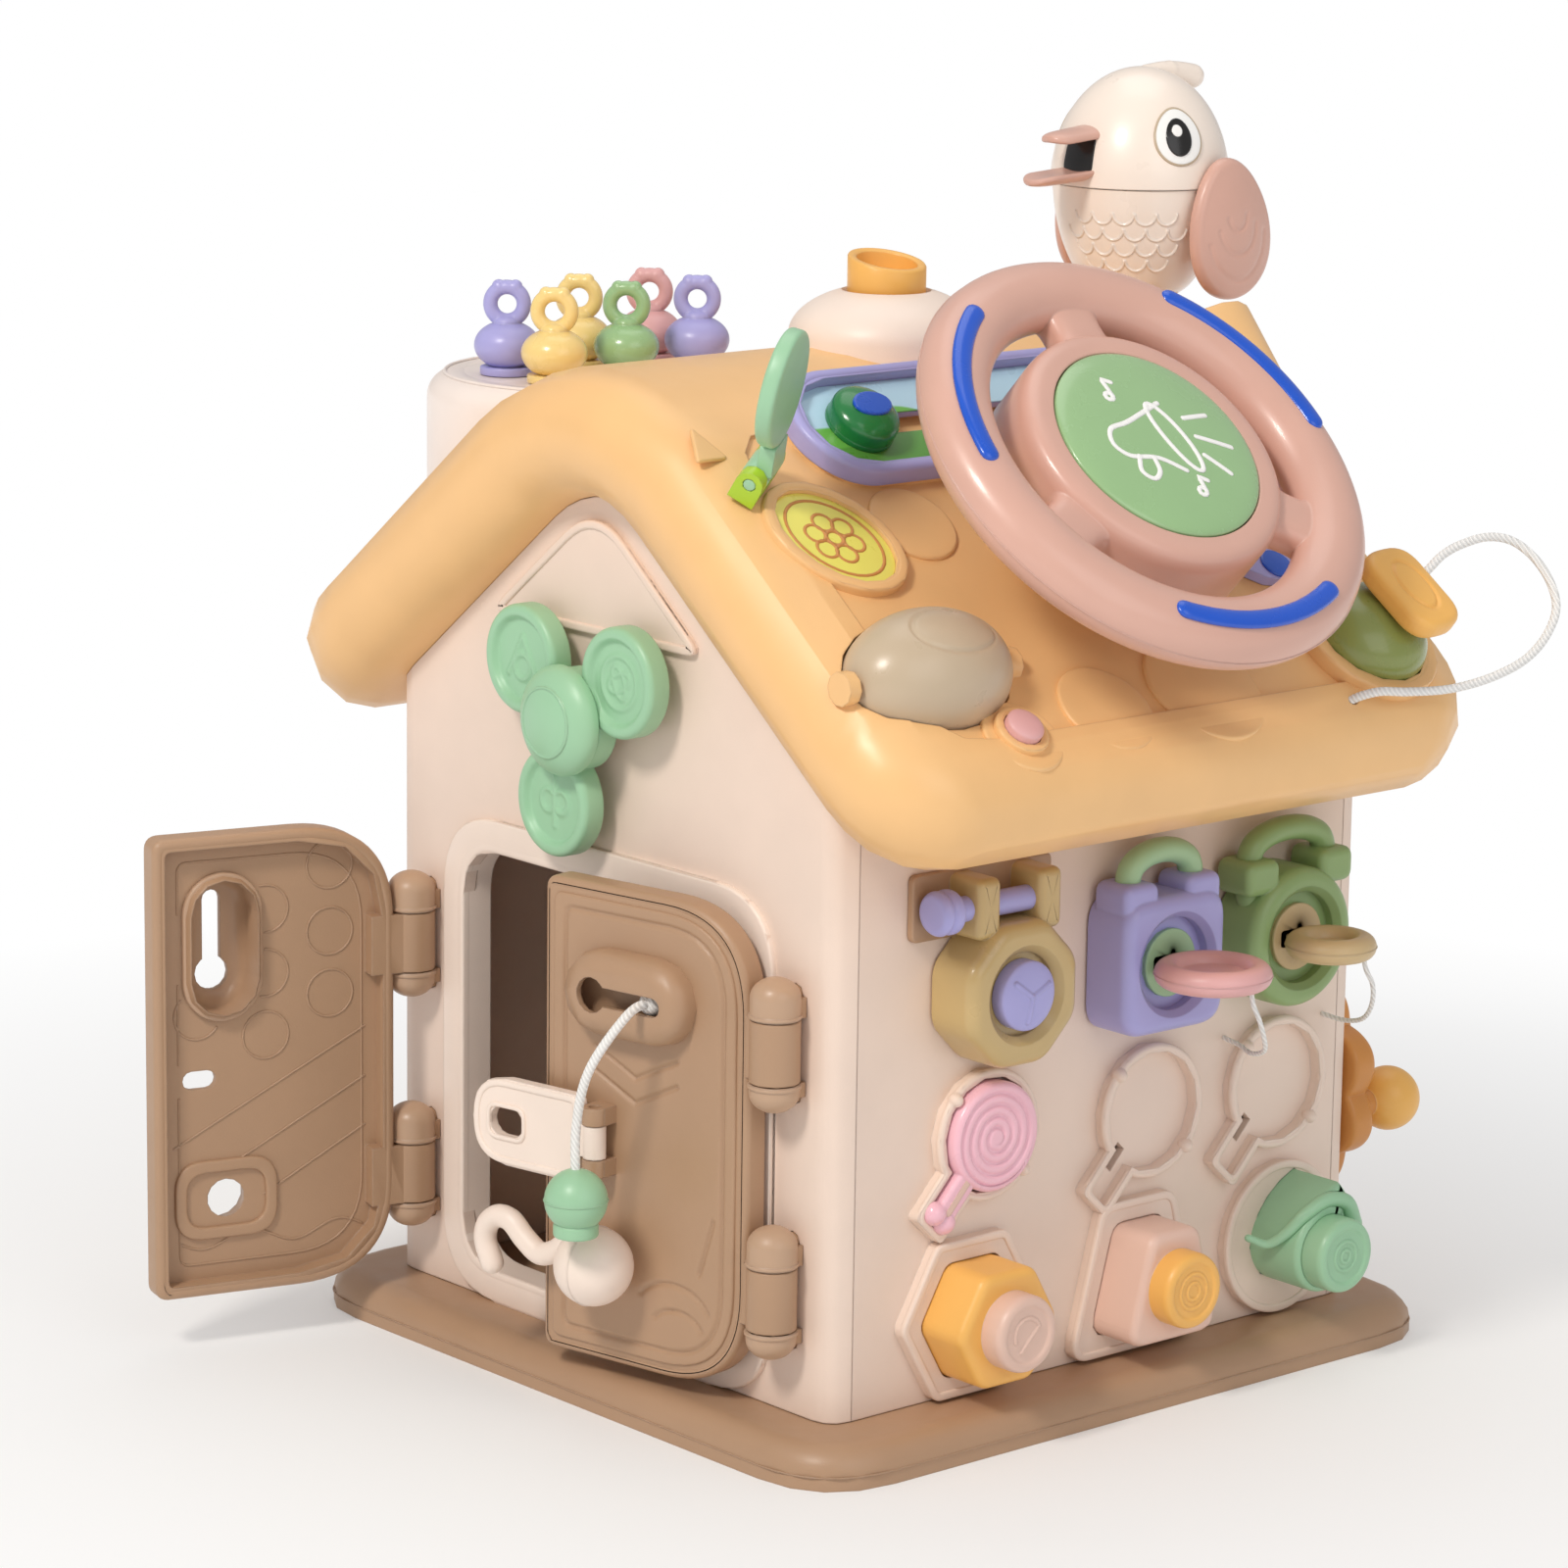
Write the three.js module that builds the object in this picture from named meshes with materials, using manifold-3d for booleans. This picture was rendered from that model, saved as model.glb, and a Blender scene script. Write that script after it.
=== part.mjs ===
// Activity house for a small child: a gabled toy house with two doors, padlocks, shape sorters,
// a steering wheel and other things to turn, press, pull and sort on its walls and roof.
// Millimetres, +Z up. The gable with the doors looks along -Y, the padlock wall looks along +X,
// and the origin is the middle of the underside of the base.
import * as THREE from 'three';
import { mergeVertices } from 'three/addons/utils/BufferGeometryUtils.js';
import Module from 'manifold-3d';

const wasm = await Module();
wasm.setup();

// Clearances that every fit shares
const SEAT = 0.3;
const RUNNING = 0.6;
const OVERRUN = 6;
const EMBED = 2;

// House body
const BODY_WIDTH = 250;
const BODY_DEPTH = 260;
const WALL = 3.5;
const CORNER = 10;
const CORNER_WRAP = 10;

// Base
const BASE_MARGIN = 26;
const BASE_HEIGHT = 15;
const BASE_CORNER = 34;
const BASE_ROUND = 10;
const BASE_SHELL = 4;
const BASE_RIB = 5;
const BASE_HUB_RADIUS = 20;

// Roof: a thick slab with round edges, bent over the ridge
const RIDGE_HEIGHT = 350;
const SLOPE_ANGLE = THREE.MathUtils.degToRad(38.5);
const RIDGE_BEND = 72;
const ROOF_HALF = 23;
const ROOF_SHELL = 6;
const ROOF_HOLLOW_REACH = 136;
const ROOF_HOLLOW_LENGTH = 232;
const ROOF_LENGTH = 294;
const ROOF_MIDDLE = -7;
const ROOF_CORNER = 42;
const SLOPE_LENGTH = 220;
const FAR_SLOPE_LENGTH = 209;
const FLARE_LENGTH = 50;
const FLARE_ANGLE = THREE.MathUtils.degToRad(6);
const PANEL_RECESS = 1.6;
const PANEL_LENGTH = 232;
const PANEL_HEIGHT = 148;
const PANEL_DROP = 16;
const PANEL_CORNER = 22;
const SLOPE_STATION = 101;
const EDGE_STEPS = 4;
const EDGE_SHARE = 0.2;
const BEND_STEPS = 4;
const ROOF_ARC_STEPS = 5;

// Doorway in the gable wall, its raised frame and the gable relief above it
const DOORWAY_SIDE = 43;
const DOORWAY_WIDTH = BODY_WIDTH - 2 * DOORWAY_SIDE;
const DOORWAY_SILL = 27;
const DOORWAY_HEIGHT = 160;
const DOORWAY_CORNER = 20;
const DOORWAY_FRAME = 12;
const FRAME_PROUD = 2;
const GABLE_PANEL_ASIDE = 5.5;
const GABLE_PANEL_WIDTH = 121;
const GABLE_PANEL_HEIGHT = 48;
const GABLE_PANEL_SILL = 277;
const GABLE_PANEL_CORNER = 11;

// Hinges: bullet barrels on studs, with the door knuckle between them
const HINGE_SIDE = 21;
const HINGE_X = BODY_WIDTH / 2 - HINGE_SIDE;
const HINGE_OUT = 9.4;
const HINGE_RADIUS = 8.8;
const KNUCKLE = 23;
const BULLET_TOP = 14.5;
const BULLET_FOOT = 10.5;
const BULLET_DOME = 7.2;
const HINGE_LOW = 59;
const HINGE_HIGH = 148;
const HINGE_PIN = 3;
const STUD_RADIUS = 3.5;
const SADDLE = 12;
const STRIP_WIDTH = 12;
const STRIP_THICK = 2;

// Doors: shallow trays with a rim behind the face
const DOOR_HEIGHT = 174;
const DOOR_SILL = 21;
const DOOR_EDGE_GAP = 0.6;
const DOOR_THICK = 9.5;
const DOOR_FACE = 2.5;
const DOOR_RIM = 4.5;
const DOOR_ROUND = 38;
const DOOR_SQUARE = 5;
const DOOR_BEVEL = 2.5;
const DOOR_OUT = 2.7;
const LEFT_DOOR_OPEN = THREE.MathUtils.degToRad(105);
const RIGHT_DOOR_OPEN = THREE.MathUtils.degToRad(10.2);
const BOSS_LENGTH = 56;
const BOSS_WIDTH = 31;
const BOSS_PROUD = 11;
const BOSS_WALL = 2.5;
const BOSS_ROUND = 6;
const RIGHT_BOSS_REACH = 60;
const RIGHT_BOSS_HEIGHT = 158;
const LEFT_BOSS_REACH = 75;
const LEFT_BOSS_HEIGHT = 152;
const KEYHOLE_SLOT = 7;
const KEYHOLE_BULB = 13;
const KEYHOLE_LENGTH = 38;
const CATCH_REACH = 84;
const CATCH_HEIGHT = 102;
const CATCH_LENGTH = 13;
const CATCH_WIDTH = 7;
const CATCH_TAB = 9;
const CATCH_TAB_PROUD = 1.5;
const FUNNEL_REACH = 74;
const FUNNEL_HEIGHT = 56;
const FUNNEL_LENGTH = 34;
const FUNNEL_WIDTH = 24;
const FUNNEL_PROUD = 6;
const FUNNEL_THROAT = 6;
const FUNNEL_MOUTH = 9.6;

// Hasp that swings on a pin at the right door
const HASP_LENGTH = 56;
const HASP_WIDTH = 32;
const HASP_THICK = 4;
const HASP_HEIGHT = 104;
const HASP_REACH = 73;
const HASP_SLOT_LENGTH = 16;
const HASP_SLOT_WIDTH = 11;
const HASP_BARREL = 4.2;
const HASP_BARREL_LENGTH = 12;
const HASP_POST = 4.6;
const HASP_POST_LENGTH = 6.4;
const HASP_STAND = 7.5;

// Ball knob with a waved tail
const HOOK_BALL = 14.3;
const HOOK_REACH = 67;
const HOOK_HEIGHT = 61;
const HOOK_STALK = 5;
const HOOK_STAND = 4;
const HOOK_PIN = 4;
const TAIL_RADIUS = 4.2;
const TAIL_LENGTH = 56;
const TAIL_WAVE = 10;
const TAIL_SHARES = [
  [0.16, 0.5], [0.3, 0.4], [0.43, -0.1], [0.55, -0.3], [0.68, 0.1],
  [0.8, 0.65], [0.91, 0.7], [1, 0.3], [1.02, -0.3], [0.96, -1.1],
];

// Cord and bead on the right door
const DOOR_CORD_RADIUS = 1.7;
const CORD_KNOT = 5;
const CORD_ASIDE = 11;
const BEAD_RADIUS = 11.2;
const BEAD_COLLAR = 8;
const BEAD_COLLAR_HEIGHT = 6;
const BEAD_COLLAR_SINK = 4;
const BEAD_DROP = 67.5;
const BEAD_SIDE = 11;
const BEAD_OUT = 35;
const CORD_DROP_SHARES = [0.06, 0.3, 0.6];

// Three-lobed spinner on the gable
const SPINNER_ASIDE = 4;
const SPINNER_HEIGHT = 248;
const SPINNER_BOSS_RADIUS = 11;
const SPINNER_BOSS_HEIGHT = 7;
const SPINNER_ARM = 32.5;
const LOBE_RADIUS = 20;
const LOBE_THICK = 9;
const LOBE_RECESS = 2.5;
const LOBE_RIM = 4;
const LOBE_ANGLES = [32, 147, 255].map((angle) => THREE.MathUtils.degToRad(angle));
const CAP_RADIUS = 20;
const CAP_DOME = 9;
const SPINNER_PIN = 4;

// Steering wheel and horn button
const WHEEL_ALONG = -15;
const WHEEL_UP = -22;
const WHEEL_LIFT = 55;
const WHEEL_TILT = THREE.MathUtils.degToRad(5);
const RIM_RADIUS = 75;
const RIM_TUBE = 13;
const RIM_TUBE_DEPTH = 11.5;
const HUB_RADIUS = 52;
const HUB_HEIGHT = 30;
const HUB_TOP = 10;
const HUB_SHELL = 5;
const HUB_EDGE = 1.5;
const SPOKE_WIDTH = 22;
const SPOKE_THICK = 15;
const SPOKE_TURN = THREE.MathUtils.degToRad(85);
const BUTTON_RADIUS = 40.5;
const BUTTON_HEIGHT = 8;
const BUTTON_CROWN = 4;
const BUTTON_TRAVEL = 3;
const COLUMN_RADIUS = 21;
const COLUMN_PIN = 9;
const COLUMN_PIN_LENGTH = 12;

// Picture tray with its sliding knob
const TRAY_ALONG = -14;
const TRAY_UP = 51.5;
const TRAY_LENGTH = 167;
const TRAY_WIDTH = 50;
const TRAY_HEIGHT = 7;
const TRAY_RIM = 4.5;
const TRAY_FLOOR = 2.5;
const TRAY_SLOT = 9;
const TRAY_SLOT_LENGTH = 118;
const KNOB_RADIUS = 13;
const KNOB_HEIGHT = 12;
const KNOB_STEM = 3.6;
const KNOB_ALONG = -54;
const KNOB_FOOT = 6;
const KNOB_FOOT_THICK = 2;
const ARM_WIDTH = 16;
const ARM_PLATE_RADIUS = 17;
const ARM_PLATE_ALONG = 74;
const ARM_PLATE_UP = -25;
const ARM_HEIGHT = 4;

// Oval picture disc, its ring and the flap over it
const DISC_ALONG = -109;
const DISC_UP = 5;
const DISC_HALF_LONG = 24;
const DISC_HALF_WIDE = 19;
const DISC_RING = 4;
const DISC_RING_HEIGHT = 3.6;
const FLAP_HALF_LONG = 21.5;
const FLAP_HALF_WIDE = 19;
const FLAP_TURN = THREE.MathUtils.degToRad(34.8);
const FLAP_OPEN = THREE.MathUtils.degToRad(108);
const FLAP_THICK = 6;
const FLAP_BARREL = 5;
const FLAP_BARREL_LENGTH = 13;
const FLAP_PIN = 2.2;
const FLAP_CHEEK = 5;
const FLAP_AXIS_LIFT = 8.5;
const FLAP_AXIS_GAP = 10;
const FLAP_BASE = 2;
const FLAP_BEVEL = 1.5;

// Roller egg sunk in the slope, and the small button beside it
const EGG_ALONG = -109;
const EGG_UP = -58;
const EGG_LIFT = 0;
const EGG_HALF_LONG = 33.5;
const EGG_RADIUS = 23.5;
const EGG_PIN = 3;
const EGG_PIN_LENGTH = 4;
const EGG_POST = 6;
const EGG_GAP = 1;
const STUD_BUTTON_ALONG = -89;
const STUD_BUTTON_UP = -89;
const STUD_BUTTON_RADIUS = 7;
const STUD_BUTTON_HEIGHT = 6;
const STUD_BUTTON_TRAVEL = 2.5;
const STUD_RING = 3;
const STUD_RING_HEIGHT = 4;

// Green dial in its ring, the pull grip lying on it and the grip's cord
const DIAL_ALONG = 92;
const DIAL_UP = -74;
const DIAL_RADIUS = 22;
const DIAL_DOME = 15;
const DIAL_RING = 5;
const DIAL_RING_HEIGHT = 6;
const DIAL_DEPTH = 8;
const GRIP_HALF_LONG = 20;
const GRIP_HALF_WIDE = 13;
const GRIP_THICK = 9;
const GRIP_ALONG = 99;
const GRIP_UP = -73;
const GRIP_TURN = THREE.MathUtils.degToRad(95);
const GRIP_CORD_RADIUS = 1.6;
const GRIP_ROUTE = [
  [168.6, 109.5, 297],
  [167.3, 116, 300.2],
  [165.8, 123.5, 303.4],
  [165.2, 133.5, 306.1],
  [166.4, 147.9, 307.8],
  [169.4, 158, 305.4],
  [174.8, 164.7, 298.5],
  [180.6, 166.7, 290.1],
  [185.2, 164.6, 282.6],
  [188.5, 157, 274.8],
  [191.1, 143.9, 267.6],
  [192.3, 124.3, 262.8],
  [190.6, 103, 260.4],
  [187.3, 84, 261],
  [182.7, 72.7, 261.5],
  [176.4, 66, 258],
  [171.5, 63.7, 251.5],
];

// Ridge dome and spout
const DOME_RADIUS = 36;
const DOME_HEIGHT = 19;
const DOME_SINK = 12;
const SPOUT_RADIUS = 14.5;
const SPOUT_HEIGHT = 17;
const SPOUT_SLANT = 6;
const SPOUT_STEM = 6;
const SPOUT_STEM_LENGTH = 9;
const SPOUT_WALL = 3.5;

// Peg drum on the far slope and its six pegs
const DRUM_X = -86;
const DRUM_Y = -64;
const DRUM_RADIUS = 65;
const DRUM_TOP = 357;
const DRUM_ROUND = 9;
const PEG_ROW = 14;
const PEG_STEP = 34;
const PEG_TURN = THREE.MathUtils.degToRad(45);
const PEG_STEM = 7.5;
const PEG_STEM_LENGTH = 12;
const PEG_FLANGE = 10;
const PEG_FLANGE_HEIGHT = 3;
const PEG_BULB = 12.2;
const PEG_BULB_HALF = 9;
const PEG_RING = 6.2;
const PEG_RING_TUBE = 2.7;

// Bird on the ridge
const BIRD_Y = 128.5;
const BIRD_FOOT = 381;
const BIRD_HEIGHT = 87;
const BIRD_RADIUS = 34;
const BIRD_SEAM = 43;
const BODY_SHARES = [[0.4, 0], [0.58, 0.1], [0.73, 0.27], [0.86, 0.5], [0.94, 0.75], [0.98, 1]];
const NECK_RADIUS = 20;
const NECK_HEIGHT = 5;
const CREST_RADIUS = 4.5;
const CREST_LENGTH = 22;
const CREST_BACK = 13;
const CREST_DROP = 0.5;
const MOUTH_WIDTH = 30;
const MOUTH_HEIGHT = 23;
const MOUTH_DEPTH = 13;
const MOUTH_RISE = 13;
const BEAK_REACH = 25;
const BEAK_WALL = 3;
const WING_HALF_WIDE = 20;
const WING_HALF_TALL = 27;
const WING_LEAN = THREE.MathUtils.degToRad(9);
const WING_BACK = 12;
const WING_DROP = 3;
const WING_THICK = 8;
const WING_BEVEL = 1;
const WING_PIVOT = 31;
const WING_PIN = 3;
const WING_PIN_LENGTH = 10;
const PERCH_RADIUS = 17;
const CHUTE_OUTER = 19;
const CHUTE_INNER = 14;
const CHUTE_LENGTH = 52;
const CHUTE_X = 44;
const CHUTE_Y = 120;
const CHUTE_Z = 373;
const CHUTE_ANGLE = THREE.MathUtils.degToRad(50);

// Padlocks
const LOCK_HEIGHT = 164;
const OCTAGON_ALONG = -61;
const OCTAGON_RADIUS = 28;
const LOCK_THICK = 22;
const LOCK_BEVEL = 5;
const OCTAGON_DISH = 15;
const DISH_DEPTH = 5;
const LUG_THICK = 11;
const LUG_WIDTH = 18;
const LUG_HEIGHT = 22;
const LUG_SPREAD = 29;
const BOLT_RADIUS = 4.5;
const BOLT_LENGTH = 46;
const BOLT_ASIDE = 3;
const KEEP_ASIDE = 4;
const BOLT_HEAD = 8;
const BOLT_HEAD_LENGTH = 12;
const BOLT_RISE = 32;
const BOLT_OUT = 11.5;
const KEEP_LENGTH = 66;
const KEEP_HEIGHT = 24;
const KEEP_THICK = 2.5;
const OCTAGON_DIAL = 12.5;
const OCTAGON_DIAL_HEIGHT = 5;
const SQUARE_ALONG = 13;
const SQUARE_SIDE = 50;
const SQUARE_CORNER = 11;
const SHOULDER_WIDTH = 17;
const SHOULDER_HEIGHT = 5;
const SHACKLE_TUBE = 4.6;
const SQUARE_SHACKLE = { spread: 31, leg: 1.5, arch: 8.5 };
const ROUND_SHACKLE = { spread: 38, leg: 1, arch: 8.5 };
const SHACKLE_SINK = 14;
const SHACKLE_STEPS = 14;
const ARCH_POINTS = 6;
const ROTOR_RADIUS = 12.5;
const ROTOR_HEIGHT = 12;
const ROTOR_SUNK = 4;
const LOCK_DISH = 17;
const LOCK_DISH_DEPTH = 6;
const ROTOR_SLOT = 5;
const ROTOR_SLOT_LENGTH = 16;
const ROUND_ALONG = 78;
const ROUND_RADIUS = 26;

// Keys
const PINK_RING = 16.5;
const TAN_RING = 12;
const KEY_RING_TUBE = 4.6;
const KEY_BLADE = 10;
const KEY_BLADE_WIDTH = 12;
const KEY_BLADE_THICK = 3.4;
const KEY_STRING_RADIUS = 0.9;
const PINK_ROUTE = [
  [179.6, 17.3, 159.2],
  [180, 18, 155],
  [180, 21, 149.5],
  [176, 28, 141],
  [166, 39, 132],
  [150, 49, 126],
  [136, 57, 125],
  [125.2, 60, 125],
];
const TAN_ROUTE = [
  [169.4, 85.7, 159.2],
  [169.8, 87, 155],
  [170, 90, 150],
  [167, 94, 143],
  [158, 101, 134],
  [147, 107.5, 128.5],
  [136, 111, 126],
  [125.2, 112, 126],
];
const CANDY_RADIUS = 20;
const CANDY_THICK = 9;
const CANDY_ALONG = -61;
const CANDY_HEIGHT = 110;
const CANDY_STEM = 38;
const CANDY_STEM_WIDTH = 9;
const CANDY_BIT = 8;
const CRADLE_TILT = THREE.MathUtils.degToRad(43);
const CRADLE_RIM = 2.6;
const CRADLE_PROUD = 5;
const CRADLE_GAP = 1.2;
const CRADLE_TWO_ALONG = 20;
const CRADLE_TWO_HEIGHT = 105;
const CRADLE_THREE_ALONG = 85;
const CRADLE_THREE_HEIGHT = 105;
const KEY_SLOT_REACH = 21.5;
const KEY_SLOT_LENGTH = 10;
const KEY_SLOT_WIDTH = 4.5;

// Shape sorters
const SORTER_HEIGHT = 45;
const SORTER_FRAME = 8;
const SORTER_PROUD = 4.5;
const SORTER_GAP = 0.4;
const BLOCK_PROUD = 25;
const LEAF_PROUD = 29;
const BLOCK_SINK = 22;
const BLOCK_ROUND = 3;
const BLOCK_KNOB = 14;
const BLOCK_KNOB_HEIGHT = 10;
const HEXAGON_ALONG = -68;
const HEXAGON_RADIUS = 24;
const TRAPEZOID_ALONG = 14;
const TRAPEZOID_TOP = 24;
const TRAPEZOID_FOOT = 46;
const TRAPEZOID_HEIGHT = 41;
const TRAPEZOID_CORNER = 10;
const LEAF_ALONG = 89;
const LEAF_RADIUS = 16;
const LEAF_FIN = 25;
const LEAF_FRAME_RADIUS = 29;
const LEAF_START = THREE.MathUtils.degToRad(140);
const LEAF_END = THREE.MathUtils.degToRad(414);
const LEAF_NEAR_SHARES = [-0.4, 1.25];
const LEAF_FAR_SHARES = [0.9, 1.1];

// Flower crank on the rear wall
const FLOWER_X = 84;
const FLOWER_HEIGHT = 90;
const FLOWER_RADIUS = 34;
const PETAL_RADIUS = 11;
const PETALS = 9;
const FLOWER_THICK = 12;
const FLOWER_SHAFT = 6;
const CRANK_REACH = 33;
const CRANK_DROP = 6;
const CRANK_NECK = 5;
const CRANK_NECK_LENGTH = 10;
const CRANK_BALL = 12.3;

// Counts of facets
const ROUND_STEPS = 14;
const FINE_STEPS = 18;
const SMALL_STEPS = 10;
const PIN_STEPS = 8;
const BULLET_STEPS = 8;
const ARC_STEPS = 3;
const CORD_SIDES = 8;
const BALL_RINGS = 6;
const GRIP_CORD_STEPS = 28;
const STRING_STEPS = 13;
const OVAL_STEPS = 8;

// Sums that several pieces share
const FRONT_Y = -BODY_DEPTH / 2;
const SIDE_X = BODY_WIDTH / 2;
const WALL_FOOT = BASE_HEIGHT + SEAT;
const BEND_LENGTH = RIDGE_BEND * SLOPE_ANGLE;
const DOOR_FREE_REACH = HINGE_X - DOOR_EDGE_GAP;
const DOOR_HINGE_REACH = HINGE_RADIUS + RUNNING;
const DOOR_INNER = DOOR_OUT - DOOR_THICK;
const HUB_FLOOR = HUB_TOP - BUTTON_HEIGHT - BUTTON_TRAVEL - SEAT;
const HUB_UNDERSIDE = HUB_TOP - HUB_HEIGHT;
const BOLT_HEIGHT = LOCK_HEIGHT + BOLT_RISE;
const BARREL_POSITION = DISC_HALF_LONG + FLAP_AXIS_GAP;
const LOCK_FRONT = SEAT + LOCK_THICK;
const SHOULDER_TOP = SQUARE_SIDE / 2 + SHOULDER_HEIGHT;

// Vectors, outlines and closed solids
const at = (x, y, z) => new THREE.Vector3(x, y, z);

function polygon(points, radii = 0) {
  const shape = new THREE.Shape();
  const corners = points.map(([x, y]) => new THREE.Vector2(x, y));
  corners.forEach((corner, index) => {
    const before = corners[(index + corners.length - 1) % corners.length];
    const after = corners[(index + 1) % corners.length];
    const radius = Array.isArray(radii) ? radii[index] : radii;
    const start = before.clone().sub(corner).setLength(radius).add(corner);
    const end = after.clone().sub(corner).setLength(radius).add(corner);
    if (index === 0) shape.moveTo(start.x, start.y);
    else shape.lineTo(start.x, start.y);
    if (radius > 0) shape.quadraticCurveTo(corner.x, corner.y, end.x, end.y);
  });
  shape.closePath();
  return shape;
}

function rectangle(width, height, radii = 0) {
  const x = width / 2;
  const y = height / 2;
  return polygon([[-x, -y], [x, -y], [x, y], [-x, y]], radii);
}

function stadium(length, width) {
  const radius = width / 2;
  const reach = length / 2 - radius;
  const shape = new THREE.Shape();
  shape.moveTo(-reach, -radius);
  shape.absarc(reach, 0, radius, -Math.PI / 2, Math.PI / 2, false);
  shape.absarc(-reach, 0, radius, Math.PI / 2, Math.PI * 1.5, false);
  return shape;
}

function oval(halfX, halfY) {
  const shape = new THREE.Shape();
  shape.absellipse(0, 0, halfX, halfY, 0, Math.PI * 2, false, 0);
  return shape;
}

function regular(sides, radius, turn, round) {
  const points = Array.from({ length: sides }, (_, index) => {
    const angle = turn + index * 2 * Math.PI / sides;
    return [radius * Math.cos(angle), radius * Math.sin(angle)];
  });
  return polygon(points, round);
}

function closed(geometry) {
  const bare = new THREE.BufferGeometry();
  bare.setAttribute('position', geometry.attributes.position.clone());
  if (geometry.index) bare.setIndex(geometry.index.clone());
  const merged = mergeVertices(bare);
  const position = merged.attributes.position;
  const kept = [];
  const [a, b, c] = [at(), at(), at()];
  let volume = 0;
  for (let index = 0; index < merged.index.count; index += 3) {
    const [i, j, k] = [0, 1, 2].map((step) => merged.index.getX(index + step));
    if (i === j || j === k || k === i) continue;
    kept.push(i, j, k);
    a.fromBufferAttribute(position, i);
    b.fromBufferAttribute(position, j);
    c.fromBufferAttribute(position, k);
    volume += a.dot(b.cross(c));
  }
  merged.setIndex(volume < 0 ? kept.reverse() : kept);
  return merged;
}

function solid(piece) {
  if (!piece.isBufferGeometry) return piece;
  const mesh = closed(piece);
  return new wasm.Manifold(new wasm.Mesh({
    numProp: 3,
    vertProperties: Float32Array.from(mesh.attributes.position.array),
    triVerts: Uint32Array.from(mesh.index.array),
  }));
}

function surface(manifold) {
  const mesh = manifold.getMesh();
  const geometry = new THREE.BufferGeometry();
  geometry.setAttribute('position', new THREE.BufferAttribute(mesh.vertProperties, 3));
  geometry.setIndex(Array.from(mesh.triVerts));
  return geometry;
}

function join(...pieces) {
  return surface(pieces.map(solid).reduce((whole, piece) => whole.add(piece)));
}

function cut(piece, ...tools) {
  return surface(tools.map(solid).reduce((whole, tool) => whole.subtract(tool), solid(piece)));
}

function common(...pieces) {
  return surface(pieces.map(solid).reduce((whole, piece) => whole.intersect(piece)));
}

function moved(geometry, x, y, z) {
  return geometry.clone().translate(x, y, z);
}

function prism(shape, depth, bevel = 0, steps = ARC_STEPS) {
  const geometry = new THREE.ExtrudeGeometry(shape, {
    depth: depth - 2 * bevel,
    curveSegments: steps,
    bevelEnabled: bevel > 0,
    bevelThickness: bevel,
    bevelSize: bevel,
    bevelOffset: -bevel,
    bevelSegments: bevel > 2 * EMBED ? 2 : 1,
  });
  return geometry.translate(0, 0, bevel);
}

function box(width, height, depth) {
  return new THREE.BoxGeometry(width, height, depth).translate(0, 0, depth / 2);
}

function rod(radius, length, steps = ROUND_STEPS) {
  const geometry = new THREE.CylinderGeometry(radius, radius, length, steps);
  return geometry.rotateX(Math.PI / 2).translate(0, 0, length / 2);
}

function turned(profile, steps = ROUND_STEPS) {
  const points = profile.map(([radius, height]) => new THREE.Vector2(radius, height));
  return new THREE.LatheGeometry(points, steps).rotateX(Math.PI / 2);
}

function dome(radius, height, steps = ARC_STEPS, from = 0) {
  return Array.from({ length: steps + 1 }, (_, index) => {
    const angle = index * Math.PI / 2 / steps;
    return [index === steps ? 0 : radius * Math.cos(angle), from + height * Math.sin(angle)];
  });
}

function loft(rings) {
  const positions = rings.flat().flatMap((point) => point.toArray());
  const count = rings[0].length;
  const index = [];
  for (let ring = 0; ring < rings.length - 1; ring += 1) {
    for (let step = 0; step < count; step += 1) {
      const here = ring * count + step;
      const next = ring * count + (step + 1) % count;
      index.push(here, next, next + count, here, next + count, here + count);
    }
  }
  for (const [ring, flip] of [[0, true], [rings.length - 1, false]]) {
    const middle = rings[ring].reduce((sum, point) => sum.add(point), at(0, 0, 0)).divideScalar(count);
    const centre = positions.length / 3;
    positions.push(...middle.toArray());
    for (let step = 0; step < count; step += 1) {
      const here = ring * count + step;
      const next = ring * count + (step + 1) % count;
      index.push(...(flip ? [next, here, centre] : [here, next, centre]));
    }
  }
  const geometry = new THREE.BufferGeometry();
  geometry.setAttribute('position', new THREE.Float32BufferAttribute(positions, 3));
  geometry.setIndex(index);
  return geometry;
}

function tube(points, radius, sides, steps) {
  const curve = new THREE.CatmullRomCurve3(points, false, 'centripetal');
  const section = new THREE.Shape();
  section.absarc(0, 0, radius, 0, Math.PI * 2, false);
  return new THREE.ExtrudeGeometry(section, {
    steps,
    curveSegments: sides / 2,
    bevelEnabled: false,
    extrudePath: curve,
  });
}

// Frames: each wall and slope has its own, with x along it, y up it and z out of it
const house = new THREE.Group();

function frame(parent, origin, along, up) {
  const group = new THREE.Group();
  const out = along.clone().cross(up);
  group.quaternion.setFromRotationMatrix(new THREE.Matrix4().makeBasis(along, up, out));
  group.position.copy(origin);
  parent.add(group);
  return group;
}

function inHouse(group, geometry) {
  group.updateWorldMatrix(true, false);
  return geometry.clone().applyMatrix4(group.matrixWorld);
}

function inFrame(group, geometry) {
  group.updateWorldMatrix(true, false);
  return geometry.clone().applyMatrix4(group.matrixWorld.clone().invert());
}

function place(parent, x, y, z) {
  const group = new THREE.Group();
  group.position.set(x, y, z);
  parent.add(group);
  return group;
}

function add(parent, name, geometry, finish) {
  const mesh = new THREE.Mesh(closed(geometry), finish);
  mesh.name = name;
  parent.add(mesh);
  return mesh;
}

function plastic(color, roughness = 0.42) {
  return new THREE.MeshStandardMaterial({ color, roughness, metalness: 0 });
}

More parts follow.
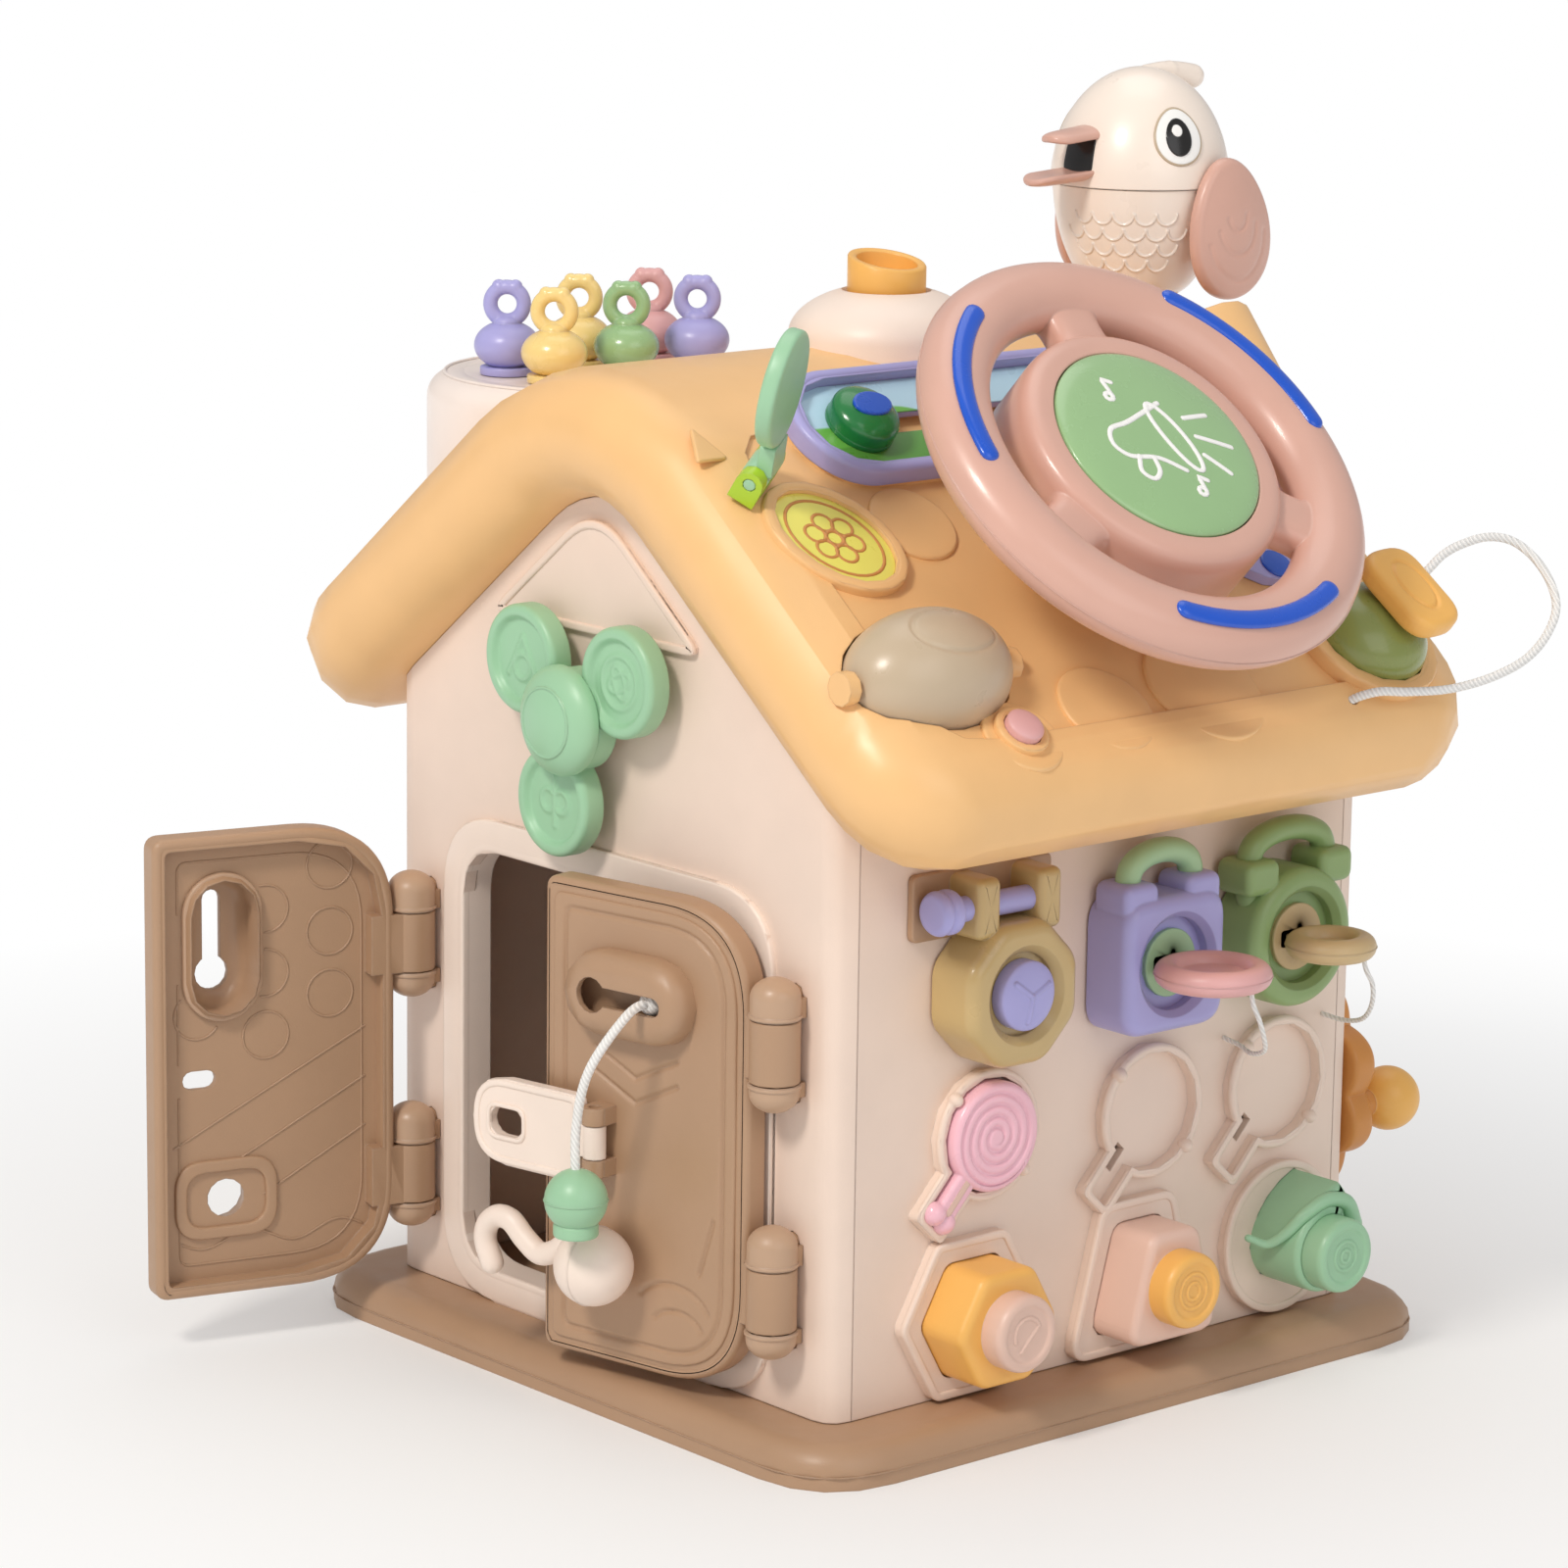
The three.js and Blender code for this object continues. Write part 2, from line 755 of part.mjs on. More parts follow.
const front = frame(house, at(0, FRONT_Y, 0), at(1, 0, 0), at(0, 0, 1));
const side = frame(house, at(SIDE_X, 0, 0), at(0, 1, 0), at(0, 0, 1));
const rear = frame(house, at(0, -FRONT_Y, 0), at(-1, 0, 0), at(0, 0, 1));

const finishes = {
  roof: plastic('#efbe80'),
  wall: plastic('#ecd8ca', 0.5),
  brown: plastic('#b18e70'),
  cream: plastic('#f2dccb'),
  mint: plastic('#9ccba0', 0.3),
  sage: plastic('#93b985', 0.35),
  lime: plastic('#a6ca22', 0.35),
  dusty: plastic('#d3a594', 0.38),
  lavender: plastic('#a6a3d8', 0.35),
  khaki: plastic('#bfa56f', 0.35),
  olive: plastic('#8d9a58', 0.38),
  lock: plastic('#84a066', 0.35),
  pink: plastic('#e0a9a8', 0.3),
  candy: plastic('#f4b9c8', 0.3),
  tan: plastic('#cdb284', 0.3),
  amber: plastic('#f1b35c', 0.35),
  crank: plastic('#d9954a', 0.38),
  taupe: plastic('#bfa88c', 0.35),
  darkGreen: plastic('#1f7a3c', 0.3),
  yellow: plastic('#f3cf86', 0.3),
  drum: plastic('#f3e2d8', 0.35),
  cord: plastic('#f4f2ee', 0.8),
};

// Roof centre line, from the ridge down: an arc, a straight slope and a flare at the eave
const slopeEnd = (reach) => (reach < 0 ? FAR_SLOPE_LENGTH : SLOPE_LENGTH);

function slopePoint(reach) {
  const length = Math.min(Math.abs(reach), BEND_LENGTH);
  let angle = length / RIDGE_BEND;
  let x = RIDGE_BEND * Math.sin(angle);
  let z = RIDGE_HEIGHT - RIDGE_BEND * (1 - Math.cos(angle));
  const straight = Math.min(Math.abs(reach), slopeEnd(reach) - FLARE_LENGTH) - BEND_LENGTH;
  if (straight > 0) {
    x += straight * Math.cos(angle);
    z -= straight * Math.sin(angle);
  }
  const flare = Math.abs(reach) - slopeEnd(reach) + FLARE_LENGTH;
  if (flare > 0) {
    const bend = FLARE_LENGTH / FLARE_ANGLE;
    const turned = angle - flare / bend;
    x += bend * (Math.sin(angle) - Math.sin(turned));
    z -= bend * (Math.cos(turned) - Math.cos(angle));
    angle = turned;
  }
  const sign = Math.sign(reach);
  return { x: sign * x, z, angle: sign * angle };
}

function sideStations(length) {
  const ends = Array.from({ length: EDGE_STEPS }, (_, step) => {
    const angle = (step + EDGE_SHARE) / (EDGE_STEPS - 1 + EDGE_SHARE) * Math.PI / 2;
    return length - ROOF_HALF * (1 - Math.cos(angle));
  });
  const corner = length - (ROOF_HALF + ROOF_CORNER) / 2;
  const flare = length - FLARE_LENGTH;
  const bends = Array.from({ length: BEND_STEPS }, (_, step) => (step + 1) / BEND_STEPS * BEND_LENGTH);
  return [...bends, flare, length - ROOF_CORNER, corner, ...ends.reverse()];
}

function roofRing(reach) {
  const { x, z, angle } = slopePoint(reach);
  const inset = slopeEnd(reach) - Math.abs(reach);
  const half = ROOF_HALF - Math.min(inset, ROOF_HALF);
  const thick = Math.sqrt(ROOF_HALF ** 2 - half ** 2);
  const notch = ROOF_CORNER - Math.min(inset, ROOF_CORNER);
  const length = ROOF_LENGTH / 2 - ROOF_CORNER + Math.sqrt(ROOF_CORNER ** 2 - notch ** 2);
  const steps = ROOF_ARC_STEPS;
  return [1, -1].flatMap((end) => Array.from({ length: steps + 1 }, (_, step) => {
    const swing = end * (step / steps - 0.5) * Math.PI;
    const y = ROOF_MIDDLE + end * (length - thick) + end * thick * Math.cos(swing);
    const lift = thick * Math.sin(swing);
    return at(x + lift * Math.sin(angle), y, z + lift * Math.cos(angle));
  }));
}

const farStations = sideStations(FAR_SLOPE_LENGTH).map((reach) => -reach).reverse();
const slabStations = [...farStations, 0, ...sideStations(SLOPE_LENGTH)];
const slopeStart = slopePoint(SLOPE_STATION);
const SLOPE_NORMAL = at(Math.sin(SLOPE_ANGLE), 0, Math.cos(SLOPE_ANGLE));
const slope = frame(
  house,
  at(slopeStart.x, 0, slopeStart.z).addScaledVector(SLOPE_NORMAL, ROOF_HALF - PANEL_RECESS),
  at(0, 1, 0),
  at(-Math.cos(SLOPE_ANGLE), 0, Math.sin(SLOPE_ANGLE)),
);

// The space under the roof, as a prism that trims the walls
function underRoof() {
  const reaches = slabStations.filter((reach) => slopeEnd(reach) - Math.abs(reach) >= ROOF_HALF);
  const top = reaches.map((reach) => {
    const { x, z, angle } = slopePoint(reach);
    return [x - ROOF_HALF * Math.sin(angle), z - ROOF_HALF * Math.cos(angle) - SEAT];
  });
  const shape = polygon([[top[0][0], 0], ...top, [top[top.length - 1][0], 0]].reverse());
  return prism(shape, BODY_DEPTH + OVERRUN).rotateX(Math.PI / 2)
    .translate(0, BODY_DEPTH / 2 + OVERRUN / 2, 0);
}

// The space over the roof, used to shape what stands on the far slope
function overRoof() {
  const top = slabStations.map((reach) => {
    const { x, z, angle } = slopePoint(reach);
    const lift = ROOF_HALF + SEAT;
    return [x + lift * Math.sin(angle), z + lift * Math.cos(angle)];
  });
  const shape = polygon(
    [[top[0][0], 2 * RIDGE_HEIGHT], ...top, [top[top.length - 1][0], 2 * RIDGE_HEIGHT]].reverse(),
  );
  return prism(shape, ROOF_LENGTH).rotateX(Math.PI / 2).translate(0, ROOF_MIDDLE + ROOF_LENGTH / 2, 0);
}

function baseTray() {
  const width = BODY_WIDTH + 2 * BASE_MARGIN;
  const depth = BODY_DEPTH + 2 * BASE_MARGIN;
  const ring = (inset, height) => {
    const corner = BASE_CORNER - inset;
    return rectangle(width - 2 * inset, depth - 2 * inset, corner).getPoints(ARC_STEPS + 1)
      .slice(0, -1).map((point) => at(point.x, point.y, height));
  };
  const edges = [0, 0.25, 0.5, 0.75, 1].map((share) => {
    const angle = share * Math.PI / 2;
    return ring(BASE_ROUND * (1 - Math.cos(angle)), BASE_HEIGHT - BASE_ROUND * (1 - Math.sin(angle)));
  });
  const body = loft([ring(0, 0), ...edges]);
  const hollowWidth = width - 2 * BASE_ROUND;
  const hollowDepth = depth - 2 * BASE_ROUND;
  const hollow = moved(
    prism(rectangle(hollowWidth, hollowDepth, BASE_CORNER - BASE_ROUND), BASE_HEIGHT - BASE_SHELL + OVERRUN),
    0, 0, -OVERRUN,
  );
  const ribs = join(
    box(hollowWidth + EMBED, BASE_RIB, BASE_HEIGHT - BASE_SHELL + EMBED),
    box(BASE_RIB, hollowDepth + EMBED, BASE_HEIGHT - BASE_SHELL + EMBED),
    rod(BASE_HUB_RADIUS, BASE_HEIGHT - BASE_SHELL + EMBED),
  );
  return join(cut(body, hollow), ribs);
}

add(house, 'base_tray', baseTray(), finishes.brown);

// Walls: one round-cornered sleeve, trimmed by the roof and parted behind the corners
const wallSleeve = common(
  moved(cut(
    prism(rectangle(BODY_WIDTH, BODY_DEPTH, CORNER), RIDGE_HEIGHT),
    moved(
      prism(rectangle(BODY_WIDTH - 2 * WALL, BODY_DEPTH - 2 * WALL, CORNER - WALL),
        RIDGE_HEIGHT + 2 * OVERRUN),
      0, 0, -OVERRUN,
    ),
  ), 0, 0, WALL_FOOT),
  underRoof(),
);
const endDepth = CORNER_WRAP;
const endBox = box(2 * BODY_WIDTH, endDepth + OVERRUN, 2 * RIDGE_HEIGHT);
const endPlace = (BODY_DEPTH - endDepth + OVERRUN) / 2;
const frontShell = common(wallSleeve, moved(endBox, 0, -endPlace, 0));
const rearShell = common(wallSleeve, moved(endBox, 0, endPlace, 0));
const sideBox = box(BODY_WIDTH, BODY_DEPTH - 2 * (CORNER_WRAP + SEAT), 2 * RIDGE_HEIGHT);
const rightShell = common(wallSleeve, moved(sideBox, SIDE_X + CORNER, 0, 0));
const leftShell = common(wallSleeve, moved(sideBox, -SIDE_X - CORNER, 0, 0));

function frontWall() {
  const doorway = rectangle(DOORWAY_WIDTH, DOORWAY_HEIGHT, DOORWAY_CORNER);
  const doorwayFrame = rectangle(
    DOORWAY_WIDTH + 2 * DOORWAY_FRAME,
    DOORWAY_HEIGHT + 2 * DOORWAY_FRAME,
    DOORWAY_CORNER + DOORWAY_FRAME,
  );
  const doorwayMiddle = DOORWAY_SILL + DOORWAY_HEIGHT / 2;
  const half = GABLE_PANEL_WIDTH / 2;
  const gable = polygon([
    [-half, GABLE_PANEL_SILL],
    [half, GABLE_PANEL_SILL],
    [0, GABLE_PANEL_SILL + GABLE_PANEL_HEIGHT],
  ], [GABLE_PANEL_CORNER, GABLE_PANEL_CORNER, 2 * GABLE_PANEL_CORNER]);
  const raised = [
    moved(prism(doorwayFrame, FRAME_PROUD + EMBED), 0, doorwayMiddle, -EMBED),
    moved(prism(gable, FRAME_PROUD + EMBED), -GABLE_PANEL_ASIDE, 0, -EMBED),
    moved(rod(SPINNER_BOSS_RADIUS, SPINNER_BOSS_HEIGHT + EMBED), -SPINNER_ASIDE, SPINNER_HEIGHT, -EMBED),
  ];
  const deep = WALL + SPINNER_BOSS_HEIGHT + 2 * OVERRUN;
  const studs = [-1, 1].flatMap((hand) => [HINGE_LOW, HINGE_HIGH].flatMap((height) => (
    studHeights(height).map((place) => (
      moved(rod(STUD_RADIUS + SEAT, deep, PIN_STEPS), hand * HINGE_X, place, -WALL - OVERRUN)
    ))
  )));
  const holes = [
    moved(prism(doorway, deep), 0, doorwayMiddle, -WALL - OVERRUN),
    moved(rod(SPINNER_PIN + SEAT, deep, SMALL_STEPS), -SPINNER_ASIDE, SPINNER_HEIGHT, -WALL - OVERRUN),
    ...studs,
  ];
  return cut(join(inFrame(front, frontShell), ...raised), ...holes);
}

// Hinge brackets: bullets above and below each knuckle, on studs through the wall to a strip inside
function studHeights(height) {
  return [height + (KNUCKLE + BULLET_TOP) / 2, height - (KNUCKLE + BULLET_FOOT) / 2];
}

function bullet(length) {
  const straight = length - BULLET_DOME;
  return turned([[0, 0], [HINGE_RADIUS, 0],
    ...dome(HINGE_RADIUS, length - straight, ARC_STEPS, straight)], BULLET_STEPS);
}

function hingeBracket(hand) {
  const pieces = [];
  const reach = HINGE_OUT + WALL + SEAT + STRIP_THICK;
  for (const height of [HINGE_LOW, HINGE_HIGH]) {
    const top = height + KNUCKLE / 2;
    const foot = height - KNUCKLE / 2;
    pieces.push(
      bullet(BULLET_TOP).rotateX(-Math.PI / 2).translate(0, top, HINGE_OUT),
      bullet(BULLET_FOOT).rotateX(Math.PI / 2).translate(0, foot, HINGE_OUT),
      rod(HINGE_PIN, KNUCKLE + 2 * EMBED, PIN_STEPS).rotateX(Math.PI / 2)
        .translate(0, top + EMBED, HINGE_OUT),
      box(SADDLE, BULLET_TOP / 2, HINGE_OUT - SEAT).translate(0, top + BULLET_TOP / 4, SEAT),
      box(SADDLE, BULLET_FOOT / 2, HINGE_OUT - SEAT).translate(0, foot - BULLET_FOOT / 4, SEAT),
    );
    for (const place of studHeights(height)) {
      pieces.push(rod(STUD_RADIUS, reach, PIN_STEPS).translate(0, place, HINGE_OUT - reach));
    }
  }
  const low = studHeights(HINGE_LOW)[1] - STRIP_WIDTH / 2;
  const high = studHeights(HINGE_HIGH)[0] + STRIP_WIDTH / 2;
  pieces.push(box(STRIP_WIDTH, high - low, STRIP_THICK)
    .translate(0, (high + low) / 2, -WALL - SEAT - STRIP_THICK));
  return moved(join(...pieces), hand * HINGE_X, 0, 0);
}

add(front, 'front_wall', frontWall(), finishes.wall);
add(front, 'hinge_bracket_left', hingeBracket(-1), finishes.brown);
add(front, 'hinge_bracket_right', hingeBracket(1), finishes.brown);

// Doors: x runs from the hinge axis to the free edge, left or right by hand
function doorFrame(hand, opening) {
  const group = place(front, hand * HINGE_X, 0, HINGE_OUT);
  group.rotation.y = hand * opening;
  return group;
}

function doorOutline(inset) {
  const [near, far] = [DOOR_HINGE_REACH + inset, DOOR_FREE_REACH - inset];
  const [low, high] = [DOOR_SILL + inset, DOOR_SILL + DOOR_HEIGHT - inset];
  const [round, square] = [DOOR_ROUND - inset, DOOR_SQUARE - Math.min(inset, DOOR_SQUARE / 2)];
  return polygon([[near, low], [far, low], [far, high], [near, high]], [round, square, square, round]);
}

function mirrored(geometry) {
  return closed(geometry.clone().scale(-1, 1, 1));
}

function doorPanel() {
  const hollow = prism(doorOutline(DOOR_RIM), DOOR_THICK - DOOR_FACE + OVERRUN);
  const knuckle = (height) => join(
    rod(HINGE_RADIUS, KNUCKLE - 2 * SEAT, BULLET_STEPS).rotateX(Math.PI / 2)
      .translate(0, height + KNUCKLE / 2 - SEAT, 0),
    box(DOOR_HINGE_REACH + 2 * DOOR_RIM, KNUCKLE - 2 * SEAT, DOOR_THICK)
      .translate((DOOR_HINGE_REACH + 2 * DOOR_RIM) / 2, height, DOOR_INNER),
  );
  const bore = (height) => rod(HINGE_PIN + SEAT, 2 * KNUCKLE, PIN_STEPS).rotateX(Math.PI / 2)
    .translate(0, height + KNUCKLE, 0);
  return cut(
    join(
      cut(
        moved(prism(doorOutline(0), DOOR_THICK, DOOR_BEVEL), 0, 0, DOOR_INNER),
        moved(hollow, 0, 0, DOOR_INNER - OVERRUN),
      ),
      knuckle(HINGE_LOW),
      knuckle(HINGE_HIGH),
    ),
    bore(HINGE_LOW),
    bore(HINGE_HIGH),
  );
}

function pillBoss(turn) {
  const outer = prism(stadium(BOSS_LENGTH, BOSS_WIDTH), BOSS_PROUD + DOOR_FACE + BOSS_ROUND, BOSS_ROUND);
  const inner = prism(
    stadium(BOSS_LENGTH - 2 * BOSS_WALL, BOSS_WIDTH - 2 * BOSS_WALL),
    BOSS_PROUD + DOOR_THICK - BOSS_WALL + OVERRUN,
    BOSS_ROUND - BOSS_WALL,
  );
  const reach = (KEYHOLE_LENGTH - KEYHOLE_BULB) / 2;
  const keyhole = join(
    prism(stadium(KEYHOLE_LENGTH, KEYHOLE_SLOT), BOSS_PROUD + DOOR_THICK),
    moved(rod(KEYHOLE_BULB / 2, BOSS_PROUD + DOOR_THICK), reach, 0, 0),
  );
  return {
    outer: moved(outer, 0, 0, DOOR_OUT - DOOR_FACE - BOSS_ROUND).rotateZ(turn),
    inner: moved(inner, 0, 0, DOOR_INNER - OVERRUN).rotateZ(turn),
    keyhole: moved(keyhole, 0, 0, DOOR_OUT).rotateZ(turn),
  };
}

const rightDoor = doorFrame(1, RIGHT_DOOR_OPEN);
const leftDoor = doorFrame(-1, LEFT_DOOR_OPEN);
const CORD_START = BOSS_PROUD + DOOR_OUT;
const KNOT_BACK = Math.sqrt(CORD_KNOT ** 2 - (KEYHOLE_SLOT / 2) ** 2) + SEAT;
const KNOT_OUT = CORD_START - BOSS_WALL - KNOT_BACK;
const CORD_REACH = RIGHT_BOSS_REACH - CORD_ASIDE;
const [nearShare, middleShare, farShare] = CORD_DROP_SHARES;
const doorRoute = [
  at(-CORD_REACH, RIGHT_BOSS_HEIGHT, KNOT_OUT),
  at(-CORD_REACH, RIGHT_BOSS_HEIGHT, CORD_START + BOSS_WALL),
  at(-CORD_REACH, RIGHT_BOSS_HEIGHT - BEAD_DROP * nearShare, CORD_START + BOSS_PROUD),
  at(-CORD_REACH - BEAD_SIDE / 2, RIGHT_BOSS_HEIGHT - BEAD_DROP * middleShare, BEAD_OUT),
  at(-CORD_REACH - BEAD_SIDE, RIGHT_BOSS_HEIGHT - BEAD_DROP * farShare, BEAD_OUT),
  at(-CORD_REACH - BEAD_SIDE, RIGHT_BOSS_HEIGHT - BEAD_DROP, BEAD_OUT),
];

// A cord lies in a bore that is a little wider than the cord and a little longer
function bore(points, radius, sides, steps) {
  const ends = [points[0], points[points.length - 1]].map((end) => (
    new THREE.SphereGeometry(radius + 2 * SEAT, sides, BALL_RINGS).translate(end.x, end.y, end.z)
  ));
  return join(tube(points, radius + SEAT, sides, steps), ...ends);
}

function rightDoorPiece() {
  const boss = pillBoss(0);
  const bossAt = (piece) => moved(piece, -RIGHT_BOSS_REACH, RIGHT_BOSS_HEIGHT, 0);
  const postReach = HASP_BARREL_LENGTH / 2 + SEAT;
  const post = (sign) => join(
    rod(HASP_POST, HASP_POST_LENGTH, SMALL_STEPS).rotateX(-Math.PI / 2)
      .translate(0, sign > 0 ? postReach : -postReach - HASP_POST_LENGTH, HASP_STAND),
    box(2 * HASP_POST, HASP_POST_LENGTH, HASP_STAND + EMBED)
      .translate(0, sign * (postReach + HASP_POST_LENGTH / 2), -EMBED),
  ).translate(-HASP_REACH, HASP_HEIGHT, DOOR_OUT);
  const pinBore = rod(HASP_BARREL / 2 + SEAT, 2 * HASP_WIDTH, PIN_STEPS).rotateX(Math.PI / 2)
    .translate(-HASP_REACH, HASP_HEIGHT + HASP_WIDTH, DOOR_OUT + HASP_STAND);
  return cut(
    join(mirrored(doorPanel()), bossAt(boss.outer), post(1), post(-1)),
    bossAt(boss.inner),
    bossAt(boss.keyhole.clone().rotateZ(Math.PI)),
    pinBore,
    moved(rod(HOOK_PIN + SEAT, DOOR_THICK + OVERRUN), -HOOK_REACH, HOOK_HEIGHT, DOOR_INNER),
    bore(doorRoute, DOOR_CORD_RADIUS, CORD_SIDES, SMALL_STEPS),
  );
}

function leftDoorPiece() {
  const boss = pillBoss(-Math.PI / 2);
  const bossAt = (piece) => moved(piece, LEFT_BOSS_REACH, LEFT_BOSS_HEIGHT, 0);
  const funnel = prism(stadium(FUNNEL_LENGTH, FUNNEL_WIDTH), FUNNEL_PROUD + DOOR_FACE, DOOR_FACE)
    .translate(FUNNEL_REACH, FUNNEL_HEIGHT, DOOR_OUT - DOOR_FACE);
  const depth = DOOR_THICK + FUNNEL_PROUD;
  const throat = new THREE.CylinderGeometry(FUNNEL_MOUTH, FUNNEL_THROAT, depth, ROUND_STEPS)
    .rotateX(Math.PI / 2)
    .translate(FUNNEL_REACH, FUNNEL_HEIGHT, DOOR_OUT);
  const slot = prism(stadium(CATCH_LENGTH, CATCH_WIDTH), DOOR_THICK + OVERRUN)
    .translate(CATCH_REACH, CATCH_HEIGHT, DOOR_INNER);
  const tab = box(CATCH_TAB, CATCH_TAB, CATCH_TAB_PROUD + DOOR_FACE)
    .translate(CATCH_REACH, CATCH_HEIGHT - CATCH_TAB, DOOR_OUT - DOOR_FACE);
  return cut(
    join(doorPanel(), bossAt(boss.outer), funnel, tab),
    bossAt(boss.inner),
    bossAt(boss.keyhole),
    throat,
    slot,
  );
}

add(rightDoor, 'right_door', rightDoorPiece(), finishes.brown);
add(leftDoor, 'left_door', leftDoorPiece(), finishes.brown);

// Hasp: a plate with a round end and a slot, on a barrel between two posts
function hasp() {
  const radius = HASP_WIDTH / 2;
  const start = HASP_POST + RUNNING;
  const plate = polygon([
    [start, -radius], [HASP_LENGTH, -radius], [HASP_LENGTH, radius], [start, radius],
  ], [HASP_THICK, radius, radius, HASP_THICK]);
  const slotPlace = HASP_LENGTH - radius;
  return cut(
    join(
      moved(prism(plate, HASP_THICK), 0, 0, -HASP_THICK / 2),
      box(2 * start, HASP_BARREL_LENGTH, HASP_THICK).translate(start, 0, -HASP_THICK / 2),
      rod(HASP_BARREL, HASP_BARREL_LENGTH, SMALL_STEPS).rotateX(Math.PI / 2)
        .translate(0, HASP_BARREL_LENGTH / 2, 0),
      rod(HASP_BARREL / 2, HASP_BARREL_LENGTH + HASP_POST * 2, PIN_STEPS).rotateX(Math.PI / 2)
        .translate(0, HASP_BARREL_LENGTH / 2 + HASP_POST, 0),
    ),
    prism(stadium(HASP_SLOT_LENGTH, HASP_SLOT_WIDTH), 2 * HASP_THICK).translate(slotPlace, 0, -HASP_THICK),
  );
}

const haspFrame = place(rightDoor, -HASP_REACH, HASP_HEIGHT, DOOR_OUT + HASP_STAND);
add(haspFrame, 'latch_hasp', mirrored(hasp()), finishes.cream);

// Ball knob with a waved tail, on a pin through the door
function hookKnob() {
  const lift = HOOK_STAND + TAIL_RADIUS;
  const tail = TAIL_SHARES.map(([along, up]) => at(-along * TAIL_LENGTH, up * TAIL_WAVE, lift));
  const retainer = -DOOR_FACE - SEAT - STRIP_THICK;
  return join(
    new THREE.SphereGeometry(HOOK_BALL, ROUND_STEPS, PIN_STEPS).translate(0, 0, HOOK_BALL + SEAT),
    rod(HOOK_STALK, HOOK_BALL, SMALL_STEPS).translate(0, 0, SEAT),
    rod(HOOK_PIN, HOOK_BALL - retainer, SMALL_STEPS).translate(0, 0, retainer),
    rod(HOOK_PIN + EMBED, STRIP_THICK, SMALL_STEPS).translate(0, 0, retainer),
    tube(tail, TAIL_RADIUS, CORD_SIDES, ROUND_STEPS),
  );
}

const hookFrame = place(rightDoor, -HOOK_REACH, HOOK_HEIGHT, DOOR_OUT);
add(hookFrame, 'hook_knob', hookKnob(), finishes.cream);

// Cord of the right door and its bead
function doorBead() {
  const end = doorRoute[doorRoute.length - 1];
  const collar = rod(BEAD_COLLAR, BEAD_COLLAR_HEIGHT, BULLET_STEPS).rotateX(Math.PI / 2)
    .translate(0, BEAD_COLLAR_SINK - BEAD_RADIUS, 0);
  const body = join(new THREE.SphereGeometry(BEAD_RADIUS, BULLET_STEPS, PIN_STEPS), collar);
  return cut(moved(body, end.x, end.y, end.z), bore(doorRoute, DOOR_CORD_RADIUS, CORD_SIDES, SMALL_STEPS));
}

add(rightDoor, 'door_cord', join(
  tube(doorRoute, DOOR_CORD_RADIUS, CORD_SIDES, SMALL_STEPS),
  new THREE.SphereGeometry(CORD_KNOT, CORD_SIDES, BALL_RINGS)
    .translate(-CORD_REACH, RIGHT_BOSS_HEIGHT, KNOT_OUT),
), finishes.cord);
add(rightDoor, 'door_bead', doorBead(), finishes.mint);

// Spinner: three round lobes that turn under a fixed cap
const spinner = place(front, -SPINNER_ASIDE, SPINNER_HEIGHT, SPINNER_BOSS_HEIGHT + SEAT);

function spinnerRotor() {
  const lobes = LOBE_ANGLES.map((angle) => [SPINNER_ARM * Math.cos(angle), SPINNER_ARM * Math.sin(angle)]);
  return cut(
    join(
      rod(CAP_RADIUS - EMBED, LOBE_THICK),
      ...lobes.map(([x, y]) => moved(rod(LOBE_RADIUS, LOBE_THICK), x, y, 0)),
    ),
    ...lobes.map(([x, y]) => moved(rod(LOBE_RADIUS - LOBE_RIM, LOBE_RECESS + OVERRUN), x, y,
      LOBE_THICK - LOBE_RECESS)),
    rod(SPINNER_PIN + SEAT, 3 * LOBE_THICK, SMALL_STEPS).translate(0, 0, -LOBE_THICK),
  );
}

function spinnerCap() {
  const depth = WALL + SPINNER_BOSS_HEIGHT + 2 * SEAT;
  const head = turned([[0, 0], [CAP_RADIUS, 0], ...dome(CAP_RADIUS, CAP_DOME, ARC_STEPS, EMBED)]);
  return join(
    moved(head, 0, 0, LOBE_THICK + SEAT),
    rod(SPINNER_PIN, depth + LOBE_THICK + STRIP_THICK + SEAT + EMBED, SMALL_STEPS)
      .translate(0, 0, -depth - STRIP_THICK),
    rod(SPINNER_PIN + EMBED, STRIP_THICK, SMALL_STEPS).translate(0, 0, -depth - STRIP_THICK),
  );
}

add(spinner, 'spinner_rotor', spinnerRotor(), finishes.mint);
add(spinner, 'spinner_cap', spinnerCap(), finishes.mint);

// Steering wheel on its column, with the horn button in the hub
const wheel = place(slope, WHEEL_ALONG, WHEEL_UP, WHEEL_LIFT);
wheel.rotation.x = WHEEL_TILT;

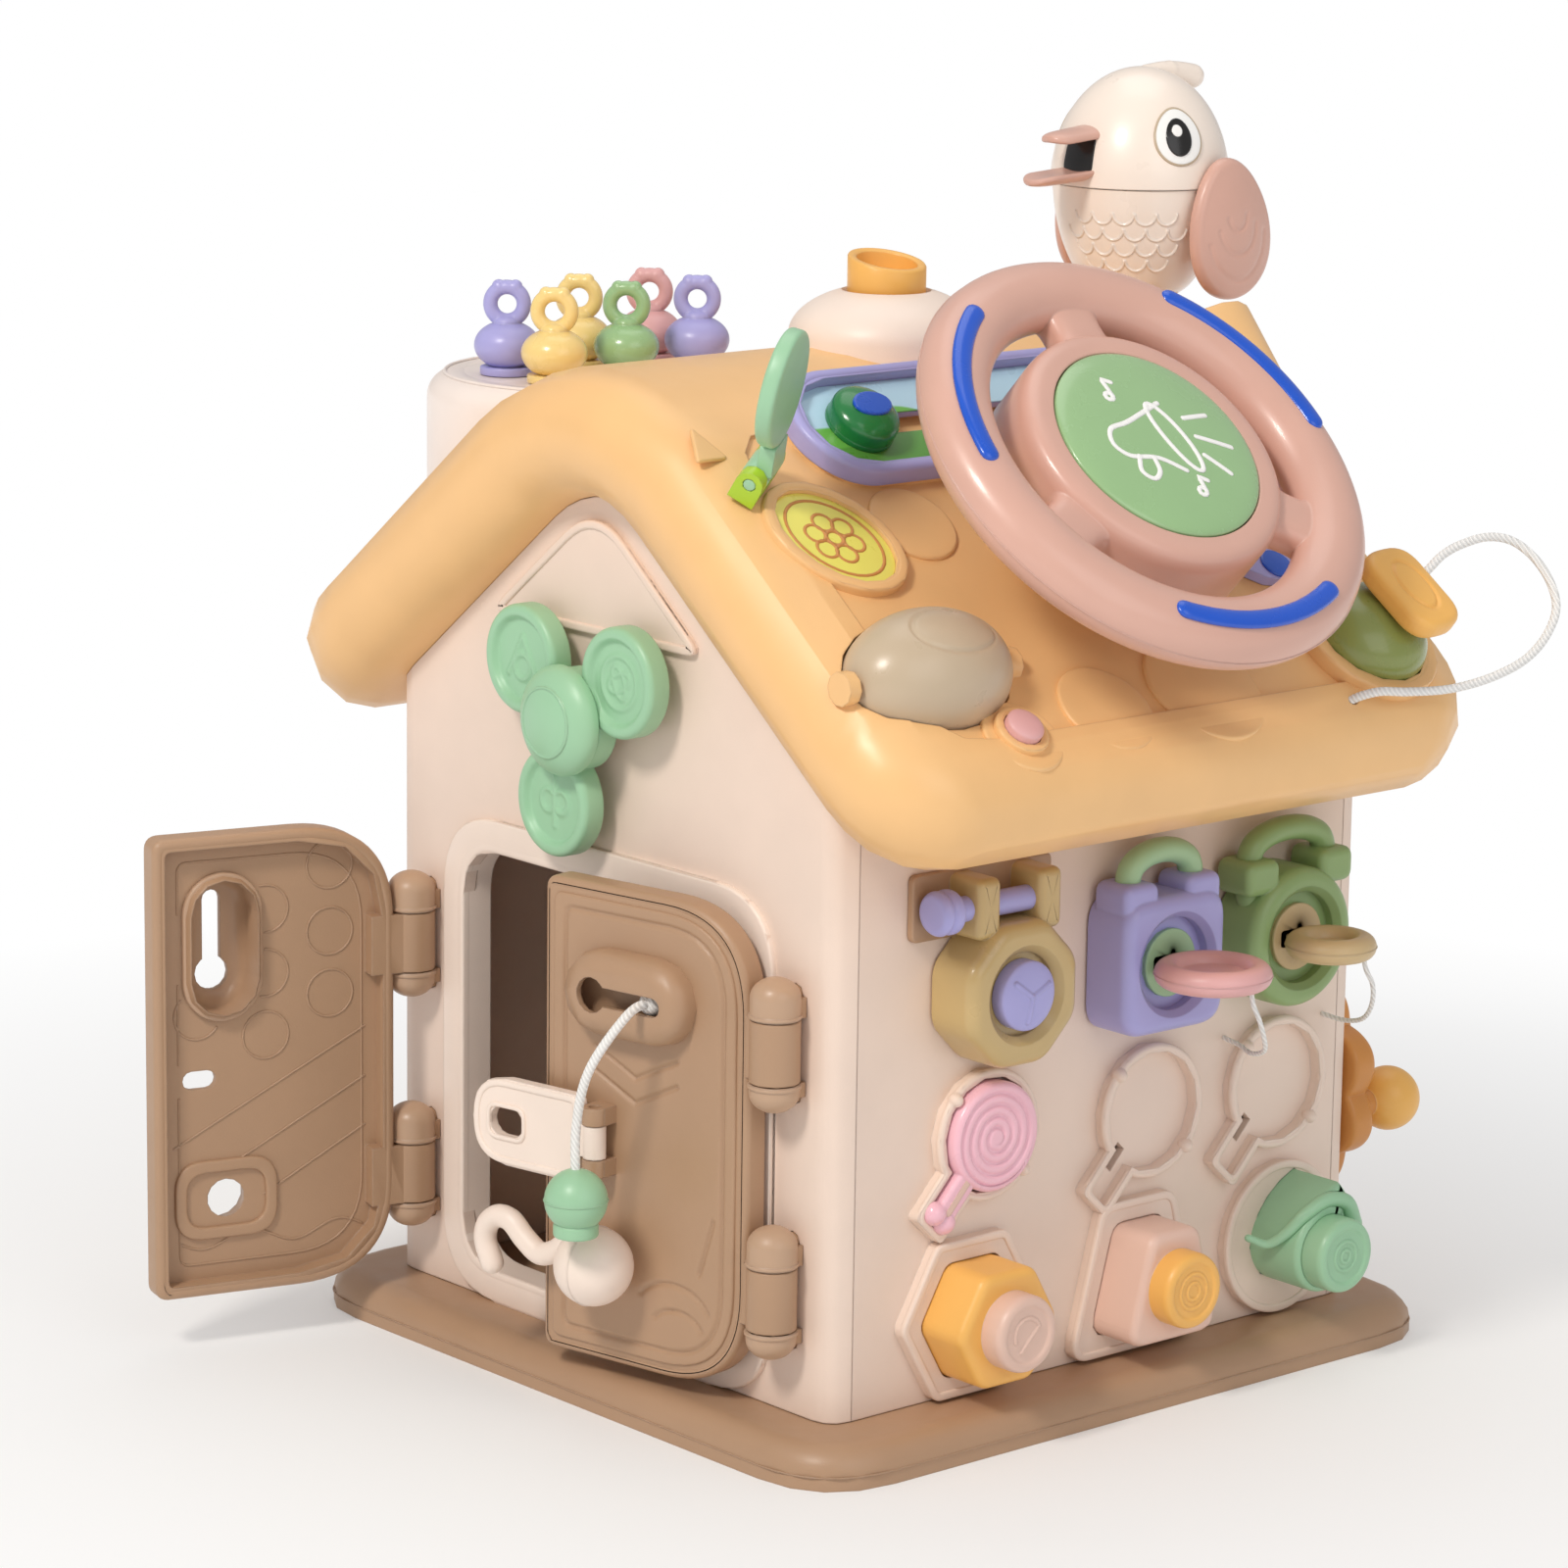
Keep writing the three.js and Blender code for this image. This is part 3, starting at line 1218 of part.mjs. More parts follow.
function steeringWheel() {
  const boreTop = HUB_UNDERSIDE + COLUMN_PIN_LENGTH;
  const boreRadius = COLUMN_PIN + SEAT;
  const floor = HUB_FLOOR - HUB_SHELL;
  const inner = HUB_RADIUS - HUB_SHELL;
  const seat = BUTTON_RADIUS + SEAT;
  const hub = turned([
    [0, boreTop], [boreRadius, boreTop], [boreRadius, HUB_UNDERSIDE],
    [boreRadius + HUB_SHELL, HUB_UNDERSIDE], [boreRadius + HUB_SHELL, floor],
    [inner, floor], [inner, HUB_UNDERSIDE], [HUB_RADIUS, HUB_UNDERSIDE],
    [HUB_RADIUS, HUB_TOP - HUB_SHELL], [HUB_RADIUS - HUB_EDGE, HUB_TOP - HUB_EDGE],
    [HUB_RADIUS - HUB_SHELL, HUB_TOP], [seat, HUB_TOP], [seat, HUB_FLOOR], [0, HUB_FLOOR],
  ], FINE_STEPS);
  const rim = new THREE.TorusGeometry(RIM_RADIUS, RIM_TUBE, CORD_SIDES, 2 * ROUND_STEPS)
    .scale(1, 1, RIM_TUBE_DEPTH / RIM_TUBE);
  const start = HUB_RADIUS - HUB_SHELL / 2;
  const span = RIM_RADIUS - start;
  const spokes = [0, 1, 2].map((index) => (
    moved(prism(rectangle(span, SPOKE_WIDTH), SPOKE_THICK), start + span / 2, 0, -SPOKE_THICK / 2)
      .rotateZ(SPOKE_TURN + index * 2 * Math.PI / 3)
  ));
  return join(hub, rim, ...spokes);
}

add(wheel, 'steering_wheel', steeringWheel(), finishes.dusty);
add(wheel, 'horn_button', turned([
  [0, HUB_TOP - BUTTON_HEIGHT], [BUTTON_RADIUS, HUB_TOP - BUTTON_HEIGHT],
  ...dome(BUTTON_RADIUS, BUTTON_CROWN, ARC_STEPS, HUB_TOP),
], FINE_STEPS), finishes.sage);

// Picture tray with a slot for the knob, and an arm that ends in a round plate
const trayLift = PANEL_RECESS + SEAT;

function pictureTray() {
  const fold = TRAY_WIDTH / 2;
  const arm = polygon([
    [ARM_PLATE_ALONG - ARM_WIDTH, TRAY_UP - fold / 2],
    [ARM_PLATE_ALONG - ARM_WIDTH / 2, ARM_PLATE_UP],
    [ARM_PLATE_ALONG + ARM_WIDTH / 2, ARM_PLATE_UP],
    [ARM_PLATE_ALONG, TRAY_UP],
    [ARM_PLATE_ALONG - ARM_WIDTH, TRAY_UP],
  ]);
  const below = moved(
    prism(stadium(TRAY_LENGTH + 2 * SEAT, TRAY_WIDTH + 2 * SEAT), trayLift + OVERRUN),
    TRAY_ALONG, TRAY_UP, -OVERRUN,
  );
  const plate = rod(ARM_PLATE_RADIUS, ARM_HEIGHT).translate(ARM_PLATE_ALONG, ARM_PLATE_UP, SEAT);
  const trough = prism(stadium(TRAY_LENGTH - 2 * TRAY_RIM, TRAY_WIDTH - 2 * TRAY_RIM), TRAY_HEIGHT);
  const slot = prism(stadium(TRAY_SLOT_LENGTH, TRAY_SLOT), 2 * TRAY_HEIGHT);
  const dish = moved(prism(stadium(TRAY_LENGTH, TRAY_WIDTH), TRAY_HEIGHT, 1), TRAY_ALONG, TRAY_UP, trayLift);
  return cut(
    join(dish, cut(join(moved(prism(arm, ARM_HEIGHT), 0, 0, SEAT), plate), below)),
    moved(trough, TRAY_ALONG, TRAY_UP, trayLift + TRAY_FLOOR),
    moved(slot, TRAY_ALONG, TRAY_UP, trayLift - TRAY_FLOOR),
  );
}

add(slope, 'picture_tray', pictureTray(), finishes.lavender);

const knobFrame = place(slope, TRAY_ALONG + KNOB_ALONG, TRAY_UP, trayLift + TRAY_FLOOR + SEAT);
const knobDrop = TRAY_FLOOR + 2 * SEAT + KNOB_FOOT_THICK;
add(knobFrame, 'slider_knob', join(
  turned([[0, 0], [KNOB_RADIUS, 0], ...dome(KNOB_RADIUS, KNOB_HEIGHT / 2, 3, KNOB_HEIGHT / 2)]),
  rod(KNOB_STEM, knobDrop + EMBED, PIN_STEPS).translate(0, 0, -knobDrop),
  rod(KNOB_FOOT, KNOB_FOOT_THICK, SMALL_STEPS).translate(0, 0, -knobDrop),
), finishes.darkGreen);

// Flap over the oval disc, on a barrel between two cheeks
const discFrame = place(slope, DISC_ALONG, DISC_UP, 0);
discFrame.rotation.z = FLAP_TURN;
const flapFrame = place(discFrame, 0, BARREL_POSITION, PANEL_RECESS + FLAP_AXIS_LIFT);
const cheekReach = FLAP_BARREL_LENGTH / 2 + SEAT;

function flapBracket() {
  const foot = PANEL_RECESS + SEAT;
  const width = 2 * (cheekReach + FLAP_CHEEK);
  const axis = PANEL_RECESS + FLAP_AXIS_LIFT;
  const cheek = (place) => join(
    rod(FLAP_BARREL, FLAP_CHEEK, SMALL_STEPS).rotateY(Math.PI / 2).translate(place, BARREL_POSITION, axis),
    box(FLAP_CHEEK, 2 * FLAP_BARREL, axis - foot).translate(place + FLAP_CHEEK / 2, BARREL_POSITION, foot),
  );
  return cut(
    join(
      box(width, 2 * FLAP_BARREL, FLAP_BASE).translate(0, BARREL_POSITION, foot),
      cheek(cheekReach),
      cheek(-cheekReach - FLAP_CHEEK),
    ),
    rod(FLAP_PIN + SEAT, 2 * width, PIN_STEPS).rotateY(Math.PI / 2).translate(-width, BARREL_POSITION, axis),
  );
}

function flapPiece() {
  const foot = DISC_RING_HEIGHT + RUNNING - PANEL_RECESS - FLAP_AXIS_LIFT;
  const pinLength = 2 * (cheekReach + FLAP_CHEEK);
  return join(
    prism(oval(FLAP_HALF_WIDE, FLAP_HALF_LONG), FLAP_THICK, FLAP_BEVEL, OVAL_STEPS)
      .translate(0, -BARREL_POSITION, foot),
    box(FLAP_BARREL_LENGTH, 2 * FLAP_BARREL + EMBED, FLAP_THICK).translate(0, -FLAP_BARREL - EMBED, foot),
    rod(FLAP_BARREL, FLAP_BARREL_LENGTH, SMALL_STEPS).rotateY(Math.PI / 2)
      .translate(-FLAP_BARREL_LENGTH / 2, 0, 0),
    rod(FLAP_PIN, pinLength, PIN_STEPS).rotateY(Math.PI / 2).translate(-pinLength / 2, 0, 0),
  );
}

add(discFrame, 'flap_bracket', flapBracket(), finishes.lime);
flapFrame.rotation.x = -FLAP_OPEN;
add(flapFrame, 'flap', flapPiece(), finishes.mint);

// Egg that rolls on two pins, and the small button beside it
const eggFrame = place(slope, EGG_ALONG, EGG_UP, EGG_LIFT);
const eggReach = EGG_HALF_LONG + EGG_GAP;
add(eggFrame, 'egg_roller', join(
  new THREE.SphereGeometry(1, ROUND_STEPS, SMALL_STEPS).rotateZ(Math.PI / 2)
    .scale(EGG_HALF_LONG, EGG_RADIUS, EGG_RADIUS),
  rod(EGG_PIN, 2 * (EGG_HALF_LONG + EGG_PIN_LENGTH), PIN_STEPS).rotateY(Math.PI / 2)
    .translate(-EGG_HALF_LONG - EGG_PIN_LENGTH, 0, 0),
), finishes.taupe);

const studFrame = place(slope, STUD_BUTTON_ALONG, STUD_BUTTON_UP, 0);
add(studFrame, 'egg_button', turned([
  [0, 0], [STUD_BUTTON_RADIUS, 0],
  ...dome(STUD_BUTTON_RADIUS, STUD_BUTTON_HEIGHT / 3, 3, STUD_BUTTON_HEIGHT),
], ROUND_STEPS), finishes.pink);

// Dial in its ring, the grip on it and the grip's cord
const dialFrame = place(slope, DIAL_ALONG, DIAL_UP, 0);
add(dialFrame, 'green_dial', turned([
  [0, SEAT - DIAL_DEPTH], [DIAL_RADIUS, SEAT - DIAL_DEPTH],
  ...dome(DIAL_RADIUS, DIAL_DOME, ARC_STEPS, DIAL_RING_HEIGHT),
]), finishes.olive);

const gripRoute = GRIP_ROUTE.map(([x, y, z]) => at(x, y, z));
const gripBore = bore(gripRoute, GRIP_CORD_RADIUS, CORD_SIDES, GRIP_CORD_STEPS);
const gripLift = DIAL_RING_HEIGHT + DIAL_DOME + SEAT;
const gripFrame = place(slope, GRIP_ALONG, GRIP_UP, gripLift);
gripFrame.rotation.z = GRIP_TURN;
add(gripFrame, 'pull_grip', cut(
  prism(oval(GRIP_HALF_LONG, GRIP_HALF_WIDE), GRIP_THICK, GRIP_THICK / 3, BALL_RINGS),
  inFrame(gripFrame, gripBore),
), finishes.amber);
add(house, 'grip_cord', tube(gripRoute, GRIP_CORD_RADIUS, CORD_SIDES, GRIP_CORD_STEPS), finishes.cord);

// Dome on the ridge with the slanted spout in it
const domeFrame = place(house, 0, 0, RIDGE_HEIGHT + ROOF_HALF);
const spoutSeat = DOME_HEIGHT - DOME_SINK / 4;

function domeBase() {
  const body = turned([
    [0, -DOME_SINK], [DOME_RADIUS, -DOME_SINK], ...dome(DOME_RADIUS, DOME_HEIGHT, ARC_STEPS, EMBED),
  ], FINE_STEPS);
  const seat = moved(rod(SPOUT_RADIUS + RUNNING, DOME_HEIGHT), 0, 0, spoutSeat - SEAT);
  const socket = moved(rod(SPOUT_STEM + RUNNING, SPOUT_STEM_LENGTH + RUNNING + EMBED, SMALL_STEPS), 0, 0,
    spoutSeat - SPOUT_STEM_LENGTH - RUNNING);
  return cut(common(body, inFrame(domeFrame, overRoof())), seat, socket);
}

function spout() {
  const tilt = Math.atan2(SPOUT_SLANT, 2 * SPOUT_RADIUS);
  const slice = box(4 * SPOUT_RADIUS, 4 * SPOUT_RADIUS, SPOUT_HEIGHT).rotateY(tilt)
    .translate(0, 0, SPOUT_HEIGHT - SPOUT_SLANT / 2);
  return cut(
    join(
      rod(SPOUT_RADIUS, SPOUT_HEIGHT),
      rod(SPOUT_STEM, SPOUT_STEM_LENGTH + EMBED, SMALL_STEPS).translate(0, 0, -SPOUT_STEM_LENGTH),
    ),
    rod(SPOUT_RADIUS - SPOUT_WALL, SPOUT_HEIGHT).translate(0, 0, SPOUT_WALL),
    slice,
  );
}

add(domeFrame, 'dome_base', domeBase(), finishes.cream);
const spoutFrame = place(domeFrame, 0, 0, spoutSeat);
add(spoutFrame, 'dome_spout', spout(), finishes.amber);

// Peg drum on the far slope
const drumFrame = place(house, DRUM_X, DRUM_Y, DRUM_TOP);
const pegPlaces = [-1, 1].flatMap((row) => [-1, 0, 1].map((step) => [row * PEG_ROW, step * PEG_STEP]));

function pegDrum() {
  const edge = dome(DRUM_ROUND, DRUM_ROUND, 3, -DRUM_ROUND).slice(0, -1)
    .map(([radius, height]) => [DRUM_RADIUS - DRUM_ROUND + radius, height]);
  const body = turned([
    [0, -DRUM_TOP / 2], [DRUM_RADIUS, -DRUM_TOP / 2], ...edge, [DRUM_RADIUS - DRUM_ROUND, 0], [0, 0],
  ], FINE_STEPS);
  const holes = pegPlaces.map(([x, y]) => (
    moved(rod(PEG_STEM + SEAT, PEG_STEM_LENGTH + RUNNING + OVERRUN, PIN_STEPS), x, y,
      -PEG_STEM_LENGTH - RUNNING)
  ));
  return cut(common(body, inFrame(drumFrame, overRoof())), ...holes);
}

function peg() {
  const bulb = Array.from({ length: 5 }, (_, index) => {
    const angle = -Math.PI / 3 + index * 5 * Math.PI / 24;
    const middle = PEG_FLANGE_HEIGHT + PEG_BULB_HALF * Math.sin(Math.PI / 3);
    return [PEG_BULB * Math.cos(angle), middle + PEG_BULB_HALF * Math.sin(angle)];
  });
  const top = PEG_FLANGE_HEIGHT + PEG_BULB_HALF * (1 + Math.sin(Math.PI / 3));
  const ring = new THREE.TorusGeometry(PEG_RING, PEG_RING_TUBE, ARC_STEPS + 1, PIN_STEPS).rotateX(Math.PI / 2)
    .translate(0, 0, top + PEG_RING);
  return join(
    turned([[0, -PEG_STEM_LENGTH], [PEG_STEM, -PEG_STEM_LENGTH], [PEG_STEM, 0],
      [PEG_FLANGE, 0], [PEG_FLANGE, PEG_FLANGE_HEIGHT], ...bulb, [0, top]], PIN_STEPS),
    ring,
  );
}

add(drumFrame, 'peg_drum', pegDrum(), finishes.drum);
const pegFinishes = ['lavender', 'yellow', 'pink', 'yellow', 'sage', 'lavender']
  .map((name) => finishes[name]);
pegPlaces.forEach(([x, y], index) => {
  const pegFrame = place(drumFrame, x, y, SEAT);
  pegFrame.rotation.z = PEG_TURN;
  add(pegFrame, `peg_${index + 1}`, peg(), pegFinishes[index]);
});

// Bird: body on the perch, head on the body's neck, beak in the head and a wing on each side
const bird = place(house, 0, BIRD_Y, BIRD_FOOT);

function birdBody() {
  const round = BODY_SHARES.map(([across, up]) => [across * BIRD_RADIUS, up * BIRD_SEAM]);
  const top = BIRD_SEAM + NECK_HEIGHT;
  const neck = [[NECK_RADIUS, BIRD_SEAM], [NECK_RADIUS, top], [0, top]];
  const holes = [-1, 1].map((hand) => (
    rod(WING_PIN + SEAT, WING_PIN_LENGTH + OVERRUN, PIN_STEPS).rotateY(Math.PI / 2 * hand)
      .translate(hand * (BIRD_RADIUS - WING_PIN_LENGTH), 0, WING_PIVOT)
  ));
  return cut(turned([[0, 0], ...round, ...neck], FINE_STEPS), ...holes);
}

function mouth(clearance) {
  const width = MOUTH_WIDTH + 2 * clearance;
  const height = MOUTH_HEIGHT + 2 * clearance;
  return prism(oval(width / 2, height / 2), BIRD_RADIUS, 0, BALL_RINGS).rotateX(Math.PI / 2)
    .translate(0, -BIRD_RADIUS + MOUTH_DEPTH + clearance, BIRD_SEAM + MOUTH_RISE);
}

function birdHead() {
  const start = BIRD_SEAM + SEAT;
  const crown = dome(BIRD_RADIUS, BIRD_HEIGHT - BIRD_SEAM - SEAT, BALL_RINGS, start);
  const crest = new THREE.CapsuleGeometry(CREST_RADIUS, CREST_LENGTH, ARC_STEPS, SMALL_STEPS)
    .translate(0, CREST_BACK, BIRD_HEIGHT - CREST_RADIUS - CREST_DROP);
  const socket = moved(rod(NECK_RADIUS + 2 * RUNNING, NECK_HEIGHT + 2 * SEAT, FINE_STEPS), 0, 0, BIRD_SEAM);
  return cut(
    join(turned([[0, start], ...crown], FINE_STEPS), crest),
    socket,
    mouth(RUNNING + SEAT),
  );
}

function birdBeak() {
  const middle = BIRD_SEAM + MOUTH_RISE;
  const reach = BEAK_REACH + MOUTH_DEPTH;
  const back = -BIRD_RADIUS + MOUTH_DEPTH;
  const whole = new THREE.SphereGeometry(1, ROUND_STEPS, PIN_STEPS).rotateX(Math.PI / 2)
    .scale(MOUTH_WIDTH / 2, reach, MOUTH_HEIGHT / 2).translate(0, back, middle);
  const throat = back - BEAK_WALL;
  const opening = prism(polygon([
    [throat, -BEAK_WALL / 2], [throat - reach, -MOUTH_HEIGHT / 2],
    [throat - reach, MOUTH_HEIGHT / 2], [throat, BEAK_WALL / 2],
  ]), 2 * MOUTH_WIDTH).applyMatrix4(new THREE.Matrix4().makeBasis(at(0, 1, 0), at(0, 0, 1), at(1, 0, 0)))
    .translate(-MOUTH_WIDTH, 0, middle);
  const keep = box(2 * MOUTH_WIDTH, 2 * reach, 2 * MOUTH_HEIGHT)
    .translate(0, back - reach, middle - MOUTH_HEIGHT);
  return cut(common(whole, keep), opening);
}

function wing(hand) {
  const shell = prism(oval(WING_HALF_WIDE, WING_HALF_TALL), WING_THICK, WING_BEVEL, BALL_RINGS)
    .rotateZ(WING_LEAN).translate(WING_BACK, -WING_DROP, 0);
  const plate = shell.applyMatrix4(
    new THREE.Matrix4().makeBasis(at(0, 1, 0), at(0, 0, 1), at(1, 0, 0)),
  ).translate(BIRD_RADIUS + RUNNING, 0, 0);
  const pin = rod(WING_PIN, WING_PIN_LENGTH + EMBED, PIN_STEPS).rotateY(Math.PI / 2)
    .translate(BIRD_RADIUS - WING_PIN_LENGTH + RUNNING, 0, 0);
  const whole = join(plate, pin);
  return hand > 0 ? whole : mirrored(whole);
}

add(bird, 'bird_body', birdBody(), finishes.cream);
const headFrame = place(bird, 0, 0, 0);
add(headFrame, 'bird_head', birdHead(), finishes.cream);
add(headFrame, 'bird_beak', birdBeak(), finishes.dusty);
add(place(bird, 0, 0, WING_PIVOT), 'wing_right', wing(1), finishes.dusty);
add(place(bird, 0, 0, WING_PIVOT), 'wing_left', wing(-1), finishes.dusty);

// Padlocks stand a seat off the wall; each has something to turn, slide or lift
function lockBody(shape, radius, steps = ARC_STEPS) {
  const outline = shape.getPoints(steps);
  const points = outline[0].distanceTo(outline[outline.length - 1]) < SEAT ? outline.slice(1) : outline;
  const ring = (share) => {
    const inset = LOCK_BEVEL * (1 - Math.cos(share * Math.PI / 2));
    const height = LOCK_THICK - LOCK_BEVEL * (1 - Math.sin(share * Math.PI / 2));
    return points.map((point) => at(point.x * (1 - inset / radius), point.y * (1 - inset / radius),
      height + SEAT));
  };
  const foot = points.map((point) => at(point.x, point.y, SEAT));
  return loft([foot, ring(0), ring(0.4), ring(0.7), ring(1)]);
}

const octagonFrame = place(side, OCTAGON_ALONG, LOCK_HEIGHT, 0);

function octagonLock() {
  const rise = OCTAGON_RADIUS * Math.cos(Math.PI / 8);
  const lug = (along) => box(LUG_THICK, LUG_HEIGHT, LUG_WIDTH)
    .translate(along, rise - LOCK_BEVEL + LUG_HEIGHT / 2, SEAT);
  const bolt = rod(BOLT_RADIUS + SEAT, 2 * BOLT_LENGTH, SMALL_STEPS).rotateY(Math.PI / 2)
    .translate(-BOLT_LENGTH, BOLT_RISE, BOLT_OUT);
  return cut(
    join(
      lockBody(regular(8, OCTAGON_RADIUS, Math.PI / 8, EMBED), OCTAGON_RADIUS),
      lug(-LUG_SPREAD / 2),
      lug(LUG_SPREAD / 2),
      moved(prism(rectangle(KEEP_LENGTH, KEEP_HEIGHT, EMBED), KEEP_THICK), -KEEP_ASIDE, BOLT_RISE, SEAT),
    ),
    bolt,
    moved(rod(OCTAGON_DISH, DISH_DEPTH + OVERRUN), 0, 0, LOCK_FRONT - DISH_DEPTH),
  );
}

add(octagonFrame, 'padlock_octagon', octagonLock(), finishes.khaki);
const boltFrame = place(octagonFrame, -BOLT_ASIDE, BOLT_RISE, BOLT_OUT);
add(boltFrame, 'padlock_bolt', join(
  rod(BOLT_RADIUS, BOLT_LENGTH, SMALL_STEPS).rotateY(Math.PI / 2).translate(-BOLT_LENGTH / 2, 0, 0),
  rod(BOLT_HEAD, BOLT_HEAD_LENGTH, SMALL_STEPS).rotateY(Math.PI / 2)
    .translate(-BOLT_LENGTH / 2 - BOLT_HEAD_LENGTH + EMBED, 0, 0),
), finishes.lavender);
const dishFrame = place(octagonFrame, 0, 0, LOCK_FRONT - DISH_DEPTH + SEAT);
add(dishFrame, 'padlock_dial', turned([
  [0, 0], [OCTAGON_DIAL, 0], ...dome(OCTAGON_DIAL, DISH_DEPTH / 2, ARC_STEPS, OCTAGON_DIAL_HEIGHT),
]), finishes.lavender);

// Locks with a shackle above and a keyed rotor in front
function shackle({ spread, leg, arch }) {
  const foot = SHOULDER_TOP + leg;
  const arc = Array.from({ length: ARCH_POINTS }, (_, step) => {
    const angle = Math.PI - (step + 1) * Math.PI / (ARCH_POINTS + 1);
    return at(spread / 2 * Math.cos(angle), foot + arch * Math.sin(angle), 0);
  });
  const heights = [SHOULDER_TOP - SHACKLE_SINK, SHOULDER_TOP - SHACKLE_SINK / 2, SHOULDER_TOP, foot];
  const near = heights.map((height) => at(-spread / 2, height, 0));
  const far = heights.reverse().map((height) => at(spread / 2, height, 0));
  return tube([...near, ...arc, ...far], SHACKLE_TUBE, CORD_SIDES, SHACKLE_STEPS);
}

function keyedLock(shape, spread, steps) {
  const radius = SQUARE_SIDE / 2;
  const middle = SEAT + LOCK_THICK / 2;
  const shoulder = (sign) => (
    box(SHOULDER_WIDTH, SHOULDER_HEIGHT + LOCK_BEVEL + EMBED, LOCK_THICK - LOCK_BEVEL)
      .translate(sign * spread / 2, SHOULDER_TOP - (SHOULDER_HEIGHT + LOCK_BEVEL + EMBED) / 2,
        SEAT + LOCK_BEVEL / 2)
  );
  const hole = (sign) => rod(SHACKLE_TUBE + SEAT, 2 * SHACKLE_SINK, SMALL_STEPS).rotateX(-Math.PI / 2)
    .translate(sign * spread / 2, SHOULDER_TOP - SHACKLE_SINK - RUNNING, middle);
  return cut(
    join(lockBody(shape, radius, steps), shoulder(-1), shoulder(1)),
    hole(-1),
    hole(1),
    moved(rod(ROTOR_RADIUS + RUNNING, LOCK_THICK), 0, 0, LOCK_FRONT - ROTOR_SUNK - ROTOR_HEIGHT - SEAT),
    moved(rod(LOCK_DISH, LOCK_THICK), 0, 0, LOCK_FRONT - LOCK_DISH_DEPTH),
  );
}

function rotor() {
  return cut(
    rod(ROTOR_RADIUS, ROTOR_HEIGHT),
    box(ROTOR_SLOT_LENGTH, ROTOR_SLOT, ROTOR_HEIGHT).translate(0, 0, ROTOR_HEIGHT - KEY_BLADE - SEAT),
  );
}

function ringKey(radius) {
  const centre = SEAT + radius + KEY_RING_TUBE;
  return join(
    new THREE.TorusGeometry(radius, KEY_RING_TUBE, CORD_SIDES, ROUND_STEPS).rotateX(Math.PI / 2)
      .translate(0, 0, centre),
    moved(prism(rectangle(KEY_BLADE_WIDTH, KEY_BLADE_THICK), KEY_BLADE + KEY_RING_TUBE + SEAT), 0, 0,
      -KEY_BLADE),
  );
}

function keyed(name, along, [shape, steps], arc, ring, keyName, [body, bow, turner, key]) {
  const lock = place(side, along, LOCK_HEIGHT, 0);
  add(lock, `padlock_${name}`, keyedLock(shape, arc.spread, steps), body);
  add(place(lock, 0, 0, SEAT + LOCK_THICK / 2), `shackle_${name}`, shackle(arc), bow);
  const rotorFrame = place(lock, 0, 0, LOCK_FRONT - ROTOR_SUNK - ROTOR_HEIGHT);
  add(rotorFrame, `rotor_${name}`, rotor(), turner);
  add(place(rotorFrame, 0, 0, ROTOR_HEIGHT), keyName, ringKey(ring), key);
}

const squareShape = rectangle(SQUARE_SIDE, SQUARE_SIDE, SQUARE_CORNER);
keyed('square', SQUARE_ALONG, [squareShape, ARC_STEPS], SQUARE_SHACKLE, PINK_RING, 'key_pink',
  [finishes.lavender, finishes.sage, finishes.sage, finishes.pink]);
const roundShape = oval(ROUND_RADIUS, ROUND_RADIUS);
keyed('round', ROUND_ALONG, [roundShape, OVAL_STEPS], ROUND_SHACKLE, TAN_RING, 'key_tan',
  [finishes.lock, finishes.lock, finishes.khaki, finishes.tan]);

// Key places on the wall: a raised rim round the outline of a key
function keyOutline(radius, reach, grow) {
  const width = CANDY_STEM_WIDTH + 2 * grow;
  return {
    disc: radius + grow,
    stem: rectangle(width, reach + grow, Math.min(width, CANDY_STEM_WIDTH) / 4),
    place: -(reach + grow) / 2,
  };
}

function keyPrism(radius, grow, height) {
  const outline = keyOutline(radius, CANDY_STEM, grow);
  return join(rod(outline.disc, height), moved(prism(outline.stem, height), 0, outline.place, 0));
}

function cradle(along, up, radius) {
  const rim = cut(
    moved(keyPrism(radius, CRADLE_GAP + CRADLE_RIM, CRADLE_PROUD + EMBED), 0, 0, -EMBED),
    moved(keyPrism(radius, CRADLE_GAP, CRADLE_PROUD + OVERRUN), 0, 0, 0),
  );
  return moved(rim.rotateZ(-CRADLE_TILT), along, up, 0);
}

const candyFrame = place(side, CANDY_ALONG, CANDY_HEIGHT, SEAT);
candyFrame.rotation.z = -CRADLE_TILT;
add(candyFrame, 'key_lollipop', join(
  turned([[0, 0], [CANDY_RADIUS - EMBED, 0], [CANDY_RADIUS, EMBED], [CANDY_RADIUS, CANDY_THICK - 2 * EMBED],
    [CANDY_RADIUS - EMBED, CANDY_THICK - EMBED / 2],
    [CANDY_RADIUS - 2 * EMBED, CANDY_THICK], [0, CANDY_THICK]]),
  moved(prism(rectangle(CANDY_STEM_WIDTH, CANDY_STEM, EMBED), CANDY_BIT), 0, -CANDY_STEM / 2, 0),
), finishes.candy);

// Sorter outlines, grown by a gap for the hole and by a frame around it
function hexagonShape(grow) {
  return regular(6, HEXAGON_RADIUS + grow / Math.cos(Math.PI / 6), 0, BLOCK_ROUND);
}

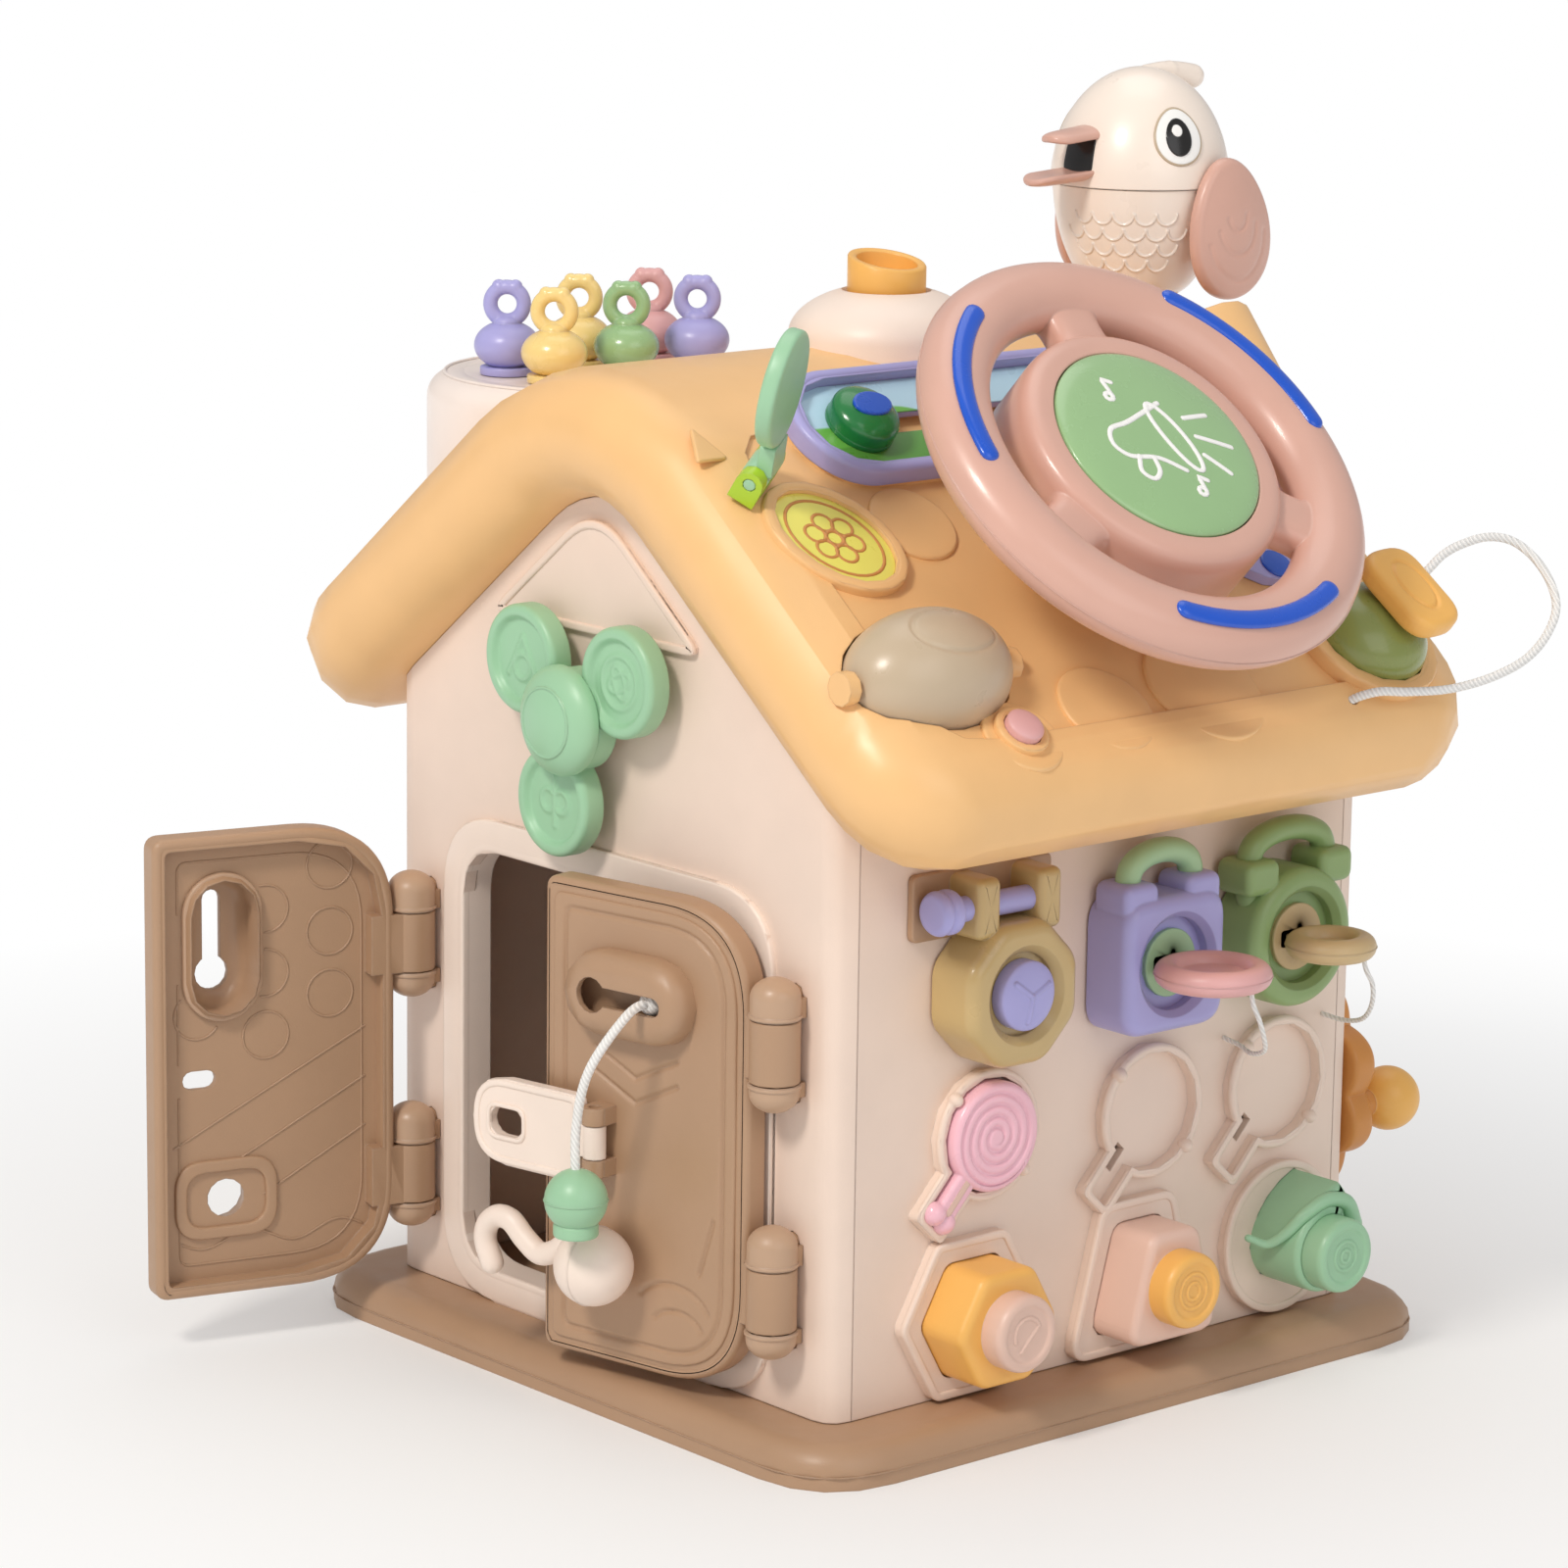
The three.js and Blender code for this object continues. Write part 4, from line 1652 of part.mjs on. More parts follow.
function trapezoidShape(grow) {
  const [top, foot, half] = [TRAPEZOID_TOP / 2, TRAPEZOID_FOOT / 2, TRAPEZOID_HEIGHT / 2];
  const lean = Math.atan2(foot - top, 2 * half);
  const spread = grow / Math.cos(lean);
  const slip = grow * Math.tan(lean);
  return polygon([
    [-foot - spread - slip, -half - grow], [foot + spread + slip, -half - grow],
    [top + spread - slip, half + grow], [-top - spread + slip, half + grow],
  ], [TRAPEZOID_CORNER, TRAPEZOID_CORNER, TRAPEZOID_CORNER / 2, TRAPEZOID_CORNER / 2]);
}

function leafShape(grow) {
  const radius = LEAF_RADIUS + grow;
  const shape = new THREE.Shape();
  const [farX, farY] = LEAF_FAR_SHARES.map((share) => share * radius);
  const [nearX, nearY] = LEAF_NEAR_SHARES.map((share) => share * radius);
  shape.absarc(0, 0, radius, LEAF_START, LEAF_END, false);
  shape.quadraticCurveTo(farX, farY, LEAF_FIN / 4, LEAF_FIN + grow);
  shape.quadraticCurveTo(nearX, nearY, radius * Math.cos(LEAF_START), radius * Math.sin(LEAF_START));
  return shape;
}

const sorters = [
  ['hexagon', HEXAGON_ALONG, hexagonShape, hexagonShape(SORTER_FRAME), ARC_STEPS, BLOCK_PROUD,
    finishes.amber],
  ['trapezoid', TRAPEZOID_ALONG, trapezoidShape, trapezoidShape(SORTER_FRAME), ARC_STEPS, BLOCK_PROUD,
    finishes.dusty],
  ['leaf', LEAF_ALONG, leafShape, oval(LEAF_FRAME_RADIUS, LEAF_FRAME_RADIUS), OVAL_STEPS, LEAF_PROUD,
    finishes.mint],
];

function rightWall() {
  const raised = sorters.map(([, along, , rim, steps]) => (
    moved(prism(rim, SORTER_PROUD + EMBED, 0, steps), along, SORTER_HEIGHT, -EMBED)
  ));
  const cradles = [
    cradle(CANDY_ALONG, CANDY_HEIGHT, CANDY_RADIUS),
    cradle(CRADLE_TWO_ALONG, CRADLE_TWO_HEIGHT, PINK_RING + KEY_RING_TUBE),
    cradle(CRADLE_THREE_ALONG, CRADLE_THREE_HEIGHT, PINK_RING + KEY_RING_TUBE),
  ];
  const holes = sorters.map(([, along, shape]) => (
    moved(prism(shape(SORTER_GAP), WALL + SORTER_PROUD + 2 * OVERRUN), along, SORTER_HEIGHT, -WALL - OVERRUN)
  ));
  const slots = [[CRADLE_TWO_ALONG, CRADLE_TWO_HEIGHT], [CRADLE_THREE_ALONG, CRADLE_THREE_HEIGHT]];
  return cut(
    join(inFrame(side, rightShell), ...raised, ...cradles),
    ...holes,
    ...slots.map(([along, up]) => (
      moved(
        moved(prism(rectangle(KEY_SLOT_WIDTH, KEY_SLOT_LENGTH), 3 * WALL), 0, -KEY_SLOT_REACH, 0)
          .rotateZ(-CRADLE_TILT),
        along, up, -2 * WALL,
      )
    )),
  );
}

add(side, 'right_wall', rightWall(), finishes.wall);
add(house, 'left_wall', leftShell, finishes.wall);
for (const [name, along, shape, , , proud, finish] of sorters) {
  const block = join(
    moved(prism(shape(0), BLOCK_SINK + proud, BLOCK_ROUND / 2), 0, 0, -BLOCK_SINK),
    rod(BLOCK_KNOB, BLOCK_KNOB_HEIGHT).translate(0, 0, proud - SEAT),
  );
  add(place(side, along, SORTER_HEIGHT, 0), `block_${name}`, block, finish);
}
for (const [name, route] of [['key_string_pink', PINK_ROUTE], ['key_string_tan', TAN_ROUTE]]) {
  const points = route.map(([x, y, z]) => at(x, y, z));
  add(house, name, tube(points, KEY_STRING_RADIUS, CORD_SIDES, STRING_STEPS), finishes.cord);
}

// Flower crank on the rear wall
function flowerCrank() {
  const shaft = FLOWER_THICK + WALL + 2 * SEAT + STRIP_THICK;
  const petals = Array.from({ length: PETALS }, (_, index) => {
    const angle = index * 2 * Math.PI / PETALS;
    const [x, y] = [FLOWER_RADIUS * Math.cos(angle), FLOWER_RADIUS * Math.sin(angle)];
    return moved(rod(PETAL_RADIUS, FLOWER_THICK, PIN_STEPS), x, y, 0);
  });
  return join(
    rod(FLOWER_RADIUS, FLOWER_THICK),
    ...petals,
    rod(FLOWER_SHAFT, shaft, SMALL_STEPS).translate(0, 0, FLOWER_THICK - shaft),
    rod(FLOWER_SHAFT + EMBED, STRIP_THICK, SMALL_STEPS).translate(0, 0, FLOWER_THICK - shaft),
    rod(CRANK_NECK, CRANK_NECK_LENGTH + EMBED, SMALL_STEPS)
      .translate(-CRANK_REACH, -CRANK_DROP, FLOWER_THICK - EMBED),
    new THREE.SphereGeometry(CRANK_BALL, BULLET_STEPS, PIN_STEPS)
      .translate(-CRANK_REACH, -CRANK_DROP, FLOWER_THICK + CRANK_NECK_LENGTH + CRANK_BALL / 2),
  );
}

const flowerFrame = place(rear, -FLOWER_X, FLOWER_HEIGHT, SEAT);
add(rear, 'rear_wall', cut(
  inFrame(rear, rearShell),
  moved(rod(FLOWER_SHAFT + SEAT, 4 * WALL, SMALL_STEPS), -FLOWER_X, FLOWER_HEIGHT, -2 * WALL),
), finishes.wall);
add(flowerFrame, 'flower_crank', flowerCrank(), finishes.crank);

// Roof shell with everything that grows out of it or is let into it
function roofShell() {
  const slab = loft(slabStations.map(roofRing));
  const half = ROOF_HOLLOW_LENGTH / 2;
  const hollow = loft(slabStations.filter((reach) => Math.abs(reach) <= ROOF_HOLLOW_REACH).map((reach) => {
    const { x, z, angle } = slopePoint(reach);
    return [[-half, -ROOF_HALF - OVERRUN], [half, -ROOF_HALF - OVERRUN],
      [half, ROOF_HALF - ROOF_SHELL], [-half, ROOF_HALF - ROOF_SHELL]]
      .map(([y, lift]) => at(x + lift * Math.sin(angle), y, z + lift * Math.cos(angle)));
  }));
  const ring = (inner, outer, height) => cut(
    moved(rod(outer, height + 2 * EMBED), 0, 0, -2 * EMBED),
    moved(rod(inner, height + 4 * EMBED), 0, 0, -2 * EMBED),
  );
  const stump = WHEEL_LIFT + HUB_UNDERSIDE - RUNNING + OVERRUN;
  const postLength = EGG_PIN_LENGTH + EGG_GAP;
  const post = (sign) => rod(EGG_POST, postLength, SMALL_STEPS).rotateY(Math.PI / 2)
    .translate(sign * (eggReach + postLength / 2) - postLength / 2, 0, 0);
  const grown = [
    moved(prism(stadium(TRAY_LENGTH, TRAY_WIDTH), PANEL_RECESS + OVERRUN), TRAY_ALONG, TRAY_UP, -OVERRUN),
    moved(
      prism(oval(DISC_HALF_WIDE + DISC_RING, DISC_HALF_LONG + DISC_RING), DISC_RING_HEIGHT + OVERRUN, 0,
        OVAL_STEPS)
        .rotateZ(FLAP_TURN),
      DISC_ALONG, DISC_UP, -OVERRUN,
    ),
    moved(rod(DIAL_RADIUS + RUNNING + DIAL_RING, DIAL_RING_HEIGHT + OVERRUN), DIAL_ALONG, DIAL_UP, -OVERRUN),
    moved(rod(STUD_BUTTON_RADIUS + STUD_RING, STUD_RING_HEIGHT + EMBED), STUD_BUTTON_ALONG,
      STUD_BUTTON_UP, -EMBED),
    moved(post(1), EGG_ALONG, EGG_UP, EGG_LIFT),
    moved(post(-1), EGG_ALONG, EGG_UP, EGG_LIFT),
  ].map((piece) => inHouse(slope, piece));
  const column = join(
    rod(COLUMN_RADIUS, stump).translate(0, 0, HUB_UNDERSIDE - RUNNING - stump),
    rod(COLUMN_PIN, COLUMN_PIN_LENGTH).translate(0, 0, HUB_UNDERSIDE - RUNNING - EMBED / 2),
  );
  const chuteRod = (radius, length, start) => moved(rod(radius, length), 0, 0, start)
    .rotateY(Math.PI / 2 + CHUTE_ANGLE).translate(CHUTE_X, CHUTE_Y, CHUTE_Z);
  const chute = chuteRod(CHUTE_OUTER, CHUTE_LENGTH, 0);
  const perch = rod(PERCH_RADIUS, BIRD_FOOT - RIDGE_HEIGHT - SEAT).translate(0, BIRD_Y, RIDGE_HEIGHT);
  const letIn = [
    moved(
      new THREE.SphereGeometry(1, ROUND_STEPS, SMALL_STEPS).rotateZ(Math.PI / 2)
        .scale(eggReach, EGG_RADIUS + EGG_GAP, EGG_RADIUS + EGG_GAP),
      EGG_ALONG, EGG_UP, EGG_LIFT,
    ),
    rod(EGG_PIN + SEAT, 2 * (EGG_HALF_LONG + EGG_PIN_LENGTH + SEAT), PIN_STEPS).rotateY(Math.PI / 2)
      .translate(EGG_ALONG - EGG_HALF_LONG - EGG_PIN_LENGTH - SEAT, EGG_UP, EGG_LIFT),
    moved(
      prism(oval(DISC_HALF_WIDE, DISC_HALF_LONG), DISC_RING_HEIGHT, 0, OVAL_STEPS).rotateZ(FLAP_TURN),
      DISC_ALONG, DISC_UP, PANEL_RECESS,
    ),
    moved(rod(DIAL_RADIUS + RUNNING, DIAL_DEPTH + 2 * OVERRUN), DIAL_ALONG, DIAL_UP, -DIAL_DEPTH),
    moved(
      rod(STUD_BUTTON_RADIUS + SEAT, STUD_BUTTON_TRAVEL + OVERRUN * 2),
      STUD_BUTTON_ALONG, STUD_BUTTON_UP, -STUD_BUTTON_TRAVEL - SEAT,
    ),
    moved(
      prism(stadium(TRAY_SLOT_LENGTH + 2 * KNOB_FOOT, 2 * (KNOB_FOOT + RUNNING)), OVERRUN),
      TRAY_ALONG, TRAY_UP, trayLift - RUNNING - SEAT - KNOB_FOOT_THICK,
    ),
  ].map((piece) => inHouse(slope, piece));
  const wells = pegPlaces.map(([x, y]) => (
    moved(rod(PEG_STEM + RUNNING, PEG_STEM_LENGTH + OVERRUN, PIN_STEPS), DRUM_X + x, DRUM_Y + y,
      DRUM_TOP - PEG_STEM_LENGTH - RUNNING)
  ));
  const panel = inHouse(slope, moved(prism(rectangle(PANEL_LENGTH, PANEL_HEIGHT, PANEL_CORNER), OVERRUN),
    ROOF_MIDDLE, -PANEL_DROP, 0));
  return cut(
    join(cut(slab, hollow, panel), ...grown, inHouse(wheel, column), chute, perch),
    ...letIn,
    ...wells,
    chuteRod(CHUTE_INNER, CHUTE_LENGTH, -OVERRUN),
    gripBore,
  );
}

add(house, 'roof_shell', roofShell(), finishes.roof);

export default house;
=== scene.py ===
import math

import bmesh
import bpy
import numpy as np
from mathutils import Matrix, Vector


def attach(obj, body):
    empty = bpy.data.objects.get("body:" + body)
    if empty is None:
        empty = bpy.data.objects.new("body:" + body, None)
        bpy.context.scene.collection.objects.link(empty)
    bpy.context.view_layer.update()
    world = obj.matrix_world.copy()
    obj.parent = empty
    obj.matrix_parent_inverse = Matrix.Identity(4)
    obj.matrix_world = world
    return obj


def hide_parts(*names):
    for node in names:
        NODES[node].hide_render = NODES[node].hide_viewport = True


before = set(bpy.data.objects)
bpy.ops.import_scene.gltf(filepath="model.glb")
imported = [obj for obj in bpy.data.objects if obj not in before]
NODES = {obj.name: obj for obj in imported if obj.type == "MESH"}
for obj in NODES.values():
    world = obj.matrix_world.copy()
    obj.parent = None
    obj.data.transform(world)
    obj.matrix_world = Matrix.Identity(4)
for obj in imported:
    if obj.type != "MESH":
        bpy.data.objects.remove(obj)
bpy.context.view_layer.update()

bl_info = {
    "name": "Activity House",
    "version": (1, 0, 0),
    "blender": (4, 5, 0),
    "location": "View3D > Sidebar > House",
    "description": "Dresses a gabled activity house with moulded pieces, plastics, cords and light",
    "category": "Object",
}

# Lengths are in millimetres and turned to metres when a mesh is made.
MM = 0.001
FINE = 96
SEAT = 0.3
WALL_FRONT = 130
WALL_SIDE = 125
DOORWAY_MIDDLE = 107
HINGE_ACROSS = 104
HINGE_OUT = 9.4
HINGE_HEIGHTS = (59, 148)
KNUCKLE = 9.0
BLOCK_SPOTS = (-68, 14, 89)
BLOCK_HEIGHT = 45
KEY_TURN = math.radians(-43)
WHEEL_RADIUS = 75
HORN_RADIUS = 40.5
HORN_EDGE = 10
HORN_CROWN = 4
LOCK_FRONT = 22.3
KEY_WIRE = 4.6
HEAD_RADIUS = 34
HEAD_FOOT = 43.3
HEAD_TOP = 87
MERGE = 2e-6
SHARP_DEGREES = 40.0


# Surfaces worked out with numpy

def unit(vectors):
    """Each vector divided by its own length."""
    return vectors / np.maximum(np.linalg.norm(vectors, axis=-1, keepdims=True), 1e-12)


def turns(count):
    """Angles of a whole turn in even steps."""
    return np.arange(count) * 2 * np.pi / count


def turn_rows(angle, about):
    """Rows are the axes of a frame turned by angle about its own axis 0, 1 or 2."""
    c, s = math.cos(angle), math.sin(angle)
    rows = {0: [[1, 0, 0], [0, c, s], [0, -s, c]],
            1: [[c, 0, -s], [0, 1, 0], [s, 0, c]],
            2: [[c, s, 0], [-s, c, 0], [0, 0, 1]]}
    return np.array(rows[about], float)


class Place:
    """A frame on the house: an origin and three axes, in the house's millimetres."""

    def __init__(self, origin, rows):
        self.origin = np.array(origin, float)
        self.rows = np.array(rows, float)

    def put(self, points):
        """Origin plus each coordinate times its axis."""
        return self.origin + np.asarray(points, float) @ self.rows

    def child(self, x=0, y=0, z=0, turn=0, about=2):
        return Place(self.put([x, y, z]), turn_rows(turn, about) @ self.rows)


def bent(start, corner, end, share):
    """Quadratic curve from start to end that leans to the corner."""
    return (1 - share) ** 2 * start + 2 * share * (1 - share) * corner + share ** 2 * end


def rounded(points, reach, steps=6, closed=False):
    """Each corner of a line gives way to a quadratic curve that starts and ends reach away from it."""
    points = np.asarray(points, float)
    count = len(points)
    reach = np.broadcast_to(np.asarray(reach, float), (count,))
    share = np.linspace(0, 1, steps + 1)[:, None]
    pieces = []
    for index in range(count):
        corner = points[index]
        if not closed and index in (0, count - 1):
            pieces.append(corner[None])
            continue
        before, after = points[index - 1] - corner, points[(index + 1) % count] - corner
        start = corner + before * min(reach[index] / max(np.linalg.norm(before), 1e-9), 0.5)
        end = corner + after * min(reach[index] / max(np.linalg.norm(after), 1e-9), 0.5)
        pieces.append(bent(start, corner, end, share))
    return np.concatenate(pieces)


def lengths(line):
    """Length along a line up to each of its points."""
    return np.concatenate([[0], np.cumsum(np.linalg.norm(np.diff(line, axis=0), axis=1))])


def evenly(loop, count):
    """Points spaced evenly by length along a closed line."""
    ends = np.vstack([loop, loop[:1]])
    length = lengths(ends)
    wanted = np.linspace(0, length[-1], count, endpoint=False)
    return np.stack([np.interp(wanted, length, ends[:, axis]) for axis in range(loop.shape[1])], 1)


def paced(line, pace, least):
    """Points about pace apart by length along an open flat line, and at least so many."""
    line = np.asarray(line, float)
    length = lengths(line)
    wanted = np.linspace(0, length[-1], max(int(length[-1] / pace), least))
    return np.stack([np.interp(wanted, length, line[:, axis]) for axis in (0, 1)], 1)


def ring(half_x, half_y=None, count=192):
    """Ellipse: x is half_x times cosine, y is half_y times sine."""
    angle = turns(count)
    return np.stack([half_x * np.cos(angle), (half_y or half_x) * np.sin(angle)], 1)


def pill(length, width, count=192):
    """Two half circles joined by straight sides, lying along x."""
    angle = turns(count)
    reach = (length - width) / 2
    x = width / 2 * np.cos(angle) + reach * np.sign(np.cos(angle))
    return evenly(np.stack([x, width / 2 * np.sin(angle)], 1), count)


def card(width, height, reach):
    """Rectangle about the origin with its corners rounded off."""
    x, y = width / 2, height / 2
    return rounded([[-x, -y], [x, -y], [x, y], [-x, y]], reach, 8, closed=True)


def tapered(foot, top, half_height, reach):
    """Four-sided outline, foot and top wide, with corners rounded off by reach."""
    corners = [[-foot, -half_height], [foot, -half_height], [top, half_height], [-top, half_height]]
    return rounded(corners, reach, 8, closed=True)


def door_outline(near, far, low, high, wide, tight, steps=10):
    """Oblong from the hinge's side to the free side, with wide corners at the hinge and tight ones away."""
    corners = [[near, low], [far, low], [far, high], [near, high]]
    return rounded(corners, [wide, tight, tight, wide], steps, closed=True)


def many_sided(sides, radius, turn, reach):
    """Regular polygon with rounded corners."""
    angle = turn + turns(sides)
    return rounded(np.stack([radius * np.cos(angle), radius * np.sin(angle)], 1), reach, 8, closed=True)


def squared(wave, power):
    """Size of a wave raised to a power, its sign kept: below one it squares a circle off."""
    return np.sign(wave) * np.abs(wave) ** power


def revolve(profile, steps=FINE):
    """Profile of (radius, height) turned about z."""
    angle = turns(steps)
    profile = np.asarray(profile, float)
    x, y = profile[:, :1] * np.cos(angle), profile[:, :1] * np.sin(angle)
    return np.stack([x, y, np.broadcast_to(profile[:, 1:], x.shape)], -1)


def ball(radius, squash=1.0, rings=48, steps=FINE):
    """Sphere: radius times sine and cosine of the latitude, its height times squash."""
    angle = np.linspace(-np.pi / 2, np.pi / 2, rings)
    return revolve(np.stack([radius * np.cos(angle), radius * squash * np.sin(angle)], 1), steps)


def arc_up(radius, height, start=0.0, steps=16):
    """Quarter ellipse from (radius, start) up to the axis."""
    angle = np.linspace(0, np.pi / 2, steps)
    return np.stack([radius * np.cos(angle), start + height * np.sin(angle)], 1).tolist()


def domed(radius, low, shoulder, height, steps):
    """Profile of a button: straight from low to the shoulder, and a quarter ellipse above."""
    return [[0, low], [radius, low], [radius, shoulder]] + arc_up(radius, height, shoulder, steps)[1:]


def rod(radius, low, high, edge=0.0, bends=4, steps=FINE):
    """Round bar with rounded edges."""
    profile = [[0, low], [radius, low], [radius, high], [0, high]]
    return revolve(rounded(profile, edge, bends) if edge else profile, steps)


def stop_pin(head, stem, low, high, steps=32):
    """Round pin on a flat head that holds it from behind."""
    neck = low + 2
    return revolve([[0, low], [head, low], [head, neck], [stem, neck], [stem, high], [0, high]], steps)


def sleeve(inner, outer, low, high, edge, bends, steps=FINE):
    """Round tube whose wall runs from the inner to the outer radius, with rounded edges."""
    profile = [[inner, low], [outer, low], [outer, high], [inner, high], [inner, low]]
    return revolve(rounded(profile, edge, bends), steps)


def outward(loop):
    """Unit normals in the plane of a closed line, pointing out of it."""
    along = np.roll(loop, -1, 0) - np.roll(loop, 1, 0)
    area = np.sum(loop[:, 0] * np.roll(loop[:, 1], -1) - loop[:, 1] * np.roll(loop[:, 0], -1))
    return unit(np.stack([along[:, 1], -along[:, 0]], 1)) * np.sign(area)


def level(loop, height):
    """Flat line lifted to a height, which may differ from point to point."""
    return np.column_stack([loop, np.broadcast_to(height, (len(loop),))])


def round_edge(loop, normal, high, edge, angles):
    """Copies of a loop round a quarter circle: inset by edge less its cosine, lowered by edge less sine."""
    return [level(loop - normal * edge * (1 - math.cos(angle)), high - edge * (1 - math.sin(angle)))
            for angle in angles]


def plate(outline, low, high, edge=1.0, crown=0.0, relief=None, count=192, rings=30, foot_edge=0.0):
    """Slab over an outline. Copies of the outline run from the middle of the foot out to the side, up it,
    round the edge by a quarter circle, and in to the middle of the top, raised by a crown and a relief."""
    loop = evenly(np.asarray(outline, float), count)
    middle, normal = loop.mean(0), outward(loop)
    foot, top = loop - normal * foot_edge, loop - normal * edge
    rows = [level(middle + (foot - middle) * share, low) for share in np.linspace(0, 1, 5)]
    if foot_edge:
        for angle in np.linspace(0, np.pi / 2, 5)[1:]:
            inset = foot_edge * (1 - math.sin(angle))
            rows.append(level(loop - normal * inset, low + foot_edge * (1 - math.cos(angle))))
    rows += round_edge(loop, normal, high, edge, np.linspace(0, np.pi / 2, 7))
    for share in np.linspace(1, 0, rings)[1:]:
        spot = middle + (top - middle) * share
        raised = relief(spot[:, 0], spot[:, 1]) if relief else 0
        rows.append(level(spot, high + crown * (1 - share ** 2) + raised))
    return np.stack(rows)


def band(outer, inner, low, high, edge=1.0, count=192):
    """Closed ring between two outlines: its rounded section is carried round both."""
    outer, inner = evenly(np.asarray(outer, float), count), evenly(np.asarray(inner, float), count)
    quarter = np.linspace(0, np.pi / 2, 6)
    foot = level(outer, low)
    rows = [foot] + round_edge(outer, outward(outer), high, edge, quarter)
    rows += round_edge(inner, -outward(inner), high, edge, quarter[::-1]) + [level(inner, low), foot]
    return np.stack(rows)


def lip(outline, grow, shrink, low, high, edge, count):
    """Band along an outline, from grow outside it to shrink inside it."""
    loop = evenly(np.asarray(outline, float), count)
    normal = outward(loop)
    return band(loop + normal * grow, loop - normal * shrink, low, high, edge, count)


def smooth_path(points, count):
    """Centripetal curve through the points: each span's slopes weigh its neighbours by root distance."""
    points = np.asarray(points, float)
    points = np.vstack([2 * points[0] - points[1], points, 2 * points[-1] - points[-2]])
    root = np.sqrt(np.linalg.norm(np.diff(points, axis=0), axis=1))[:, None]
    share = np.linspace(0, len(points) - 3, count)
    k = np.minimum(share.astype(int), len(points) - 4)
    w = (share - k)[:, None]
    p0, p1, p2, p3 = (points[k + step] for step in range(4))
    d0, d1, d2 = (root[k + step] for step in range(3))
    m1 = ((p1 - p0) / d0 - (p2 - p0) / (d0 + d1) + (p2 - p1) / d1) * d1
    m2 = ((p2 - p1) / d1 - (p3 - p1) / (d1 + d2) + (p3 - p2) / d2) * d1
    return ((2 * w ** 3 - 3 * w ** 2 + 1) * p1 + (w ** 3 - 2 * w ** 2 + w) * m1
            + (3 * w ** 2 - 2 * w ** 3) * p2 + (w ** 3 - w ** 2) * m2)


def tube(path, radius, sides=20, flat=1.0, closed=False, up=(0, 0, 1)):
    """Circle carried along a path; flat scales it towards up, and round caps close an open one."""
    path = np.asarray(path, float)
    if closed:
        along = unit(np.roll(path, -1, 0) - np.roll(path, 1, 0))
    else:
        along = unit(np.gradient(path, axis=0))
    across = np.cross(along, np.asarray(up, float))
    weak = np.linalg.norm(across, axis=1) < 0.05
    across[weak] = np.cross(along[weak], [0.3, 0.9, 0.2])
    across = unit(across)
    lift = np.cross(across, along)
    angle = turns(sides)
    cosine, sine = np.cos(angle)[None, :, None], np.sin(angle)[None, :, None]
    section = cosine * across[:, None] + flat * sine * lift[:, None]
    radius = np.broadcast_to(np.asarray(radius, float), (len(path),))[:, None, None]
    rows = path[:, None] + radius * section
    if closed:
        return np.concatenate([rows, rows[:1]])
    caps = []
    for end, sign in ((0, -1), (-1, 1)):
        reach = radius[end, 0, 0]
        caps.append([path[end] + sign * along[end] * reach * math.sin(bend)
                     + reach * math.cos(bend) * section[end] for bend in np.linspace(0, np.pi / 2, 6)[1:]])
    return np.concatenate([np.stack(caps[0][::-1]), rows, np.stack(caps[1])])


def hoop(loop, height, radius, sides=8, flat=1.0):
    """Closed tube along a flat loop at a height."""
    return tube(level(loop, height), radius, sides, flat, closed=True)


def standing_hoop(half, height, radius, sides, count):
    """Ring of tube that stands upright, its middle at a height."""
    circle = ring(half, count=count)
    path = np.column_stack([circle[:, 0], np.zeros(count), circle[:, 1] + height])
    return tube(path, radius, sides, closed=True, up=(0, 1, 0))


def shifted(grid, x=0, y=0, z=0):
    return grid + np.array([x, y, z], float)


def spun(grid, angle, about=2):
    return grid @ turn_rows(angle, about)


def turned_over(grid):
    return grid * np.array([1, 1, -1])


def on_side(grid):
    """Turns a shape's z axis to x."""
    return np.stack([grid[..., 2], grid[..., 0], grid[..., 1]], -1)


def upright(grid, sign=1):
    """Turns a shape's z axis to y."""
    return np.stack([grid[..., 1], sign * grid[..., 2], grid[..., 0]], -1)


def near_line(x, y, lines, width):
    """Bell of one on the lines falling to nought at width away, by the distance to the nearest stretch."""
    spot = np.stack([x, y], -1)[:, None]
    starts = np.concatenate([line[:-1] for line in lines])
    spans = np.concatenate([line[1:] for line in lines]) - starts
    share = np.clip(np.sum((spot - starts) * spans, -1) / np.maximum(np.sum(spans ** 2, -1), 1e-9), 0, 1)
    gap = np.linalg.norm(spot - starts - share[..., None] * spans, axis=-1).min(1)
    return np.exp(-(gap / width) ** 2)


def arc_line(x, y, radius, start=0.0, end=360.0, stretch=1.0, turn=0.0):
    """Stretch of an ellipse as a line of points."""
    angle = np.radians(np.linspace(start, end, 33))
    spots = np.stack([radius * np.cos(angle), radius * stretch * np.sin(angle)], 1)
    return spots @ turn_rows(turn, 2)[:2, :2] + [x, y]


def strokes(*lines):
    """Straight strokes as lines of points."""
    return [np.array(line, float) for line in lines]


def closed_line(loop):
    return np.vstack([loop, loop[:1]])


def ribs(lines, radius, lift, flat=0.6):
    """Thin rounded ribs that follow flat lines at a height."""
    return [tube(level(paced(line, 1.2, 4), lift), radius, 10, flat) for line in lines]


